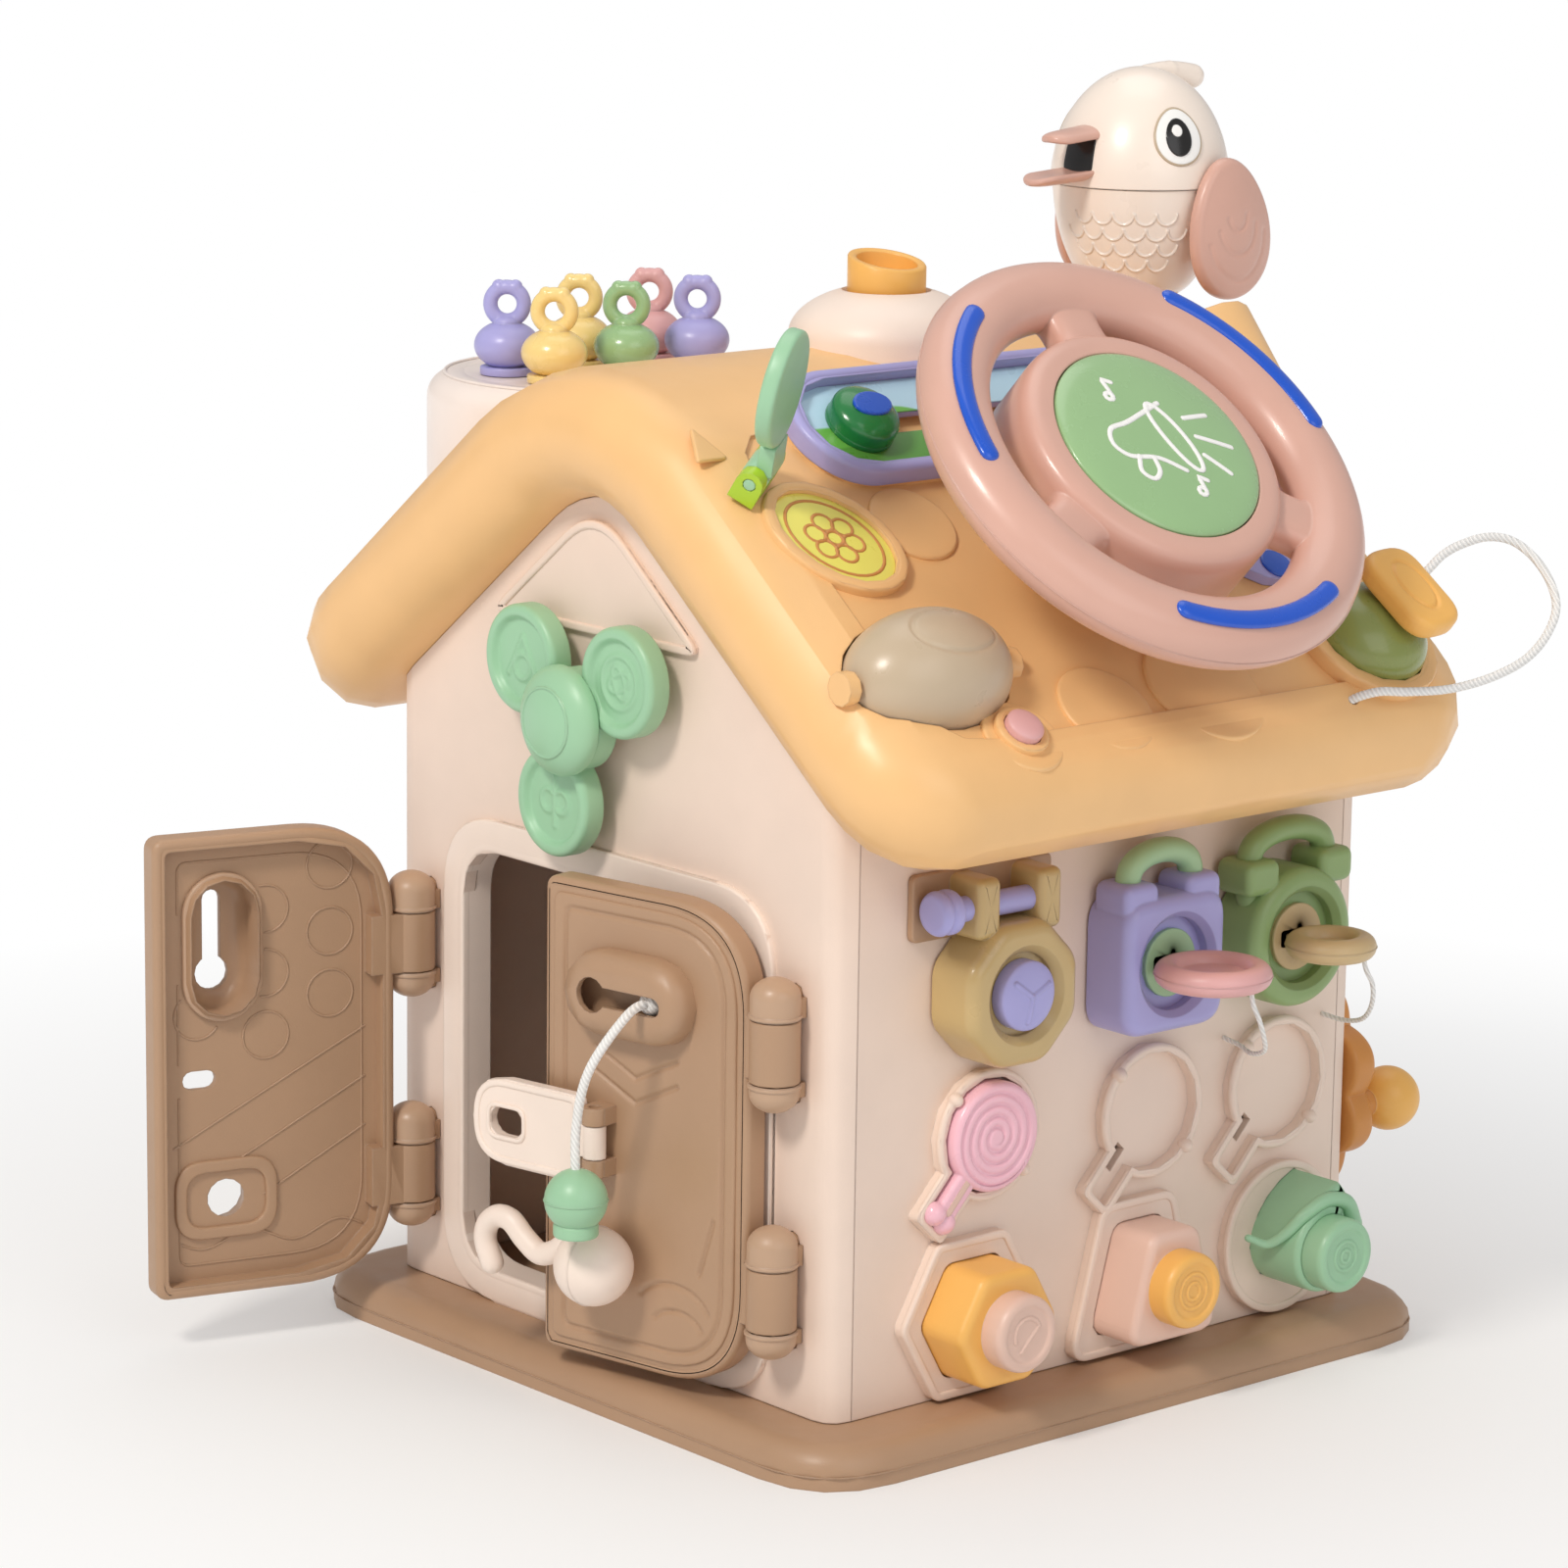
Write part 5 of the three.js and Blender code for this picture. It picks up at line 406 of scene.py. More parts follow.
def make_piece(name, shells, tones, slot, where=None, body="house", hides=None):
    """Joins point grids into one mesh. Each grid gives four-sided faces between neighbouring points,
    round in its columns; its poles merge, and its faces are turned outwards."""
    points, faces, marks, offset = [], [], [], 0
    for shell in shells:
        grid, mark = shell if isinstance(shell, tuple) else (shell, 0)
        rows, columns = grid.shape[:2]
        row, column = np.arange(rows - 1)[:, None], np.arange(columns)[None]
        beside = (column + 1) % columns
        quads = np.stack([row * columns + column, row * columns + beside,
                          (row + 1) * columns + beside, (row + 1) * columns + column], -1).reshape(-1, 4)
        points.append(grid.reshape(-1, 3))
        faces.append(quads + offset)
        marks.append(np.full(len(quads), mark))
        offset += rows * columns
    spots = np.concatenate(points)
    spots = (where.put(spots) if where else spots) * MM
    mesh = bpy.data.meshes.new(name)
    mesh.from_pydata(spots.tolist(), [], np.concatenate(faces).tolist())
    mesh.polygons.foreach_set("material_index", np.concatenate(marks).astype(np.int32))
    work = bmesh.new()
    work.from_mesh(mesh)
    bmesh.ops.remove_doubles(work, verts=work.verts, dist=MERGE)
    bmesh.ops.dissolve_degenerate(work, edges=work.edges, dist=1e-7)
    bmesh.ops.recalc_face_normals(work, faces=work.faces)
    work.to_mesh(mesh)
    work.free()
    mesh.shade_smooth()
    mesh.set_sharp_from_angle(angle=math.radians(SHARP_DEGREES))
    for tone in tones.split():
        mesh.materials.append(finish(tone))
    piece = bpy.data.objects.new(name, mesh)
    bpy.context.scene.collection.objects.link(piece)
    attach(piece, body)
    if hides:
        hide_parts(hides)
    return piece


# Frames of the house, repeated from its sizes

SLOPE_TURN = math.radians(38.5)
HOUSE = Place([0, 0, 0], np.eye(3))
FRONT = Place([0, -WALL_FRONT, 0], [[1, 0, 0], [0, 0, 1], [0, -1, 0]])
SIDE = Place([WALL_SIDE, 0, 0], [[0, 1, 0], [0, 0, 1], [1, 0, 0]])
REAR = Place([0, WALL_FRONT, 0], [[-1, 0, 0], [0, 0, 1], [0, 1, 0]])
SLOPE = Place([99.32, 0, 318.34], [
    [0, 1, 0],
    [-math.cos(SLOPE_TURN), 0, math.sin(SLOPE_TURN)],
    [math.sin(SLOPE_TURN), 0, math.cos(SLOPE_TURN)],
])
RIGHT_DOOR = FRONT.child(HINGE_ACROSS, 0, HINGE_OUT, math.radians(10.2), 1)
LEFT_DOOR = FRONT.child(-HINGE_ACROSS, 0, HINGE_OUT, math.radians(-105), 1)
WHEEL = SLOPE.child(-15, -22, 55, math.radians(5), 0)
TRAY = SLOPE.child(-14, 51.5, 1.9)
SLIDER = SLOPE.child(-68, 51.5, 4.7)
DISC = SLOPE.child(-109, 5, 0, math.radians(34.8), 2)
FLAP = DISC.child(0, 34, 10.1, math.radians(-108), 0)
EGG = SLOPE.child(-109, -58, 0)
STUD = SLOPE.child(-89, -89, 0)
DIAL = SLOPE.child(92, -74, 0)
GRIP = SLOPE.child(99, -73, 21.3, math.radians(95), 2)
CHUTE = Place([44, 120, 373], turn_rows(math.pi / 2 + math.radians(50), 1))
SPINNER = FRONT.child(-4, 248, 7.3)
BEAD = RIGHT_DOOR.child(-60, 90.5, 35)
HASP = RIGHT_DOOR.child(-73, 104, 10.2)
HOOK = RIGHT_DOOR.child(-67, 61, 2.7)
BIRD = HOUSE.child(0, 128.5, 381)
DRUM = HOUSE.child(-86, -64, 357)
OCTAGON = SIDE.child(-61, 164)
BOLT = OCTAGON.child(-3, 32, 11.5)
SQUARE = SIDE.child(13, 164)
ROUND = SIDE.child(78, 164)
CANDY = SIDE.child(-61, 110, SEAT, KEY_TURN, 2)
CRANK = REAR.child(-84, 90, SEAT)

GRIP_ROUTE = [
    (168.6, 109.5, 297), (167.3, 116, 300.2), (165.8, 123.5, 303.4), (165.2, 133.5, 306.1),
    (166.4, 147.9, 307.8), (169.4, 158, 305.4), (174.8, 164.7, 298.5), (180.6, 166.7, 290.1),
    (185.2, 164.6, 282.6), (188.5, 157, 274.8), (191.1, 143.9, 267.6), (192.3, 124.3, 262.8),
    (190.6, 103, 260.4), (187.3, 84, 261), (182.7, 72.7, 261.5), (176.4, 66, 258), (171.5, 63.7, 251.5),
]
PINK_ROUTE = [
    (179.6, 17.3, 159.2), (180, 18, 155), (180, 21, 149.5), (176, 28, 141),
    (166, 39, 132), (150, 49, 126), (136, 57, 125), (125.2, 60, 125),
]
TAN_ROUTE = [
    (169.4, 85.7, 159.2), (169.8, 87, 155), (170, 90, 150), (167, 94, 143),
    (158, 101, 134), (147, 107.5, 128.5), (136, 111, 126), (125.2, 112, 126),
]
DOOR_ROUTE = [
    (-49, 158, 7.33), (-49, 158, 16.2), (-49, 153.95, 24.7),
    (-54.5, 137.75, 35), (-60, 117.5, 35), (-60, 90.5, 35),
]


# Plastics

def linear(colour):
    """Display colour to light: each channel over 12.92, or raised to 2.4 above the knee."""
    value = np.asarray(colour[:3], float)
    return tuple(np.where(value <= 0.04045, value / 12.92, ((value + 0.055) / 1.055) ** 2.4)) + (1.0,)


def scaled(base, share):
    """Colour with each channel times a share, at most one."""
    return tuple(min(channel * share, 1.0) for channel in base[:3]) + (1.0,)


def feed(tree, node, inputs):
    """Gives each input, by name or number, a value or the output of another node."""
    for key, value in inputs.items():
        if isinstance(value, bpy.types.NodeSocket):
            tree.links.new(value, node.inputs[key])
        else:
            node.inputs[key].default_value = value
    return node


def add(tree, kind, inputs, **settings):
    """Adds a node with its settings and feeds its inputs."""
    node = tree.nodes.new(kind)
    for key, value in settings.items():
        setattr(node, key, value)
    return feed(tree, node, inputs)


def arithmetic(tree, operation, *values):
    return add(tree, "ShaderNodeMath", dict(enumerate(values)), operation=operation).outputs["Value"]


def dot(tree, first, second):
    return add(tree, "ShaderNodeVectorMath", {0: first, 1: second}, operation="DOT_PRODUCT").outputs["Value"]


def noise(tree, coords, scale, detail=3.0):
    inputs = {"Vector": coords, "Scale": scale, "Detail": detail}
    return add(tree, "ShaderNodeTexNoise", inputs).outputs["Fac"]


def spread(tree, value, low, high, to_low, to_high):
    """Maps a range of values evenly to another."""
    ends = {"Value": value, "From Min": low, "From Max": high, "To Min": to_low, "To Max": to_high}
    return add(tree, "ShaderNodeMapRange", ends).outputs["Result"]


def blend_colours(tree, share, first, second):
    """Colour between two, by a share."""
    return add(tree, "ShaderNodeMix", {0: share, 6: first, 7: second}, data_type="RGBA").outputs[2]


def start_material(name):
    material = bpy.data.materials.new(name)
    material.use_nodes = True
    tree = material.node_tree
    coords = tree.nodes.new("ShaderNodeTexCoord").outputs["Object"]
    return material, tree, tree.nodes["Principled BSDF"], coords


def plastic(name, colour, roughness=0.36, grain=0.10, coat=0.0, ink=None):
    """Moulded plastic: cloudy colour, edges painted lighter in patches as a highlight, uneven gloss, and the
    fine grain of the mould.
    Its edges shade as if rounded off. ink(tree, coords) may give a painted pattern for the colour."""
    material, tree, shader, coords = start_material(name)
    base = linear(colour)
    cloud = spread(tree, noise(tree, coords, 34.0, 4.0), 0.3, 0.7, 0.0, 1.0)
    tone = blend_colours(tree, cloud, scaled(base, 0.97), scaled(base, 1.02))
    if ink:
        tone = ink(tree, coords)
    rounding = add(tree, "ShaderNodeBevel", {"Radius": 0.8 * MM}, samples=4).outputs["Normal"]
    face = tree.nodes.new("ShaderNodeNewGeometry").outputs["Normal"]
    # Painted highlight: where the bevel normal leaves the face normal, rounded edges are painted lighter,
    # broken into patches by noise.
    edges = spread(tree, dot(tree, rounding, face), 0.99, 0.8, 0.0, 0.22)
    highlight_patches = spread(tree, noise(tree, coords, 260.0, 5.0), 0.35, 0.65, 0.3, 1.0)
    edge_highlight = arithmetic(tree, "MULTIPLY", edges, highlight_patches)
    # Colour of the painted edge highlight: the base colour lifted towards white.
    pale = tuple(channel + (1.0 - channel) * 0.45 for channel in base[:3]) + (1.0,)
    grains = add(tree, "ShaderNodeBump", {"Strength": grain, "Distance": 0.00025, "Normal": rounding,
                                          "Height": noise(tree, coords, 1500.0, 2.0)})
    smears = noise(tree, coords, 70.0, 5.0)
    feed(tree, shader, {
        "Base Color": blend_colours(tree, edge_highlight, tone, pale),
        "Roughness": spread(tree, smears, 0.25, 0.75, roughness - 0.05, roughness + 0.07),
        "Normal": grains.outputs["Normal"],
        "Coat Weight": coat,
        "Coat Roughness": 0.12,
    })
    return material


def braid(name, colour):
    """Twisted cord: slanting strands with a bump that follows them, their grooves darkened as painted shade.
    """
    material, tree, shader, coords = start_material(name)
    base = linear(colour)
    waves = {"Vector": coords, "Scale": 260.0, "Distortion": 1.5}
    strands = add(tree, "ShaderNodeTexWave", waves, bands_direction="DIAGONAL").outputs["Fac"]
    bump = add(tree, "ShaderNodeBump", {"Strength": 0.6, "Distance": 0.0004, "Height": strands})
    feed(tree, shader, {
        # Painted shade: the colour darkens where the strands dip into grooves.
        "Base Color": blend_colours(tree, strands, scaled(base, 0.8), base),
        "Normal": bump.outputs["Normal"],
        "Roughness": 0.85,
    })
    return material


def landscape(sky, hill):
    """Ink for the picture in the tray: hills rise where the height across the tray falls below two waves."""
    def ink(tree, coords):
        def along(axis):
            shift = -float(TRAY.origin @ axis) * MM
            return arithmetic(tree, "ADD", dot(tree, coords, tuple(axis)), shift)

        u, height = along(TRAY.rows[0]), along(TRAY.rows[1])
        for pace, tall, shift in ((52.0, 0.0052, 0.6), (118.0, 0.0024, 2.1)):
            wave = arithmetic(tree, "SINE", arithmetic(tree, "MULTIPLY_ADD", u, pace, shift))
            height = arithmetic(tree, "MULTIPLY_ADD", wave, tall, height)
        far = spread(tree, height, 0.0012, 0.0002, 0.0, 1.0)
        near = spread(tree, height, -0.0088, -0.0098, 0.0, 1.0)
        painted = blend_colours(tree, far, linear(sky), linear(hill))
        return blend_colours(tree, near, painted, scaled(linear(hill), 0.72))
    return ink


def edge_smoothing(angle):
    """Node group that merges doubles and shades edges smooth up to an angle, made once."""
    name = "smooth_shallow_edges_%d" % angle
    group = bpy.data.node_groups.get(name)
    if group:
        return group
    group = bpy.data.node_groups.new(name, "GeometryNodeTree")
    for way in ("INPUT", "OUTPUT"):
        group.interface.new_socket("Geometry", in_out=way, socket_type="NodeSocketGeometry")
    start, end = group.nodes.new("NodeGroupInput"), group.nodes.new("NodeGroupOutput")
    merge = add(group, "GeometryNodeMergeByDistance", {"Geometry": start.outputs[0], "Distance": MERGE})
    smooth = add(group, "GeometryNodeSetShadeSmooth", {"Geometry": merge.outputs["Geometry"]})
    bend = group.nodes.new("GeometryNodeInputMeshEdgeAngle").outputs["Unsigned Angle"]
    over = add(group, "FunctionNodeCompare", {0: bend, 1: math.radians(angle)}, data_type="FLOAT",
               operation="GREATER_THAN")
    sharp = add(group, "GeometryNodeSetShadeSmooth", {
        "Geometry": smooth.outputs["Geometry"],
        "Selection": over.outputs[0],
        "Shade Smooth": False,
    }, domain="EDGE")
    feed(group, end, {0: sharp.outputs["Geometry"]})
    return group


def soften(tone, names, angle=50.0):
    """Packed nodes keep their meshes. Their doubles are merged and shallow edges smoothed by modifiers."""
    for name in names.split():
        node = NODES[name]
        node.data.materials.clear()
        node.data.materials.append(finish(tone))
        node.modifiers.new("smooth_edges", "NODES").node_group = edge_smoothing(angle)
        node.modifiers.new("even_faces", "WEIGHTED_NORMAL").keep_sharp = True


# Sizes and colours

def length(label, text, value):
    return bpy.props.FloatProperty(name=label, description=text, default=value * MM, min=0.0001,
                                   unit="LENGTH")


def colour(label, text, code):
    value = tuple(int(code[index:index + 2], 16) / 255 for index in (0, 2, 4))
    return bpy.props.FloatVectorProperty(name=label, description=text, subtype="COLOR_GAMMA", size=3,
                                         min=0.0, max=1.0, default=value)


class HouseSizes(bpy.types.PropertyGroup):
    rim_arc: length("Rim arc", "Half width of the raised arcs on the wheel rim", 3.7)
    print_line: length("Print line", "Half width of the printed lines on the horn button", 1.05)
    groove: length("Groove", "Half width of the grooves in the doors", 0.85)
    groove_depth: length("Groove depth", "Depth of the grooves in the doors", 1.0)
    rib: length("Rib", "Half width of the fine ribs on the doors", 0.45)
    feather: length("Feather", "Radius of a feather scallop on the bird", 4.2)
    eye: length("Eye", "Half height of the bird's eye", 10.8)


class HouseColours(bpy.types.PropertyGroup):
    roof: colour("Roof", "Peach of the roof", "F0C084")
    wall: colour("Walls", "Cream of the walls", "EBD5C5")
    brown: colour("Doors", "Brown of the base, doors and hinges", "B28F71")
    # Lit copy of the door brown, made lighter as painted light, on the hinge caps and the left door's pocket
    # rim.
    pale_brown: colour("Hinge caps", "Lighter brown of the hinge caps", "BD9C80")
    cream: colour("Trim", "Cream of the hasp, hook and dome", "F4E2D4")
    mint: colour("Mint", "Mint of the spinner, bead, flap and leaf", "9CC8A2")
    sage: colour("Sage", "Sage of the horn button and a peg", "97BC86")
    lime: colour("Lime", "Lime of the flap bracket", "A9CC20")
    dusty: colour("Dusty rose", "Rose of the wheel, beak and wings", "D6A897")
    lavender: colour("Lavender", "Lavender of the tray, bolt and square lock", "AAA6DA")
    khaki: colour("Khaki", "Khaki of the eight-sided lock", "C4A872")
    olive: colour("Olive", "Olive of the dial", "8A9650")
    green: colour("Lock green", "Green of the round lock", "8CA66C")
    rotor: colour("Rotor green", "Green of the square lock's rotor", "A5C79A")
    pink: colour("Pink", "Pink of the ring key", "DFAAA8")
    candy: colour("Candy pink", "Pink of the lollipop key", "F4BECB")
    tan: colour("Tan", "Tan of the ring key and rotor", "CDB284")
    # On the flower's crank ball this amber is the lit copy of the flower's orange, painted light.
    amber: colour("Amber", "Amber of the block, spout and grip", "F2B860")
    # Shaded copy of the crank's orange, painted shade on the flower; the disc motif uses it too.
    crank: colour("Crank", "Orange of the flower", "CE8B46")
    taupe: colour("Taupe", "Taupe of the roller", "C3AF94")
    deep_green: colour("Deep green", "Green of the slider knob", "1E7A3C")
    blue: colour("Blue", "Blue of the arcs on the wheel", "0E52C6")
    yellow: colour("Yellow", "Yellow of the pegs", "F3D488")
    disc: colour("Disc", "Bright yellow of the round picture", "EBE46C")
    drum: colour("Drum", "Cream of the peg drum", "F3E4DA")
    pinkish: colour("Block pink", "Pink of the four-sided block", "E3C0AF")
    bird: colour("Bird", "Cream of the bird", "F6E7D9")
    # On each pupil's glint this white is a painted highlight.
    white: colour("White", "White of prints, eyes and cords", "F7F5F1")
    # Black of the pupils; on the mouth it is painted shade inside the open beak.
    black: colour("Black", "Black of the pupils and the mouth", "1C1A19")
    sky: colour("Sky", "Sky in the tray's picture", "B9DDF0")
    hill: colour("Hill", "Hills in the tray's picture", "6DB94C")
    floor: colour("Floor", "Pale floor under the house", "F4F3F1")


# Roughness and coat of each plastic, and the grain where it is a coarser one
GLOSS = {
    "pale_brown": (0.38, 0), "dusty": (0.34, 0.2), "blue": (0.25, 0.4), "sage": (0.24, 0.5),
    "white": (0.4, 0), "lavender": (0.32, 0), "deep_green": (0.25, 0.4), "disc": (0.3, 0.3),
    "lime": (0.3, 0.3), "taupe": (0.3, 0),
    "olive": (0.28, 0.3), "drum": (0.34, 0.15), "yellow": (0.26, 0.4), "bird": (0.3, 0.3), "black": (0.2, 0),
    "khaki": (0.3, 0.25), "candy": (0.28, 0.4), "wall": (0.46, 0), "brown": (0.4, 0), "cream": (0.4, 0),
}
GRAIN = {"wall": 0.16, "brown": 0.16, "cream": 0.12}
FINISHES = {}


def finish(name):
    """The plastic of a named colour, made once."""
    if name not in FINISHES:
        tone = getattr(bpy.context.scene.house_colours, name)
        roughness, coat = GLOSS.get(name, (0.36, 0))
        FINISHES[name] = plastic("plastic_" + name, tone, roughness, GRAIN.get(name, 0.1), coat)
    return FINISHES[name]


def size(name):
    return getattr(bpy.context.scene.house_sizes, name) / MM


# Pieces

class HOUSE_OT_camera(bpy.types.Operator):
    """Adds the camera at the picture's viewing angle."""
    bl_idname = "house.camera"
    bl_label = "Camera"
    bl_options = {"REGISTER", "UNDO"}

    def execute(self, context):
        data = bpy.data.cameras.new("view")
        data.lens = 124.92
        data.sensor_width = 36
        camera = bpy.data.objects.new("view", data)
        across = Vector((0.653858, 0.756497, 0.01352))
        up = Vector((-0.165277, 0.12537, 0.978246))
        back = Vector((0.738345, -0.641869, 0.207005))
        camera.matrix_world = Matrix.Translation((1.477151842, -1.330603728, 0.626700829)) @ Matrix(
            (across, up, back)).transposed().to_4x4()
        context.scene.collection.objects.link(camera)
        context.scene.camera = camera
        return {"FINISHED"}


def lay_cord(name, points, radius, node, body="house"):
    path = smooth_path(points, 160)
    strand = tube(path, radius, 14, up=(0.2, 0.1, 1))
    piece = make_piece(name, [strand], "braid", "cord_white", None, body, node)


class HOUSE_OT_cords(bpy.types.Operator):
    """Lays the grip's cord, the two key strings, and the door's cord with its bead."""
    bl_idname = "house.cords"
    bl_label = "Cords"
    bl_options = {"REGISTER", "UNDO"}

    def execute(self, context):
        FINISHES["braid"] = braid("braided_cord", context.scene.house_colours.white)
        groove = [arc_line(0, 0, 11.5, stretch=0.58)]
        loop = plate(card(38.6, 25.6, 11), 0, 9, 3, crown=0.6, count=200, rings=60, foot_edge=3,
                     relief=lambda x, y: -0.8 * near_line(x, y, groove, 0.8))
        grip = make_piece("pull_grip_shell", [loop], "amber", "amber", GRIP, "house", "pull_grip")
        lay_cord("grip_cord_braid", GRIP_ROUTE, 1.6, "grip_cord")
        lay_cord("key_string_pink_twist", PINK_ROUTE, 0.9, "key_string_pink")
        lay_cord("key_string_tan_twist", TAN_ROUTE, 0.9, "key_string_tan")
        profile = rounded([[0, -11.2], [7.4, -13.2], [8, -12.6], [8, -8.6], [7.2, -8.1]], 0.8, 4)
        collar = upright(revolve(np.vstack([profile, [[0, -7.4]]])))
        belt = standing_hoop(11.25, 0, 0.3, 8, 128)
        bead = make_piece("door_bead_shell", [upright(ball(11.2)), collar, belt], "mint", "mint", BEAD,
                          "right_door", "door_bead")
        lay_cord("door_cord_braid", RIGHT_DOOR.put(DOOR_ROUTE), 1.7, "door_cord", "right_door")
        knot = shifted(ball(4.8, rings=24, steps=32), *DOOR_ROUTE[0])
        make_piece("door_cord_knot", [knot], "braid", "cord_white", RIGHT_DOOR, "right_door")
        return {"FINISHED"}


def hinge_caps(hand):
    """Rounded caps over the ends of both hinges, and thin flanges beside the knuckles."""
    shells = []
    for height in HINGE_HEIGHTS:
        for sign, span in ((1, 14.5), (-1, 10.5)):
            cap = upright(revolve(domed(8.95, 0, span - 7.2, 7.3, 16), 64), sign)
            flange = upright(rod(9.5, 0, 1.2, 0.3, 3, 64), sign)
            shells.append(shifted(cap, hand * HINGE_ACROSS, height + sign * 11.5, HINGE_OUT))
            shells.append(shifted(flange, hand * HINGE_ACROSS, height + sign * 11.9, HINGE_OUT))
    return shells


def cradle(radius):
    """Rim of a key's cradle, a circle that opens into a straight foot, with a small clip on either side."""
    reach, foot = radius + 2.5, 7
    gap = math.asin(foot / reach)
    sweep = np.linspace(-math.pi / 2 + gap, 1.5 * math.pi - gap, 90)
    rim = np.stack([reach * np.cos(sweep), reach * np.sin(sweep)], 1)
    outline = np.vstack([rim, [[-foot, -40.5], [foot, -40.5]]])
    path = evenly(rounded(outline, [0.5] * 90 + [3.5, 3.5], 6, closed=True), 240)
    clips = [shifted(ball(2.6, 1.2, 20, 32), side * (radius + 2.4), 0, 4.4) for side in (1, -1)]
    return [hoop(path, 3.75, 1.6, 16)] + clips


class HOUSE_OT_walls(bpy.types.Operator):
    """Gives the base and walls their plastics, caps the hinges, and adds frames, cradles and lips."""
    bl_idname = "house.walls"
    bl_label = "Base and walls"
    bl_options = {"REGISTER", "UNDO"}

    def execute(self, context):
        soften("wall", "front_wall right_wall left_wall rear_wall")
        soften("brown", "base_tray hinge_bracket_left hinge_bracket_right")
        for name, hand in (("left", -1), ("right", 1)):
            # The caps take the lighter brown as painted light; they are the door's own brown.
            make_piece("hinge_caps_" + name, hinge_caps(hand), "pale_brown", "door_brown", FRONT)
        surround = band(card(188, 184, 32), card(164, 160, 20), -0.5, 2.2, 1.0, 320)
        lining = band(card(169, 165, 22), card(163.6, 159.6, 20), -11, 2.1, 0.6, 320)
        frames = [shifted(grid, 0, DOORWAY_MIDDLE) for grid in (surround, lining)]
        make_piece("doorway_frame", frames, "cream", "trim_cream", FRONT)
        gable = rounded([[-60.5, 277], [60.5, 277], [0, 325]], [11, 11, 22], 8, closed=True)
        rim = lip(gable, 0, 3.2, 1.2, 3.0, 0.9, 320)
        make_piece("gable_panel_edge", [shifted(rim, -5.5)], "wall", "wall_cream", FRONT)
        seam = hoop(evenly(card(302, 312, 34), 400), 5.0, 0.35)
        make_piece("base_seam", [seam], "brown", "door_brown", HOUSE)
        rims = []
        for along, height, radius in ((-61, 110, 20), (20, 105, 21.1), (85, 105, 21.1)):
            corner = SIDE.child(along, height, 0, KEY_TURN, 2)
            rims += [corner.put(grid) for grid in cradle(radius)]
        make_piece("cradle_rims", rims, "wall", "wall_cream", HOUSE)
        hexagon = many_sided(6, 24 + 8 / math.cos(math.pi / 6), 0, 3)
        holes = (hexagon, tapered(33.3, 18.2, 28.5, [10, 10, 6, 6]), ring(29))
        for block, (along, hole) in enumerate(zip(BLOCK_SPOTS, holes), 1):
            edge = shifted(lip(hole, 0.1, 3.0, 3.2, 5.3, 0.8, 240), along, BLOCK_HEIGHT)
            make_piece("sorter_lip_%d" % block, [edge], "wall", "wall_cream", SIDE)
        return {"FINISHED"}


def right_door_lines():
    """Grooves of the right door: an inset line round its edge, chevrons, and short curved strokes."""
    lines = [closed_line(door_outline(-20, -93, 31, 185, 26, 4))]
    for y in (128, 119):
        lines += strokes([[-79, y + 9], [-60, y], [-41, y + 9]])
    lines += strokes([[-88, 72], [-80, 86]], [[-30, 62], [-24, 82]])
    return lines + [arc_line(-42, 44, 17, 20, 150, 0.7), arc_line(-40, 38, 12, 20, 150, 0.7)]


def left_door_lines():
    """Ribs inside the left door: a line round its edge, circles, slanting strokes and a wave."""
    def inner(across, height):
        return [HINGE_OUT + (1 - across) * 94, 21 + height * 174]

    lines = [closed_line(door_outline(20, 92, 31.5, 184.5, 28, 4))]
    for across, height in ((0.754, 0.909), (0.754, 0.764), (0.754, 0.628), (0.484, 0.825), (0.484, 0.685),
                           (0.484, 0.55), (0.2, 0.606)):
        lines.append(arc_line(*inner(across, height), 9.0))
    for start, end in (((0.1, 0.32), (0.9, 0.548)), ((0.27, 0.254), (0.9, 0.438)),
                       ((0.475, 0.2), (0.9, 0.33))):
        lines += strokes([inner(*start), inner(*end)])
    wave = np.linspace(0, 1, 60)
    lines.append(np.stack([20 + wave * 72, 40 + 3 * np.sin(wave * 4 * np.pi)], 1))
    return lines


BOSS = (75, 152)
PIN_HOLE = (74, 56)


def clear_stretches(line):
    """Stretches of a line, in steps of about one, that keep off the left door's boss and openings."""
    fine = []
    for first, second in zip(line[:-1], line[1:]):
        steps = max(int(np.linalg.norm(second - first)), 1)
        fine.append(first + (second - first) * np.linspace(0, 1, steps, endpoint=False)[:, None])
    fine = np.vstack(fine + [line[-1:]])
    x, y = fine.T
    away = np.maximum(np.abs(y - BOSS[1]) - 12.5, 0) ** 2 + (x - BOSS[0]) ** 2 > 17 ** 2
    away &= (np.hypot(x - PIN_HOLE[0], y - PIN_HOLE[1]) > 14) & (np.hypot(x - 84, y - 102) > 10)
    cuts = np.flatnonzero(np.diff(away.astype(int))) + 1
    return [run for run, keep in zip(np.split(fine, cuts), np.split(away, cuts)) if keep[0] and len(run) > 3]


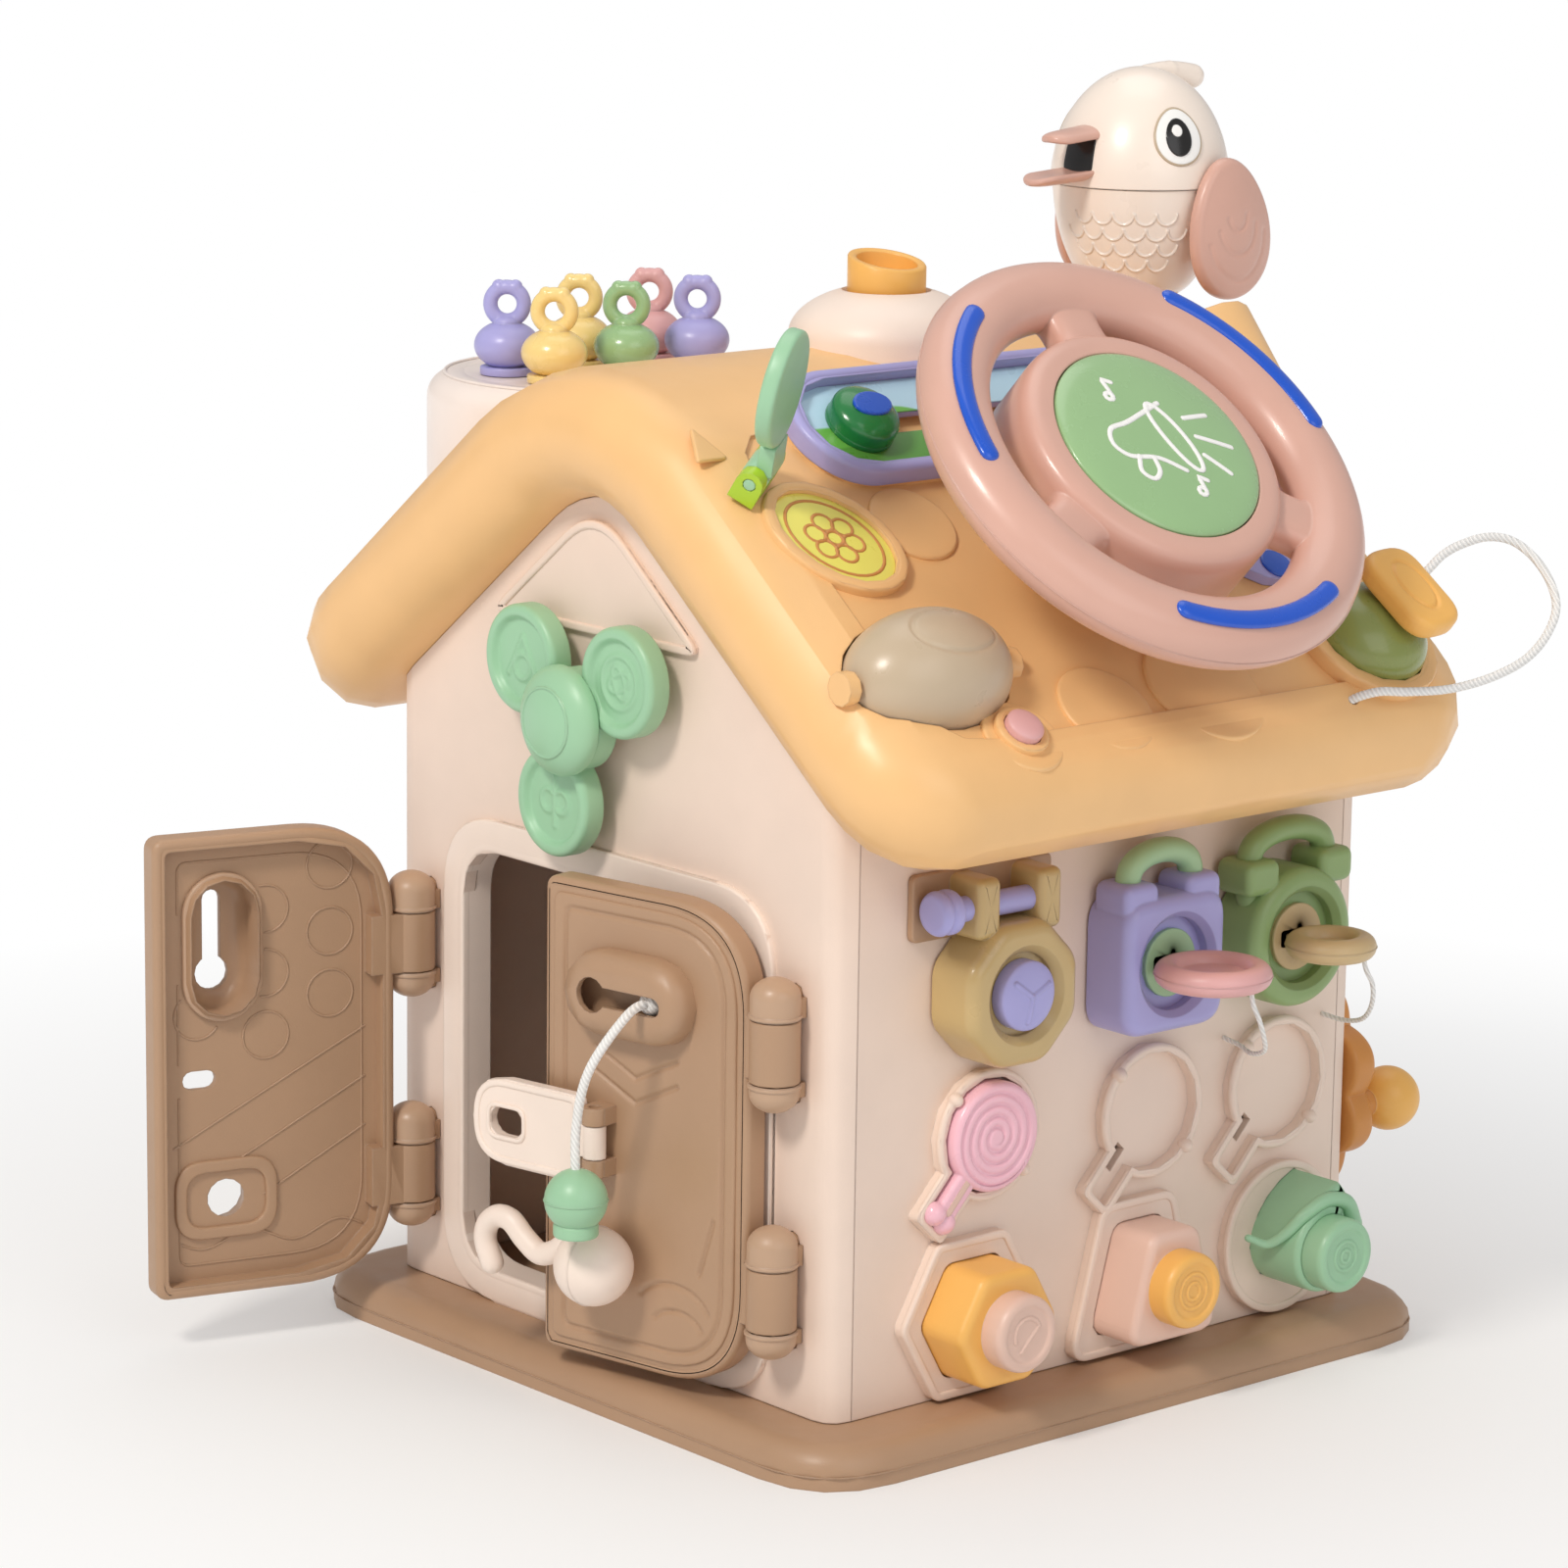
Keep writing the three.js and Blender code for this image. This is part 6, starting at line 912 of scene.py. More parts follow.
class HOUSE_OT_doors(bpy.types.Operator):
    """Finishes both doors: panels with grooves and ribs, knuckles, the hasp and the hooked knob."""
    bl_idname = "house.doors"
    bl_label = "Doors"
    bl_options = {"REGISTER", "UNDO"}

    def execute(self, context):
        soften("brown", "right_door left_door")
        depth, width, lines = size("groove_depth"), size("groove"), right_door_lines()
        panel = plate(door_outline(-14.5, -98.5, 26, 190, 33, 4), 2.2, 3.75, 0.9, count=420, rings=150,
                      relief=lambda x, y: -depth * near_line(x, y, lines, width))
        edge = door_outline(-9.4, -103.4, 21, 195, 38, 5, 14)
        rim = lip(edge, 0.15, 4.7, -6.6, 2.95, 2.6, 360)
        make_piece("right_door_panel", [panel, rim], "brown", "door_brown", RIGHT_DOOR, "right_door")
        rim = lip(edge * [-1, 1], 0.15, 4.7, -2.9, 6.95, 2.2, 360)
        collar = shifted(band(card(40, 30, 11), card(31, 21, 8), -0.4, 1.5, 0.8), *PIN_HOLE)
        make_piece("left_door_rim", [turned_over(rim), turned_over(collar)], "brown", "door_brown", LEFT_DOOR,
                   "left_door")
        knuckle = upright(rod(KNUCKLE, -11.1, 11.1, 0.6, 4, 64))
        knuckles = [shifted(knuckle, 0, height) for height in HINGE_HEIGHTS]
        for name, place in (("right", RIGHT_DOOR), ("left", LEFT_DOOR)):
            make_piece("door_knuckles_" + name, knuckles, "brown", "door_brown", place, name + "_door")
        runs = [run for line in left_door_lines() for run in clear_stretches(line)]
        make_piece("left_door_ribs", ribs(runs, size("rib"), 0.1, 0.7), "brown", "door_brown", LEFT_DOOR,
                   "left_door")
        pocket = turned_over(lip(pill(56, 31)[:, ::-1], 0, 2.4, -2.2, -0.4, 0.8, 240))
        # The pocket rim takes the lighter brown as painted light.
        make_piece("left_door_pocket", [shifted(pocket, *BOSS, -2.6)], "pale_brown", "door_brown", LEFT_DOOR,
                   "left_door")
        soften("cream", "latch_hasp")
        rim = lip(door_outline(-6, -55.6, -15.5, 15.5, 4, 15), 0, 2.6, 1.0, 2.7, 0.8, 240)
        collar = lip(card(18.5, 13.5, 5) + [-40, 0], 0, 1.6, 1.0, 2.9, 0.6, 160)
        make_piece("hasp_rims", [rim, collar], "cream", "trim_cream", HASP, "hasp")
        tail = [(-0.16, 0.5), (-0.3, 0.4), (-0.43, -0.1), (-0.55, -0.3), (-0.68, 0.1), (-0.8, 0.65),
                (-0.91, 0.7), (-1, 0.3), (-1.02, -0.3), (-0.96, -1.1)]
        wire = tube(smooth_path([(along * 56, across * 10, 8.2) for along, across in tail], 90), 4.2, 28)
        foot = revolve(rounded([[0, 0.3], [7, 0.3], [7, 3.5], [5.4, 5], [0, 8]], 1, 4), 64)
        seam = spun(hoop(ring(14.35, count=128), 0, 0.25), math.pi / 2, 1)
        parts = [shifted(ball(14.3), 0, 0, 14.6), wire, foot, shifted(seam, 0, 0, 14.6)]
        make_piece("hook_knob_shell", parts, "cream", "trim_cream", HOOK, "hook", "hook_knob")
        return {"FINISHED"}


class HOUSE_OT_spinner(bpy.types.Operator):
    """Builds the three-lobed spinner with its dished lobes and domed cap."""
    bl_idname = "house.spinner"
    bl_label = "Spinner"
    bl_options = {"REGISTER", "UNDO"}

    def execute(self, context):
        patterns = {
            32: [arc_line(0, 0, 6, turn=0.4, stretch=0.5), arc_line(0, 0, 6, turn=1.97, stretch=0.5),
                 arc_line(0, 0, 9.5)],
            147: strokes([[-8, -6], [0, 8], [8, -6]]) + [arc_line(0, -3, 4.5)],
            255: strokes([[0, -9], [0, 9]]) + [arc_line(-3.6, 0, 4), arc_line(3.6, 0, 4)],
        }
        shells = []
        for angle, pattern in patterns.items():
            turn = math.radians(angle)

            def relief(x, y, pattern=pattern):
                radius = np.hypot(x, y)
                share = np.clip((radius - 13.8) / 2.6, 0, 1)
                dish = -2.4 * (1 - share ** 2 * (3 - 2 * share))
                return dish + 0.9 * near_line(x, y, pattern, 1.1) * (radius < 13)

            lobe = plate(ring(20), 0, 9, 2.4, relief=relief, count=144, rings=44, foot_edge=1)
            shells.append(shifted(lobe, 32.5 * math.cos(turn), 32.5 * math.sin(turn)))
        shells.append(plate(ring(18.5), 0, 8.6, 1, count=96, rings=6))
        make_piece("spinner_lobes", shells, "mint", "mint", SPINNER, "spinner", "spinner_rotor")
        cap, foot, rise, crease = 20, 11.2, 9.1, 12.5
        side = [[0, 9.3], [cap - 0.6, 9.3], [cap, 9.9], [cap, foot]]
        dome = revolve(side + arc_up(cap, rise, foot, 24)[1:])
        line = hoop(ring(crease), foot + rise * math.sqrt(1 - (crease / cap) ** 2), 0.5)
        make_piece("spinner_dome", [dome, line, stop_pin(6, 4, -12.8, 9.5)], "mint", "mint", SPINNER, "house",
                   "spinner_cap")
        return {"FINISHED"}


def spoke():
    """Spoke that flares at both ends: a squared circle carried outwards and scaled."""
    share, section = np.linspace(0, 1, 25)[:, None], turns(40)
    ends = np.abs(2 * share - 1)
    reach = np.repeat(44 + share * 27, 40, 1)
    across = 11 * (1 + 1.1 * ends ** 3) * squared(np.cos(section), 0.6)
    lift = 6.8 * (1 + 0.12 * ends ** 2) * squared(np.sin(section), 0.6) - 0.6
    return np.stack([reach, across, lift], -1)


def horn_lines():
    """Print on the horn button: a plain loudhailer with three rays and two notes."""
    back = smooth_path([(7, 14.5), (-12, 8), (-21, 6), (-23.5, 0), (-20, -5.5), (-8, -8.5), (1, -15)], 60)
    handle = smooth_path([(-16, -6.6), (-18.5, -13), (-15, -16.5), (-11, -14), (-10, -8.2)], 30)
    lines = [arc_line(5, -0.5, 4.6, stretch=3.4, turn=0.2), back, handle]
    lines += strokes([(14.5, 7), (26, 7.5)], [(15, -1.4), (29, -7)], [(13.5, -9.5), (21, -18)])
    for x, y, tall in ((-12, 20, 8), (3, -24, 6)):
        lines.append(arc_line(x, y, 1.6))
        lines += strokes([[x + 1.6, y], [x + 1.6, y + tall], [x + 4.8, y + tall - 2]])
    return lines


class HOUSE_OT_wheel(bpy.types.Operator):
    """Builds the steering wheel: rim with raised arcs, hub, spokes, column and horn button."""
    bl_idname = "house.wheel"
    bl_label = "Steering wheel"
    bl_options = {"REGISTER", "UNDO"}

    def execute(self, context):
        rim = hoop(ring(WHEEL_RADIUS, count=200), 0, 13, 48, 11.5 / 13)
        seam = hoop(ring(88.1, count=200), 0, 0.28)
        hub = [[0, -8], [9.3, -8], [9.3, -20], [14.3, -20], [14.3, -6.3], [47, -6.3], [47, -20], [52, -20],
               [52, 4.6], [50.4, 8.6], [47, 10], [41.2, 10], [40.9, 9.6], [40.9, -1.3], [0, -1.3]]
        reach = [0, 0, 0.5, 0.5, 1, 1, 0.5, 1.2, 3, 2.6, 2, 0.6, 0.4, 0.3, 0]
        shells = [rim, seam, revolve(rounded(hub, reach, 4), 128)]
        shells += [spun(spoke(), math.radians(angle)) for angle in (85, 205, 325)]
        make_piece("wheel_shell", shells, "dusty", "dusty_rose", WHEEL, "wheel", "steering_wheel")
        arcs = []
        for start, end in ((126, 177), (1, 52), (243, 296)):
            sweep = np.radians(np.linspace(start, end, 40))
            path = level(77.5 * np.column_stack([np.cos(sweep), np.sin(sweep)]), 11.0)
            arcs.append(tube(path, size("rim_arc"), 24, 0.5))
        make_piece("wheel_arcs", arcs, "blue", "lavender", WHEEL, "wheel")
        side = rounded([[0, 2], [40, 2], [HORN_RADIUS, 2.5], [HORN_RADIUS, HORN_EDGE]], 0.4, 3).tolist()
        cap = revolve(side + arc_up(HORN_RADIUS, HORN_CROWN, HORN_EDGE, 30)[1:], 128)
        make_piece("horn_cap", [cap], "sage", "sage", WHEEL, "horn", "horn_button")
        print_lines = []
        for line in horn_lines():
            spots = paced(line, 1.0, 6)
            share = np.sum(spots ** 2, 1) / HORN_RADIUS ** 2
            height = HORN_EDGE + HORN_CROWN * np.sqrt(np.maximum(1 - share, 0)) + 0.02
            print_lines.append(tube(level(spots, height), size("print_line"), 10, 0.3))
        make_piece("horn_print", print_lines, "white", "cord_white", WHEEL, "horn")
        make_piece("wheel_column", [rod(21.1, -58, -20.8, 1, 4)], "roof", "roof_peach", WHEEL)
        return {"FINISHED"}


class HOUSE_OT_roof(bpy.types.Operator):
    """Finishes the roof: its rings and raised marks, chute, perch, dome and spout."""
    bl_idname = "house.roof"
    bl_label = "Roof"
    bl_options = {"REGISTER", "UNDO"}

    def execute(self, context):
        soften("roof", "roof_shell", 40.0)
        rings = [shifted(sleeve(22.65, 27.8, -1, 6.1, 1.3, 5), 92, -74),
                 shifted(sleeve(7.35, 10.1, -1, 4.1, 0.8, 4, 64), -89, -89)]
        make_piece("roof_rings", rings, "roof", "roof_peach", SLOPE)
        oval = band(ring(23.15, 28.15), ring(18.8, 23.8), -1, 3.75, 1.3)
        make_piece("disc_ring", [oval], "roof", "roof_peach", DISC)
        scallops = [shifted(plate(ring(radius), -3, 1.5, 1.0, count=160, rings=8), x, y)
                    for x, y, radius in ((-88, -90, 15.5), (-44, -84, 19), (5, -82, 24), (-70, 8, 17))]
        make_piece("roof_reliefs", scallops, "roof", "roof_peach", SLOPE)
        corner = rounded([[-144, 46], [-130, 46], [-137, 62]], 2, 5, closed=True)
        notch = plate(corner, 1.2, 2.6, 0.6, count=96, rings=6)
        make_piece("roof_notch", [notch], "roof", "roof_peach", SLOPE)
        tubes = [sleeve(13.9, 19.1, 0, 52.2, 1.4, 5), sleeve(18.9, 20.2, 34, 37, 0.5, 3)]
        make_piece("chute_shell", tubes, "roof", "roof_peach", CHUTE)
        perch = shifted(rod(17.1, 345, 380.6, 2, 5), 0, 128.5)
        make_piece("bird_perch", [perch], "roof", "roof_peach", HOUSE)
        dome = [spot for spot in domed(36, -12, 2, 19, 24) if spot[1] <= 16 or spot[0] > 15.2]
        dome = shifted(revolve(dome + [[15.2, 15.9], [0, 15.9]]), 0, 0, 373)
        make_piece("dome_shell", [dome], "cream", "trim_cream", HOUSE, "house", "dome_base")
        angle = turns(FINE)
        rows = []
        for radius, height, slope in (
                (0, -9, 0), (6, -9, 0), (6, 0, 0), (14, 0, 0), (14.5, 0.6, 0), (14.5, 13.2, 6 / 29),
                (14.1, 13.8, 6 / 29), (13.2, 14, 6 / 29), (12, 13.9, 6 / 29), (11.2, 13.3, 6 / 29),
                (11, 4, 0), (0, 3.6, 0)):
            loop = np.column_stack([radius * np.cos(angle), radius * np.sin(angle)])
            rows.append(level(loop, height - slope * loop[:, 0]))
        spout = shifted(np.stack(rows), 0, 0, 389)
        make_piece("spout_shell", [spout], "amber", "amber", HOUSE, "spout", "dome_spout")
        return {"FINISHED"}


class HOUSE_OT_slope_toys(bpy.types.Operator):
    """Builds the toys on the slope: tray, slider, disc with its flap, egg, stud and dial."""
    bl_idname = "house.slope_toys"
    bl_label = "Slope toys"
    bl_options = {"REGISTER", "UNDO"}

    def execute(self, context):
        soften("lavender", "picture_tray")
        colours = context.scene.house_colours
        picture = landscape(colours.sky, colours.hill)
        FINISHES["picture"] = plastic("tray_picture", colours.sky, roughness=0.3, coat=0.3, ink=picture)
        sheet = band(pill(157.6, 40.6), pill(118.4, 9.4), 2.52, 2.95, 0.15)
        make_piece("tray_picture", [sheet], "picture", "lavender", TRAY)
        rim = band(pill(167.4, 50.4), pill(157.8, 40.8), -0.3, 7.4, 2.0)
        make_piece("tray_rim", [rim], "lavender", "lavender", TRAY)
        spot = revolve(rounded([[0, 4.2], [6.5, 4.2], [6.5, 5.2], [0, 5.6]], 0.5, 4), 64)
        make_piece("arm_dot", [shifted(spot, 75, -35)], "blue", "lavender", SLOPE)
        knob = revolve([[0, 0], [13, 0]] + arc_up(13, 6, 6, 20))
        shells = [knob, stop_pin(6, 3.6, -5.1, 1), rod(13.2, 0, 2.2, 0.8, 4, 72)]
        make_piece("slider_shell", shells, "deep_green", "deep_green", SLIDER, "slider", "slider_knob")
        top = plate(ring(8.2, 5.6), 11.0, 12.3, 0.5, crown=0.1, count=96, rings=10)
        make_piece("slider_top", [top], "blue", "deep_green", SLIDER, "slider")
        face = plate(ring(18.7, 23.7), 1.3, 2.1, 0.3, count=160, rings=12)
        make_piece("disc_face", [face], "disc", "pale_yellow", DISC)
        petals = [arc_line(7.5 * math.cos(turn), 7.5 * math.sin(turn), 4.0) for turn in turns(6)]
        petals += [arc_line(0, 0, 3.2), arc_line(0, 0, 15.5, stretch=1.25)]
        make_piece("disc_motif", ribs(petals, 0.65, 2.1, 0.5), "crank", "crank_orange", DISC)
        soften("lime", "flap_bracket")
        foot = -5.9
        lid = plate(ring(19, 21.5), foot, foot + 6, 1.8, crown=0.5, count=160, rings=20, foot_edge=1.5)
        line = hoop(ring(13, 15), foot + 6.5, 0.6, 10, 0.6)
        strap = plate(card(13, 12, 1), foot, foot + 6, 1, count=96, rings=6)
        shells = [shifted(lid, 0, -34), shifted(strap, 0, -7), on_side(rod(5, -6.5, 6.5, 0.6, 4, 64)),
                  on_side(rod(2.2, -11.8, 11.8, 0.4, 3, 32)), shifted(line, 0, -34)]
        make_piece("flap_shell", shells, "mint", "mint", FLAP, "flap", "flap")
        latitude, longitude = np.meshgrid(np.linspace(-np.pi / 2, np.pi / 2, 200), turns(300), indexing="ij")
        beside = (longitude.ravel() - 1.45 + np.pi) % (2 * np.pi) - np.pi
        oval = [arc_line(0, 0, 16.8, stretch=0.6)]
        groove = near_line((latitude.ravel() - 0.09) * 30, beside * 20, oval, 0.75)
        reach = 23.5 * np.cos(latitude) * (1 - 0.03 * groove.reshape(latitude.shape))
        egg = np.stack([33.5 * np.sin(latitude), reach * np.cos(longitude), reach * np.sin(longitude)], -1)
        pins = on_side(rod(3, -37.4, 37.4, steps=32))
        make_piece("egg_shell", [egg, pins], "taupe", "taupe", EGG, "egg", "egg_roller")
        stud = revolve(domed(6.9, 0, 6, 2.1, 14), 64)
        make_piece("stud_shell", [stud], "pink", "pink", STUD, "egg_button", "egg_button")
        dial = revolve(domed(22, -7.7, 6, 15, 28))
        make_piece("dial_shell", [dial], "olive", "olive", DIAL, "dial", "green_dial")
        return {"FINISHED"}


class HOUSE_OT_pegs(bpy.types.Operator):
    """Builds the drum's rounded skin and its six pegs."""
    bl_idname = "house.pegs"
    bl_label = "Pegs"
    bl_options = {"REGISTER", "UNDO"}

    def execute(self, context):
        soften("drum", "peg_drum")
        angle = np.linspace(0, np.pi / 2, 12)
        edge = np.stack([56.1 + 9 * np.cos(angle), -8.9 + 9 * np.sin(angle)], 1).tolist()
        skin = [[51, -40], [65.1, -95], [65.1, -9]] + edge + [[51.5, 0.1], [51, -0.2], [51, -40]]
        skins = [revolve(skin, 160), hoop(ring(58.5), 0.15, 0.6, 10)]
        make_piece("drum_skin", skins, "drum", "drum_cream", DRUM)
        looks = (("lavender", "lavender"), ("yellow", "pale_yellow"), ("pink", "pink"),
                 ("yellow", "pale_yellow"), ("sage", "sage"), ("lavender", "lavender"))
        places = [(row * 14, step * 34) for row in (-1, 1) for step in (-1, 0, 1)]
        bulb = np.linspace(-math.pi / 3, math.pi / 2, 36)
        middle = 3 + 9 * math.sin(math.pi / 3)
        top = middle + 9
        swell = np.stack([12.2 * np.cos(bulb), middle + 9 * np.sin(bulb)], 1).tolist()
        profile = [[0, -12], [7.5, -12], [7.5, 0], [9.7, 0], [10, 0.4], [10, 2.6], [9.6, 3]] + swell
        shells = [revolve(profile, 72), standing_hoop(6.2, top + 6.2, 2.7, 20, 72),
                  shifted(ball(5.2, 0.5, 20, 32), 0, 0, top - 0.4)]
        shells += [shifted(ball(2.6, 1, 20, 28), side * 3.1, 0, top + 12.6) for side in (-1, 1)]
        for index, ((x, y), (tone, slot)) in enumerate(zip(places, looks), 1):
            place = DRUM.child(x, y, SEAT, math.radians(45), 2)
            make_piece("peg_shell_%d" % index, shells, tone, slot, place, "peg_%d" % index, "peg_%d" % index)
        return {"FINISHED"}


def head_reach(height):
    """Radius of the bird's head at a height, a quarter ellipse above its foot."""
    share = (height - HEAD_FOOT) / (HEAD_TOP - HEAD_FOOT)
    return HEAD_RADIUS * np.sqrt(np.maximum(1 - share ** 2, 0))


def on_head(grid, bearing, height):
    """Wraps a flat shape on the head: x becomes a bearing, y a height and z a step outwards."""
    z = height + grid[..., 1] * 0.93
    turn = bearing + grid[..., 0] / head_reach(height)
    reach = head_reach(z) + grid[..., 2]
    return np.stack([reach * np.cos(turn), reach * np.sin(turn), z + grid[..., 2] * 0.3], -1)


def beak_half(first, last, base, tip, reach, high, curl):
    """Flat lip that runs out from the head, narrows, rounds off at its tip, and curls across."""
    share, section = np.linspace(0, 1, 48)[:, None], turns(48)
    rounding = np.sqrt(np.maximum(1 - np.clip((share - 0.72) / 0.28, 0, 1) ** 2, 0)) + 0.002
    across = (base + (tip - base) * share) * rounding * squared(np.cos(section), 0.7)
    lift = first + (last - first) * share + curl * (across / 8) ** 2
    lift = lift + high * (0.35 + 0.65 * rounding) * squared(np.sin(section), 0.8)
    grid = np.stack([across, np.repeat(-26 - reach * share, 48, 1), lift], -1)
    ends = [np.broadcast_to(grid[end].mean(0), (1, 48, 3)) for end in (0, -1)]
    return np.concatenate([ends[0], grid, ends[1]])


class HOUSE_OT_bird(bpy.types.Operator):
    """Builds the bird: body with feathers, head with crest and eyes, painted glints on the pupils and painted
    shade in the mouth, two lips, and wings.
    """
    bl_idname = "house.bird"
    bl_label = "Bird"
    bl_options = {"REGISTER", "UNDO"}

    def execute(self, context):
        shares = [[0.4, 0], [0.58, 0.1], [0.73, 0.27], [0.86, 0.5], [0.94, 0.75], [0.98, 1]]
        shape = smooth_path([[across * HEAD_RADIUS, up * 43] for across, up in shares], 40)
        body = revolve([[0, 0]] + shape.tolist() + [[33.0, 43], [20, 43], [20, 48], [0, 48]], 128)
        feathers = []
        radius, breast = size("feather"), math.radians(-55)
        for row, height in enumerate((34, 28, 22, 16)):
            girth = float(np.interp(height, shape[:, 1], shape[:, 0]))
            for column in range(-3, 4):
                middle = breast + (column + 0.5 * (row % 2)) * 2 * radius / girth
                if abs(middle - breast) > 0.75:
                    continue
                line = arc_line(0, 0, radius * 0.95, 180, 360)
                bearing, z = middle + line[:, 0] / girth, height + line[:, 1]
                reach = np.interp(z, shape[:, 1], shape[:, 0])
                path = np.column_stack([reach * np.cos(bearing), reach * np.sin(bearing), z])
                feathers.append(tube(path, 0.5, 8))
        make_piece("bird_body_shell", [body] + feathers, "bird", "trim_cream", BIRD, "house", "bird_body")
        crown = arc_up(HEAD_RADIUS, HEAD_TOP - HEAD_FOOT, HEAD_FOOT, 44)
        head = revolve([[20.8, HEAD_FOOT + 6], [20.8, HEAD_FOOT], [33.4, HEAD_FOOT]] + crown, 128)
        inner = revolve([[0, HEAD_FOOT + 8], [20.8, HEAD_FOOT + 6]], 128)
        tuft = smooth_path([(0, 2, 84), (0, 12, 84.5), (0, 20, 83.6), (0, 26.5, 82.2)], 40)
        shells = [head, inner, tube(tuft, np.linspace(3.6, 4.7, 40), 24, up=(1, 0, 0)),
                  shifted(ball(4.0, 1, 24, 32), 0, 14, 84.6)]
        make_piece("bird_head_shell", shells, "bird", "trim_cream", BIRD, "bird_head", "bird_head")
        patches = []
        tall = size("eye")
        for hand in (-1, 1):
            bearing = math.radians(-90 + hand * 73.3)
            for grid, x, y, mark in (
                    (plate(ring(tall * 0.86, tall), -1.5, 0.7, 0.5, crown=0.3, count=128, rings=14), 0, 0, 0),
                    (hoop(ring(tall * 0.88, tall * 1.02, 128), 0.1, 0.55, 10), 0, 0, 2),
                    (plate(ring(tall * 0.47, tall * 0.69), -0.5, 1.3, 0.3, crown=0.3, count=96, rings=12),
                     -hand * 0.5, -0.3, 1),
                    # Painted highlight: a white glint on each pupil.
                    (plate(ring(2.0, 2.3), 0.6, 1.85, 0.2, count=48, rings=4), -hand * 1.2, 2.2, 0)):
                patches.append((on_head(shifted(grid, x, y), bearing, 62.8), mark))
        # Painted shade: a black plate on the head between the two lips stands for the dark inside of the open
        # beak.
        mouth = plate(card(15, 15, 3), -1.5, 0.35, 0.3, count=120, rings=24)
        patches.append((on_head(mouth, -math.pi / 2, 55.5), 1))
        make_piece("bird_eyes", patches, "white black taupe", "cord_white", BIRD, "bird_head")
        lips = [beak_half(64.4, 61.8, 8.2, 7.0, 23, 2.1, -1.6), beak_half(47.6, 45.8, 8.8, 8.2, 32, 1.9, 1.6)]
        make_piece("bird_lips", lips, "dusty", "dusty_rose", BIRD, "bird_head", "bird_beak")
        for hand, name in ((1, "right"), (-1, "left")):
            outline = ring(20, 27)
            outline[:, 0] *= 1 - 0.16 * outline[:, 1] / 27
            lines = [arc_line(0, 0, 14.5, 190, 350, 1.35), arc_line(0, 3, 9.5, 190, 350, 1.3),
                     arc_line(0, 6, 4.8, 190, 350, 1.3)]
            wing = plate(outline, 0, 5.2, 3.2, crown=2.6, count=192, rings=36, foot_edge=1,
                         relief=lambda x, y: -0.5 * near_line(x, y, lines, 1.0))
            # Local x runs back along the bird, y up and z out of its side.
            place = Place(BIRD.put([hand * 34.6, 0, 31]), [[0, 1, 0], [0, 0, 1], [hand, 0, 0]])
            shells = [shifted(spun(wing, math.radians(9)), 12, -3), rod(3, -10, 1, steps=32)]
            make_piece("wing_shell_" + name, shells, "dusty", "dusty_rose", place, "wing_" + name,
                       "wing_" + name)
        return {"FINISHED"}


def lock_body(outline, dish, deep, soft=2.4, count=240):
    """Block with rounded edges: an outer ring, a round wall down to a dished floor, and the floor."""
    loop = evenly(np.asarray(outline, float), count)
    spots = np.arctan2(loop[:, 1], loop[:, 0])
    inner = np.stack([dish * np.cos(spots), dish * np.sin(spots)], 1)
    normal = outward(loop)
    rows = [level(loop * 0, SEAT), level(loop - normal, SEAT), level(loop, SEAT + 1)]
    rows += round_edge(loop, normal, LOCK_FRONT, 5, np.linspace(0, np.pi / 2, 9))
    for turn in np.linspace(np.pi / 2, 0, 8):
        rise = math.sin(turn)
        rows.append(level(inner * (1 + soft * rise / dish), LOCK_FRONT - soft * (1 - rise)))
    rows += [level(inner, LOCK_FRONT - deep), level(inner * 0, LOCK_FRONT - deep)]
    return np.stack(rows)


def ring_key(radius):
    """Torus key with a thin web, a moulded line round it, and a flat blade."""
    centre = SEAT + radius + KEY_WIRE
    web = upright(plate(ring(radius - 2, count=96), -0.9, 0.9, 0.3, count=96, rings=8))
    return [standing_hoop(radius, centre, KEY_WIRE, 32, 120), shifted(web, 0, 0, centre),
            standing_hoop(radius + 4.65, centre, 0.22, 8, 120),
            plate(card(12, 3.4, 0.8), -10, 5, 0.5, count=64, rings=4)]


def build_lock(name, place, outline, gap, leg, key_radius, case, bow, turner, key):
    """Padlock with shoulders, its shackle, its slotted rotor and the ring key in it.
    Each look is a colour and a material slot, and the slot is not used."""
    shoulder = plate(card(17, 13, 4.5), 2.8, 19.9, 3.2, count=120, rings=10, foot_edge=2)
    shells = [lock_body(outline, 17, 6)] + [shifted(shoulder, sign * gap / 2, 24.2) for sign in (-1, 1)]
    make_piece("lock_shell_" + name, shells, *case, place, "house", "padlock_" + name)
    foot = 30 + leg
    heights = [16, 23, 30, foot]
    angles = [math.pi - (step + 1) * math.pi / 7 for step in range(6)]
    path = ([(-gap / 2, height, 0) for height in heights]
            + [(gap / 2 * math.cos(angle), foot + 8.5 * math.sin(angle), 0) for angle in angles]
            + [(gap / 2, height, 0) for height in heights[::-1]])
    shackle = "shackle_" + name
    bar = tube(smooth_path(path, 120), 4.6, 32)
    make_piece("shackle_shell_" + name, [bar], *bow, place.child(0, 0, 11.3), shackle, shackle)
    rotor = place.child(0, 0, 6.3)
    soften(turner[0], "rotor_" + name)
    face = band(ring(12.45), card(16.4, 5.4, 1), 11.0, 12.25, 0.5)
    make_piece("rotor_face_" + name, [face], *turner, rotor, "rotor_" + name)
    make_piece("key_%s_shell" % key, ring_key(key_radius), key, key, rotor.child(0, 0, 12), "key_" + key,
               "key_" + key)


def swirl(x, y):
    """Spiral groove of the lollipop: it lies where the radius over its pace, less the turn, is a half."""
    radius = np.hypot(x, y)
    turn = np.arctan2(y, x) / (2 * np.pi)
    return -0.9 * np.exp(-((((radius / 4.1 - turn) % 1) - 0.5) / 0.2) ** 2) * (radius > 2.5) * (radius < 18.6)


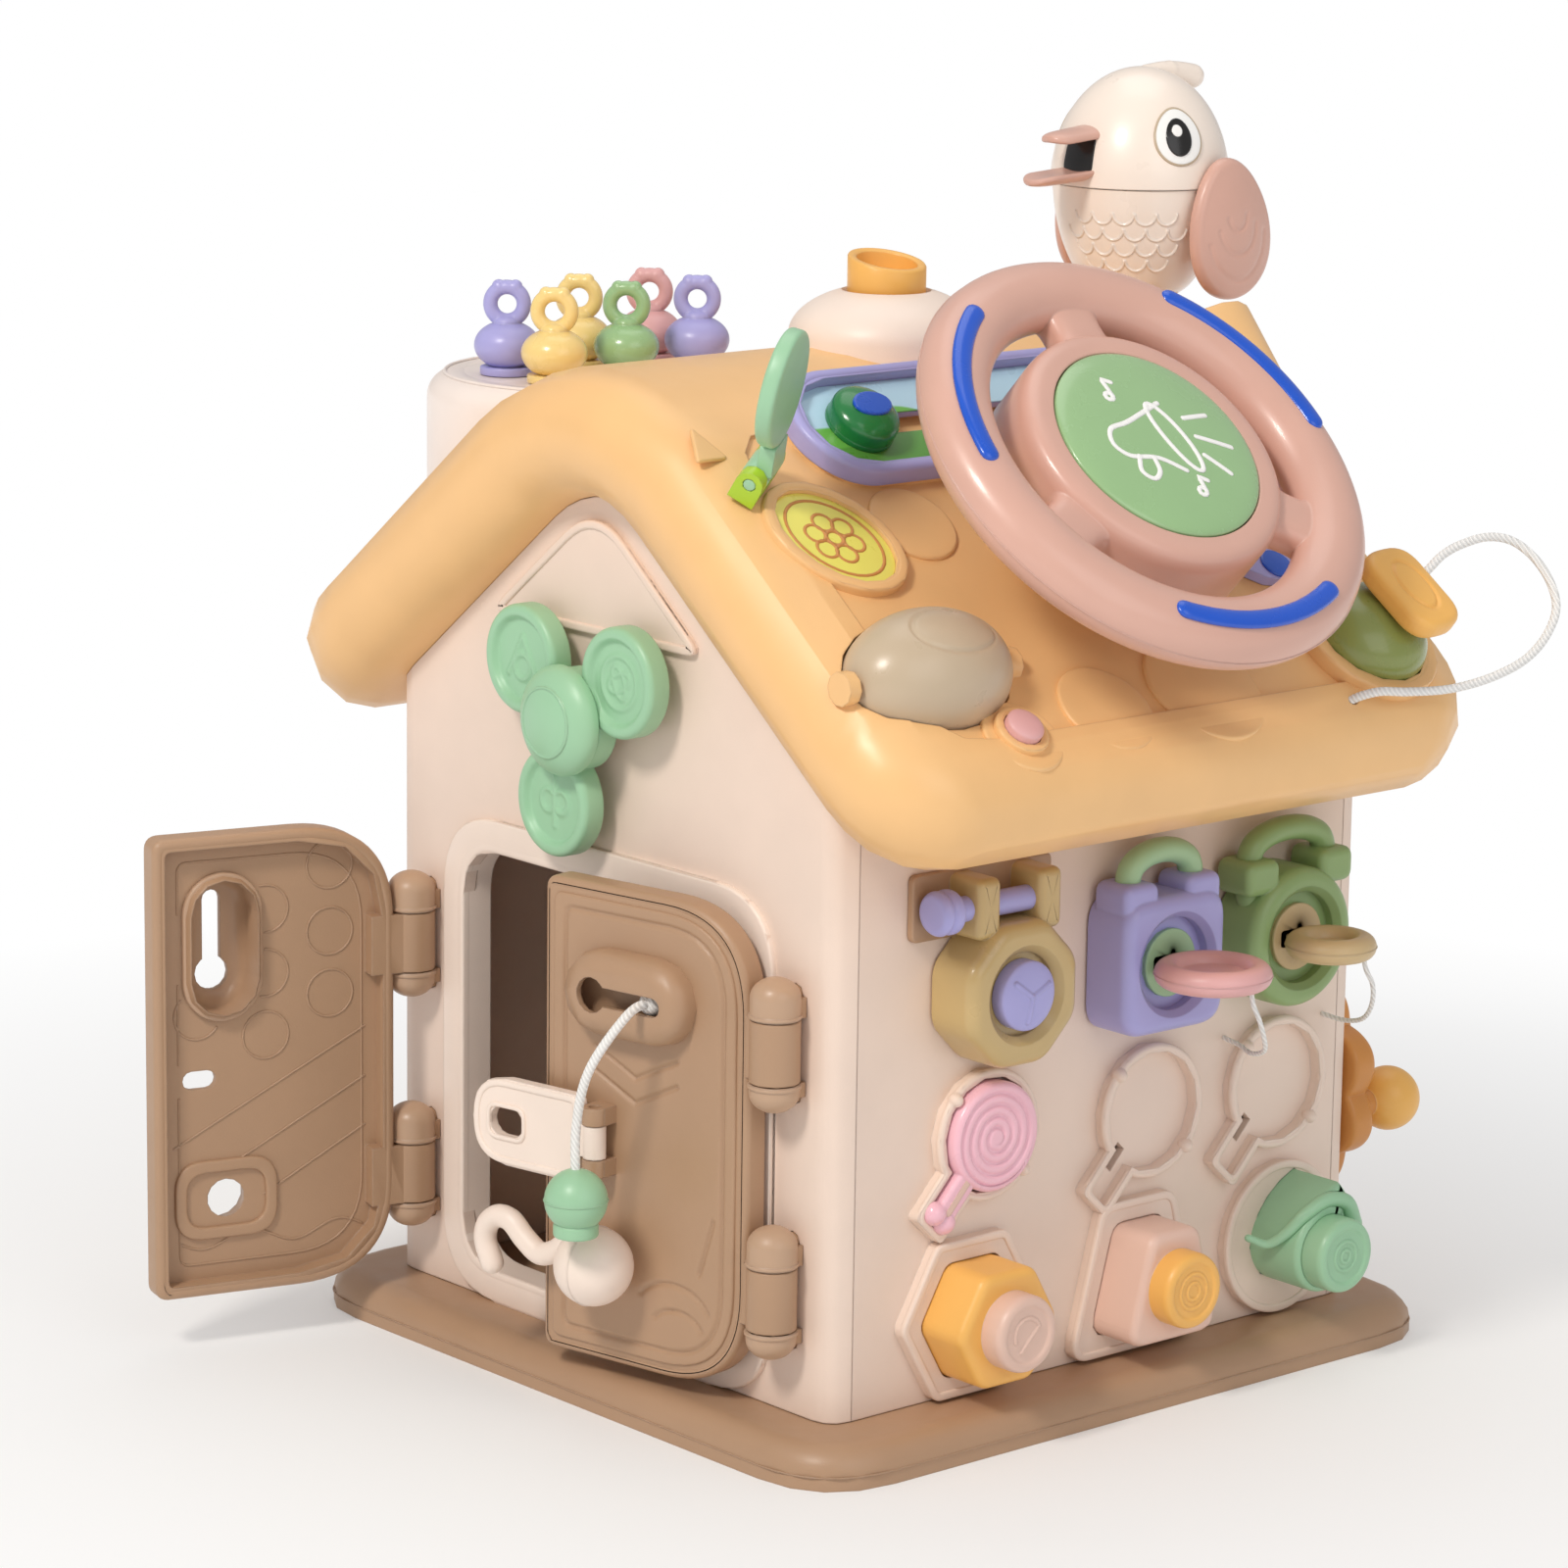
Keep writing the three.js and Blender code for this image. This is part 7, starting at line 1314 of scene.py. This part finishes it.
class HOUSE_OT_locks(bpy.types.Operator):
    """Builds the three padlocks with their bolt, dial, shackles, rotors and keys."""
    bl_idname = "house.locks"
    bl_label = "Padlocks and keys"
    bl_options = {"REGISTER", "UNDO"}

    def execute(self, context):
        lug = plate(card(11, 22, 3.5), SEAT, 18.6, 3, count=120, rings=10)
        keep = shifted(plate(card(66, 24, 3), SEAT, 2.9, 0.8, count=160, rings=8), -4, 32)
        shells = [lock_body(many_sided(8, 28, math.pi / 8, 5), 15, 5, 3.0)]
        shells += [shifted(lug, side * 14.5, 32) for side in (-1, 1)] + [(keep, 1)]
        make_piece("octagon_shell", shells, "khaki brown", "khaki", OCTAGON, "house", "padlock_octagon")
        head = [[0, -33.5], [6.6, -33], [8, -31], [8, -29.5], [6.9, -28.4], [8, -27.2], [8, -24.2],
                [6.6, -23], [0, -23]]
        shells = [on_side(rod(4.5, -23, 23, 1, 4, 48)), on_side(revolve(rounded(head, 1.1, 4), 64))]
        make_piece("bolt_shell", shells, "lavender", "lavender", BOLT, "bolt", "padlock_bolt")
        shells = [revolve(domed(12.5, 0, 5, 2.5, 14), 72)]
        shells += [tube([[0, 0, 7.2], [9 * math.cos(angle), 9 * math.sin(angle), 6.5]], 1.1, 12)
                   for angle in turns(3) + 0.4]
        make_piece("lock_dial_shell", shells, "lavender", "lavender", OCTAGON.child(0, 0, 17.6), "lock_dial",
                   "padlock_dial")
        build_lock("square", SQUARE, card(50, 50, 11), 31, 1.5, 16.5, ("lavender", "lavender"),
                   ("rotor", "sage"), ("rotor", "sage"), "pink")
        build_lock("round", ROUND, ring(26), 38, 1.0, 12, ("green", "lock_green"), ("green", "lock_green"),
                   ("tan", "khaki"), "tan")
        disc = plate(ring(20), 0.2, 9, 2.2, relief=swirl, count=200, rings=110, foot_edge=1)
        stem = plate(card(9, 38, 2.4), 0, 8, 1.6, count=120, rings=12, foot_edge=0.8)
        shells = [disc, shifted(stem, 0, -19)]
        shells += [shifted(ball(4.4, 1, 24, 40), side * 2.9, -35.4, 4.9) for side in (-1, 1)]
        make_piece("lollipop_shell", shells, "candy", "candy_pink", CANDY, "key_lollipop", "key_lollipop")
        mark = shifted(spun(plate(pill(16, 2.6), 7.9, 8.25, 0.1, count=64, rings=4), math.pi / 2), 0, -26)
        make_piece("lollipop_slot", [mark], "pinkish", "candy_pink", CANDY, "key_lollipop")
        return {"FINISHED"}


def leaf_outline():
    """Round leaf: most of a circle, and two curves that meet in a tip."""
    sweep = np.linspace(math.radians(140), math.radians(414), 60)
    body = np.stack([16 * np.cos(sweep), 16 * np.sin(sweep)], 1)
    share = np.linspace(0, 1, 20)[:, None]
    tip, far, near = np.array([6.25, 25.0]), np.array([14.4, 17.6]), np.array([-6.4, 20.0])
    return np.vstack([body, bent(body[-1], far, tip, share)[1:], bent(tip, near, body[0], share)[1:-1]])


class HOUSE_OT_blocks(bpy.types.Operator):
    """Builds the three shape blocks with rounded edges and patterned knobs, and the flower crank."""
    bl_idname = "house.blocks"
    bl_label = "Blocks and crank"
    bl_options = {"REGISTER", "UNDO"}

    def execute(self, context):
        fin = smooth_path([(-26, 6, 13), (-20, 3.5, 17), (-15.5, 8, 22), (-10, 15, 26), (0, 19.5, 28),
                           (9, 17, 28.6), (14, 8, 28)], 90)
        fin = tube(fin, np.linspace(1.4, 3.4, 90), 20)
        hooked = [arc_line(0, 0, 6, 20, 200)] + strokes([[-3, -6], [5, 2]])
        blocks = (
            ("hexagon", many_sided(6, 24, 0, 4), 25, "amber pinkish", "amber", hooked, []),
            ("trapezoid", tapered(23, 12, 20.5, [10, 10, 5, 5]), 25, "pinkish amber", "dusty_rose",
             [arc_line(0, 0, 6.6), arc_line(0, 0, 3.2)], []),
            ("leaf", leaf_outline(), 29, "mint mint", "mint",
             [arc_line(0, 0, 5.6), arc_line(0, 0, 2.4)], [fin]),
        )
        for along, (name, outline, proud, tones, slot, marks, extra) in zip(BLOCK_SPOTS, blocks):
            face = proud + 8.8
            knob = [[0, proud - 1], [14, proud - 1], [14, proud + 7.4], [13.3, proud + 9.2],
                    [11.6, proud + 9.7], [10.4, proud + 9.5], [9.8, face], [0, face]]
            shells = [plate(outline, -22, proud, 3.2, count=240, rings=20, foot_edge=1.5),
                      (revolve(rounded(knob, 0.7, 4)), 1)]
            shells += [(grid, 1) for grid in ribs(marks, 0.8, face, 0.8)] + extra
            make_piece("block_shell_" + name, shells, tones, slot, SIDE.child(along, BLOCK_HEIGHT),
                       "block_" + name, "block_" + name)
        angle = turns(360)
        reach = 38.5 + 6.2 * np.abs(np.cos(4.5 * angle))

        def veins(x, y):
            radius = np.hypot(x, y)
            return -0.9 * np.exp(-((radius - 24) / 1.6) ** 2) - 0.6 * np.exp(-((radius - 14) / 1.4) ** 2)

        flower = plate(np.stack([reach * np.cos(angle), reach * np.sin(angle)], 1), 0, 12, 3.5, relief=veins,
                       count=360, rings=60, foot_edge=2)
        # Painted light and shade: the flower and its ball are one orange plastic, given a darker shaded copy
        # and a lighter lit copy.
        shells = [flower, shifted(rod(5, 10, 24, steps=48), -33, -6),
                  (shifted(ball(12.3), -33, -6, 28.15), 1), stop_pin(8, 6, -6.1, 1, 48)]
        make_piece("flower_shell", shells, "crank amber", "crank_orange", CRANK, "flower", "flower_crank")
        return {"FINISHED"}


class HOUSE_OT_stage(bpy.types.Operator):
    """Lays a pale floor that fades to white and lights the house softly from the front and above."""
    bl_idname = "house.stage"
    bl_label = "Stage and light"
    bl_options = {"REGISTER", "UNDO"}

    def execute(self, context):
        scene = context.scene
        reach = 14.0
        mesh = bpy.data.meshes.new("floor")
        corners = [(-reach, -reach, 0), (reach, -reach, 0), (reach, reach, 0), (-reach, reach, 0)]
        mesh.from_pydata(corners, [], [(0, 1, 2, 3)])
        floor = bpy.data.objects.new("floor", mesh)
        scene.collection.objects.link(floor)
        material, tree, shader, coords = start_material("pale_floor")
        feed(tree, shader, {"Base Color": linear(scene.house_colours.floor), "Roughness": 0.7,
                            "Specular IOR Level": 0.2})
        away = add(tree, "ShaderNodeVectorMath", {0: coords}, operation="LENGTH").outputs["Value"]
        glow = tree.nodes.new("ShaderNodeEmission")
        fade = add(tree, "ShaderNodeMixShader", {0: spread(tree, away, 0.15, 0.7, 0.2, 1.0),
                                                 1: shader.outputs[0], 2: glow.outputs[0]})
        feed(tree, tree.nodes["Material Output"], {"Surface": fade.outputs[0]})
        mesh.materials.append(material)
        world = bpy.data.worlds.new("studio")
        scene.world = world
        world.use_nodes = True
        sky = world.node_tree.nodes["Background"]
        feed(world.node_tree, sky, {"Color": (0.98, 0.985, 1.0, 1.0), "Strength": 0.46})
        for name, spot, aim, power, width, tint in (
                ("key", (0.45, -1.65, 1.75), (0.03, -0.02, 0.2), 26.0, 0.4, (1.0, 0.955, 0.9)),
                ("fill", (2.0, -0.3, 1.2), (0.05, 0, 0.22), 7.5, 1.4, (0.98, 0.98, 1.0)),
                ("top", (-0.3, 0.4, 2.1), (0, 0, 0.3), 6.0, 1.3, (1.0, 1.0, 1.0))):
            data = bpy.data.lights.new(name, "AREA")
            data.energy = power
            data.size = width
            data.color = tint
            lamp = bpy.data.objects.new(name, data)
            lamp.location = spot
            lamp.rotation_euler = (Vector(aim) - Vector(spot)).to_track_quat("-Z", "Y").to_euler()
            scene.collection.objects.link(lamp)
        scene.view_settings.view_transform = "Standard"
        return {"FINISHED"}


OPERATORS = (
    HOUSE_OT_camera, HOUSE_OT_cords, HOUSE_OT_walls, HOUSE_OT_doors, HOUSE_OT_spinner, HOUSE_OT_wheel,
    HOUSE_OT_roof, HOUSE_OT_slope_toys, HOUSE_OT_pegs, HOUSE_OT_bird, HOUSE_OT_locks, HOUSE_OT_blocks,
    HOUSE_OT_stage,
)


class HOUSE_PT_panel(bpy.types.Panel):
    """Lists the house's operators, sizes and colours."""
    bl_idname = "HOUSE_PT_panel"
    bl_label = "Activity House"
    bl_space_type = "VIEW_3D"
    bl_region_type = "UI"
    bl_category = "House"

    def draw(self, context):
        column = self.layout.column()
        for operator in OPERATORS:
            column.operator(operator.bl_idname)
        for group in (context.scene.house_sizes, context.scene.house_colours):
            for key in group.bl_rna.properties.keys():
                if key not in ("rna_type", "name"):
                    column.prop(group, key)


CLASSES = (HouseSizes, HouseColours) + OPERATORS + (HOUSE_PT_panel,)


def register():
    for item in CLASSES:
        bpy.utils.register_class(item)
    bpy.types.Scene.house_sizes = bpy.props.PointerProperty(type=HouseSizes)
    bpy.types.Scene.house_colours = bpy.props.PointerProperty(type=HouseColours)


def unregister():
    del bpy.types.Scene.house_colours
    del bpy.types.Scene.house_sizes
    for item in reversed(CLASSES):
        bpy.utils.unregister_class(item)


def main():
    """Builds the house piece by piece."""
    register()
    for operator in OPERATORS:
        group, name = operator.bl_idname.split(".")
        getattr(getattr(bpy.ops, group), name)()


if __name__ == "__main__":
    main()
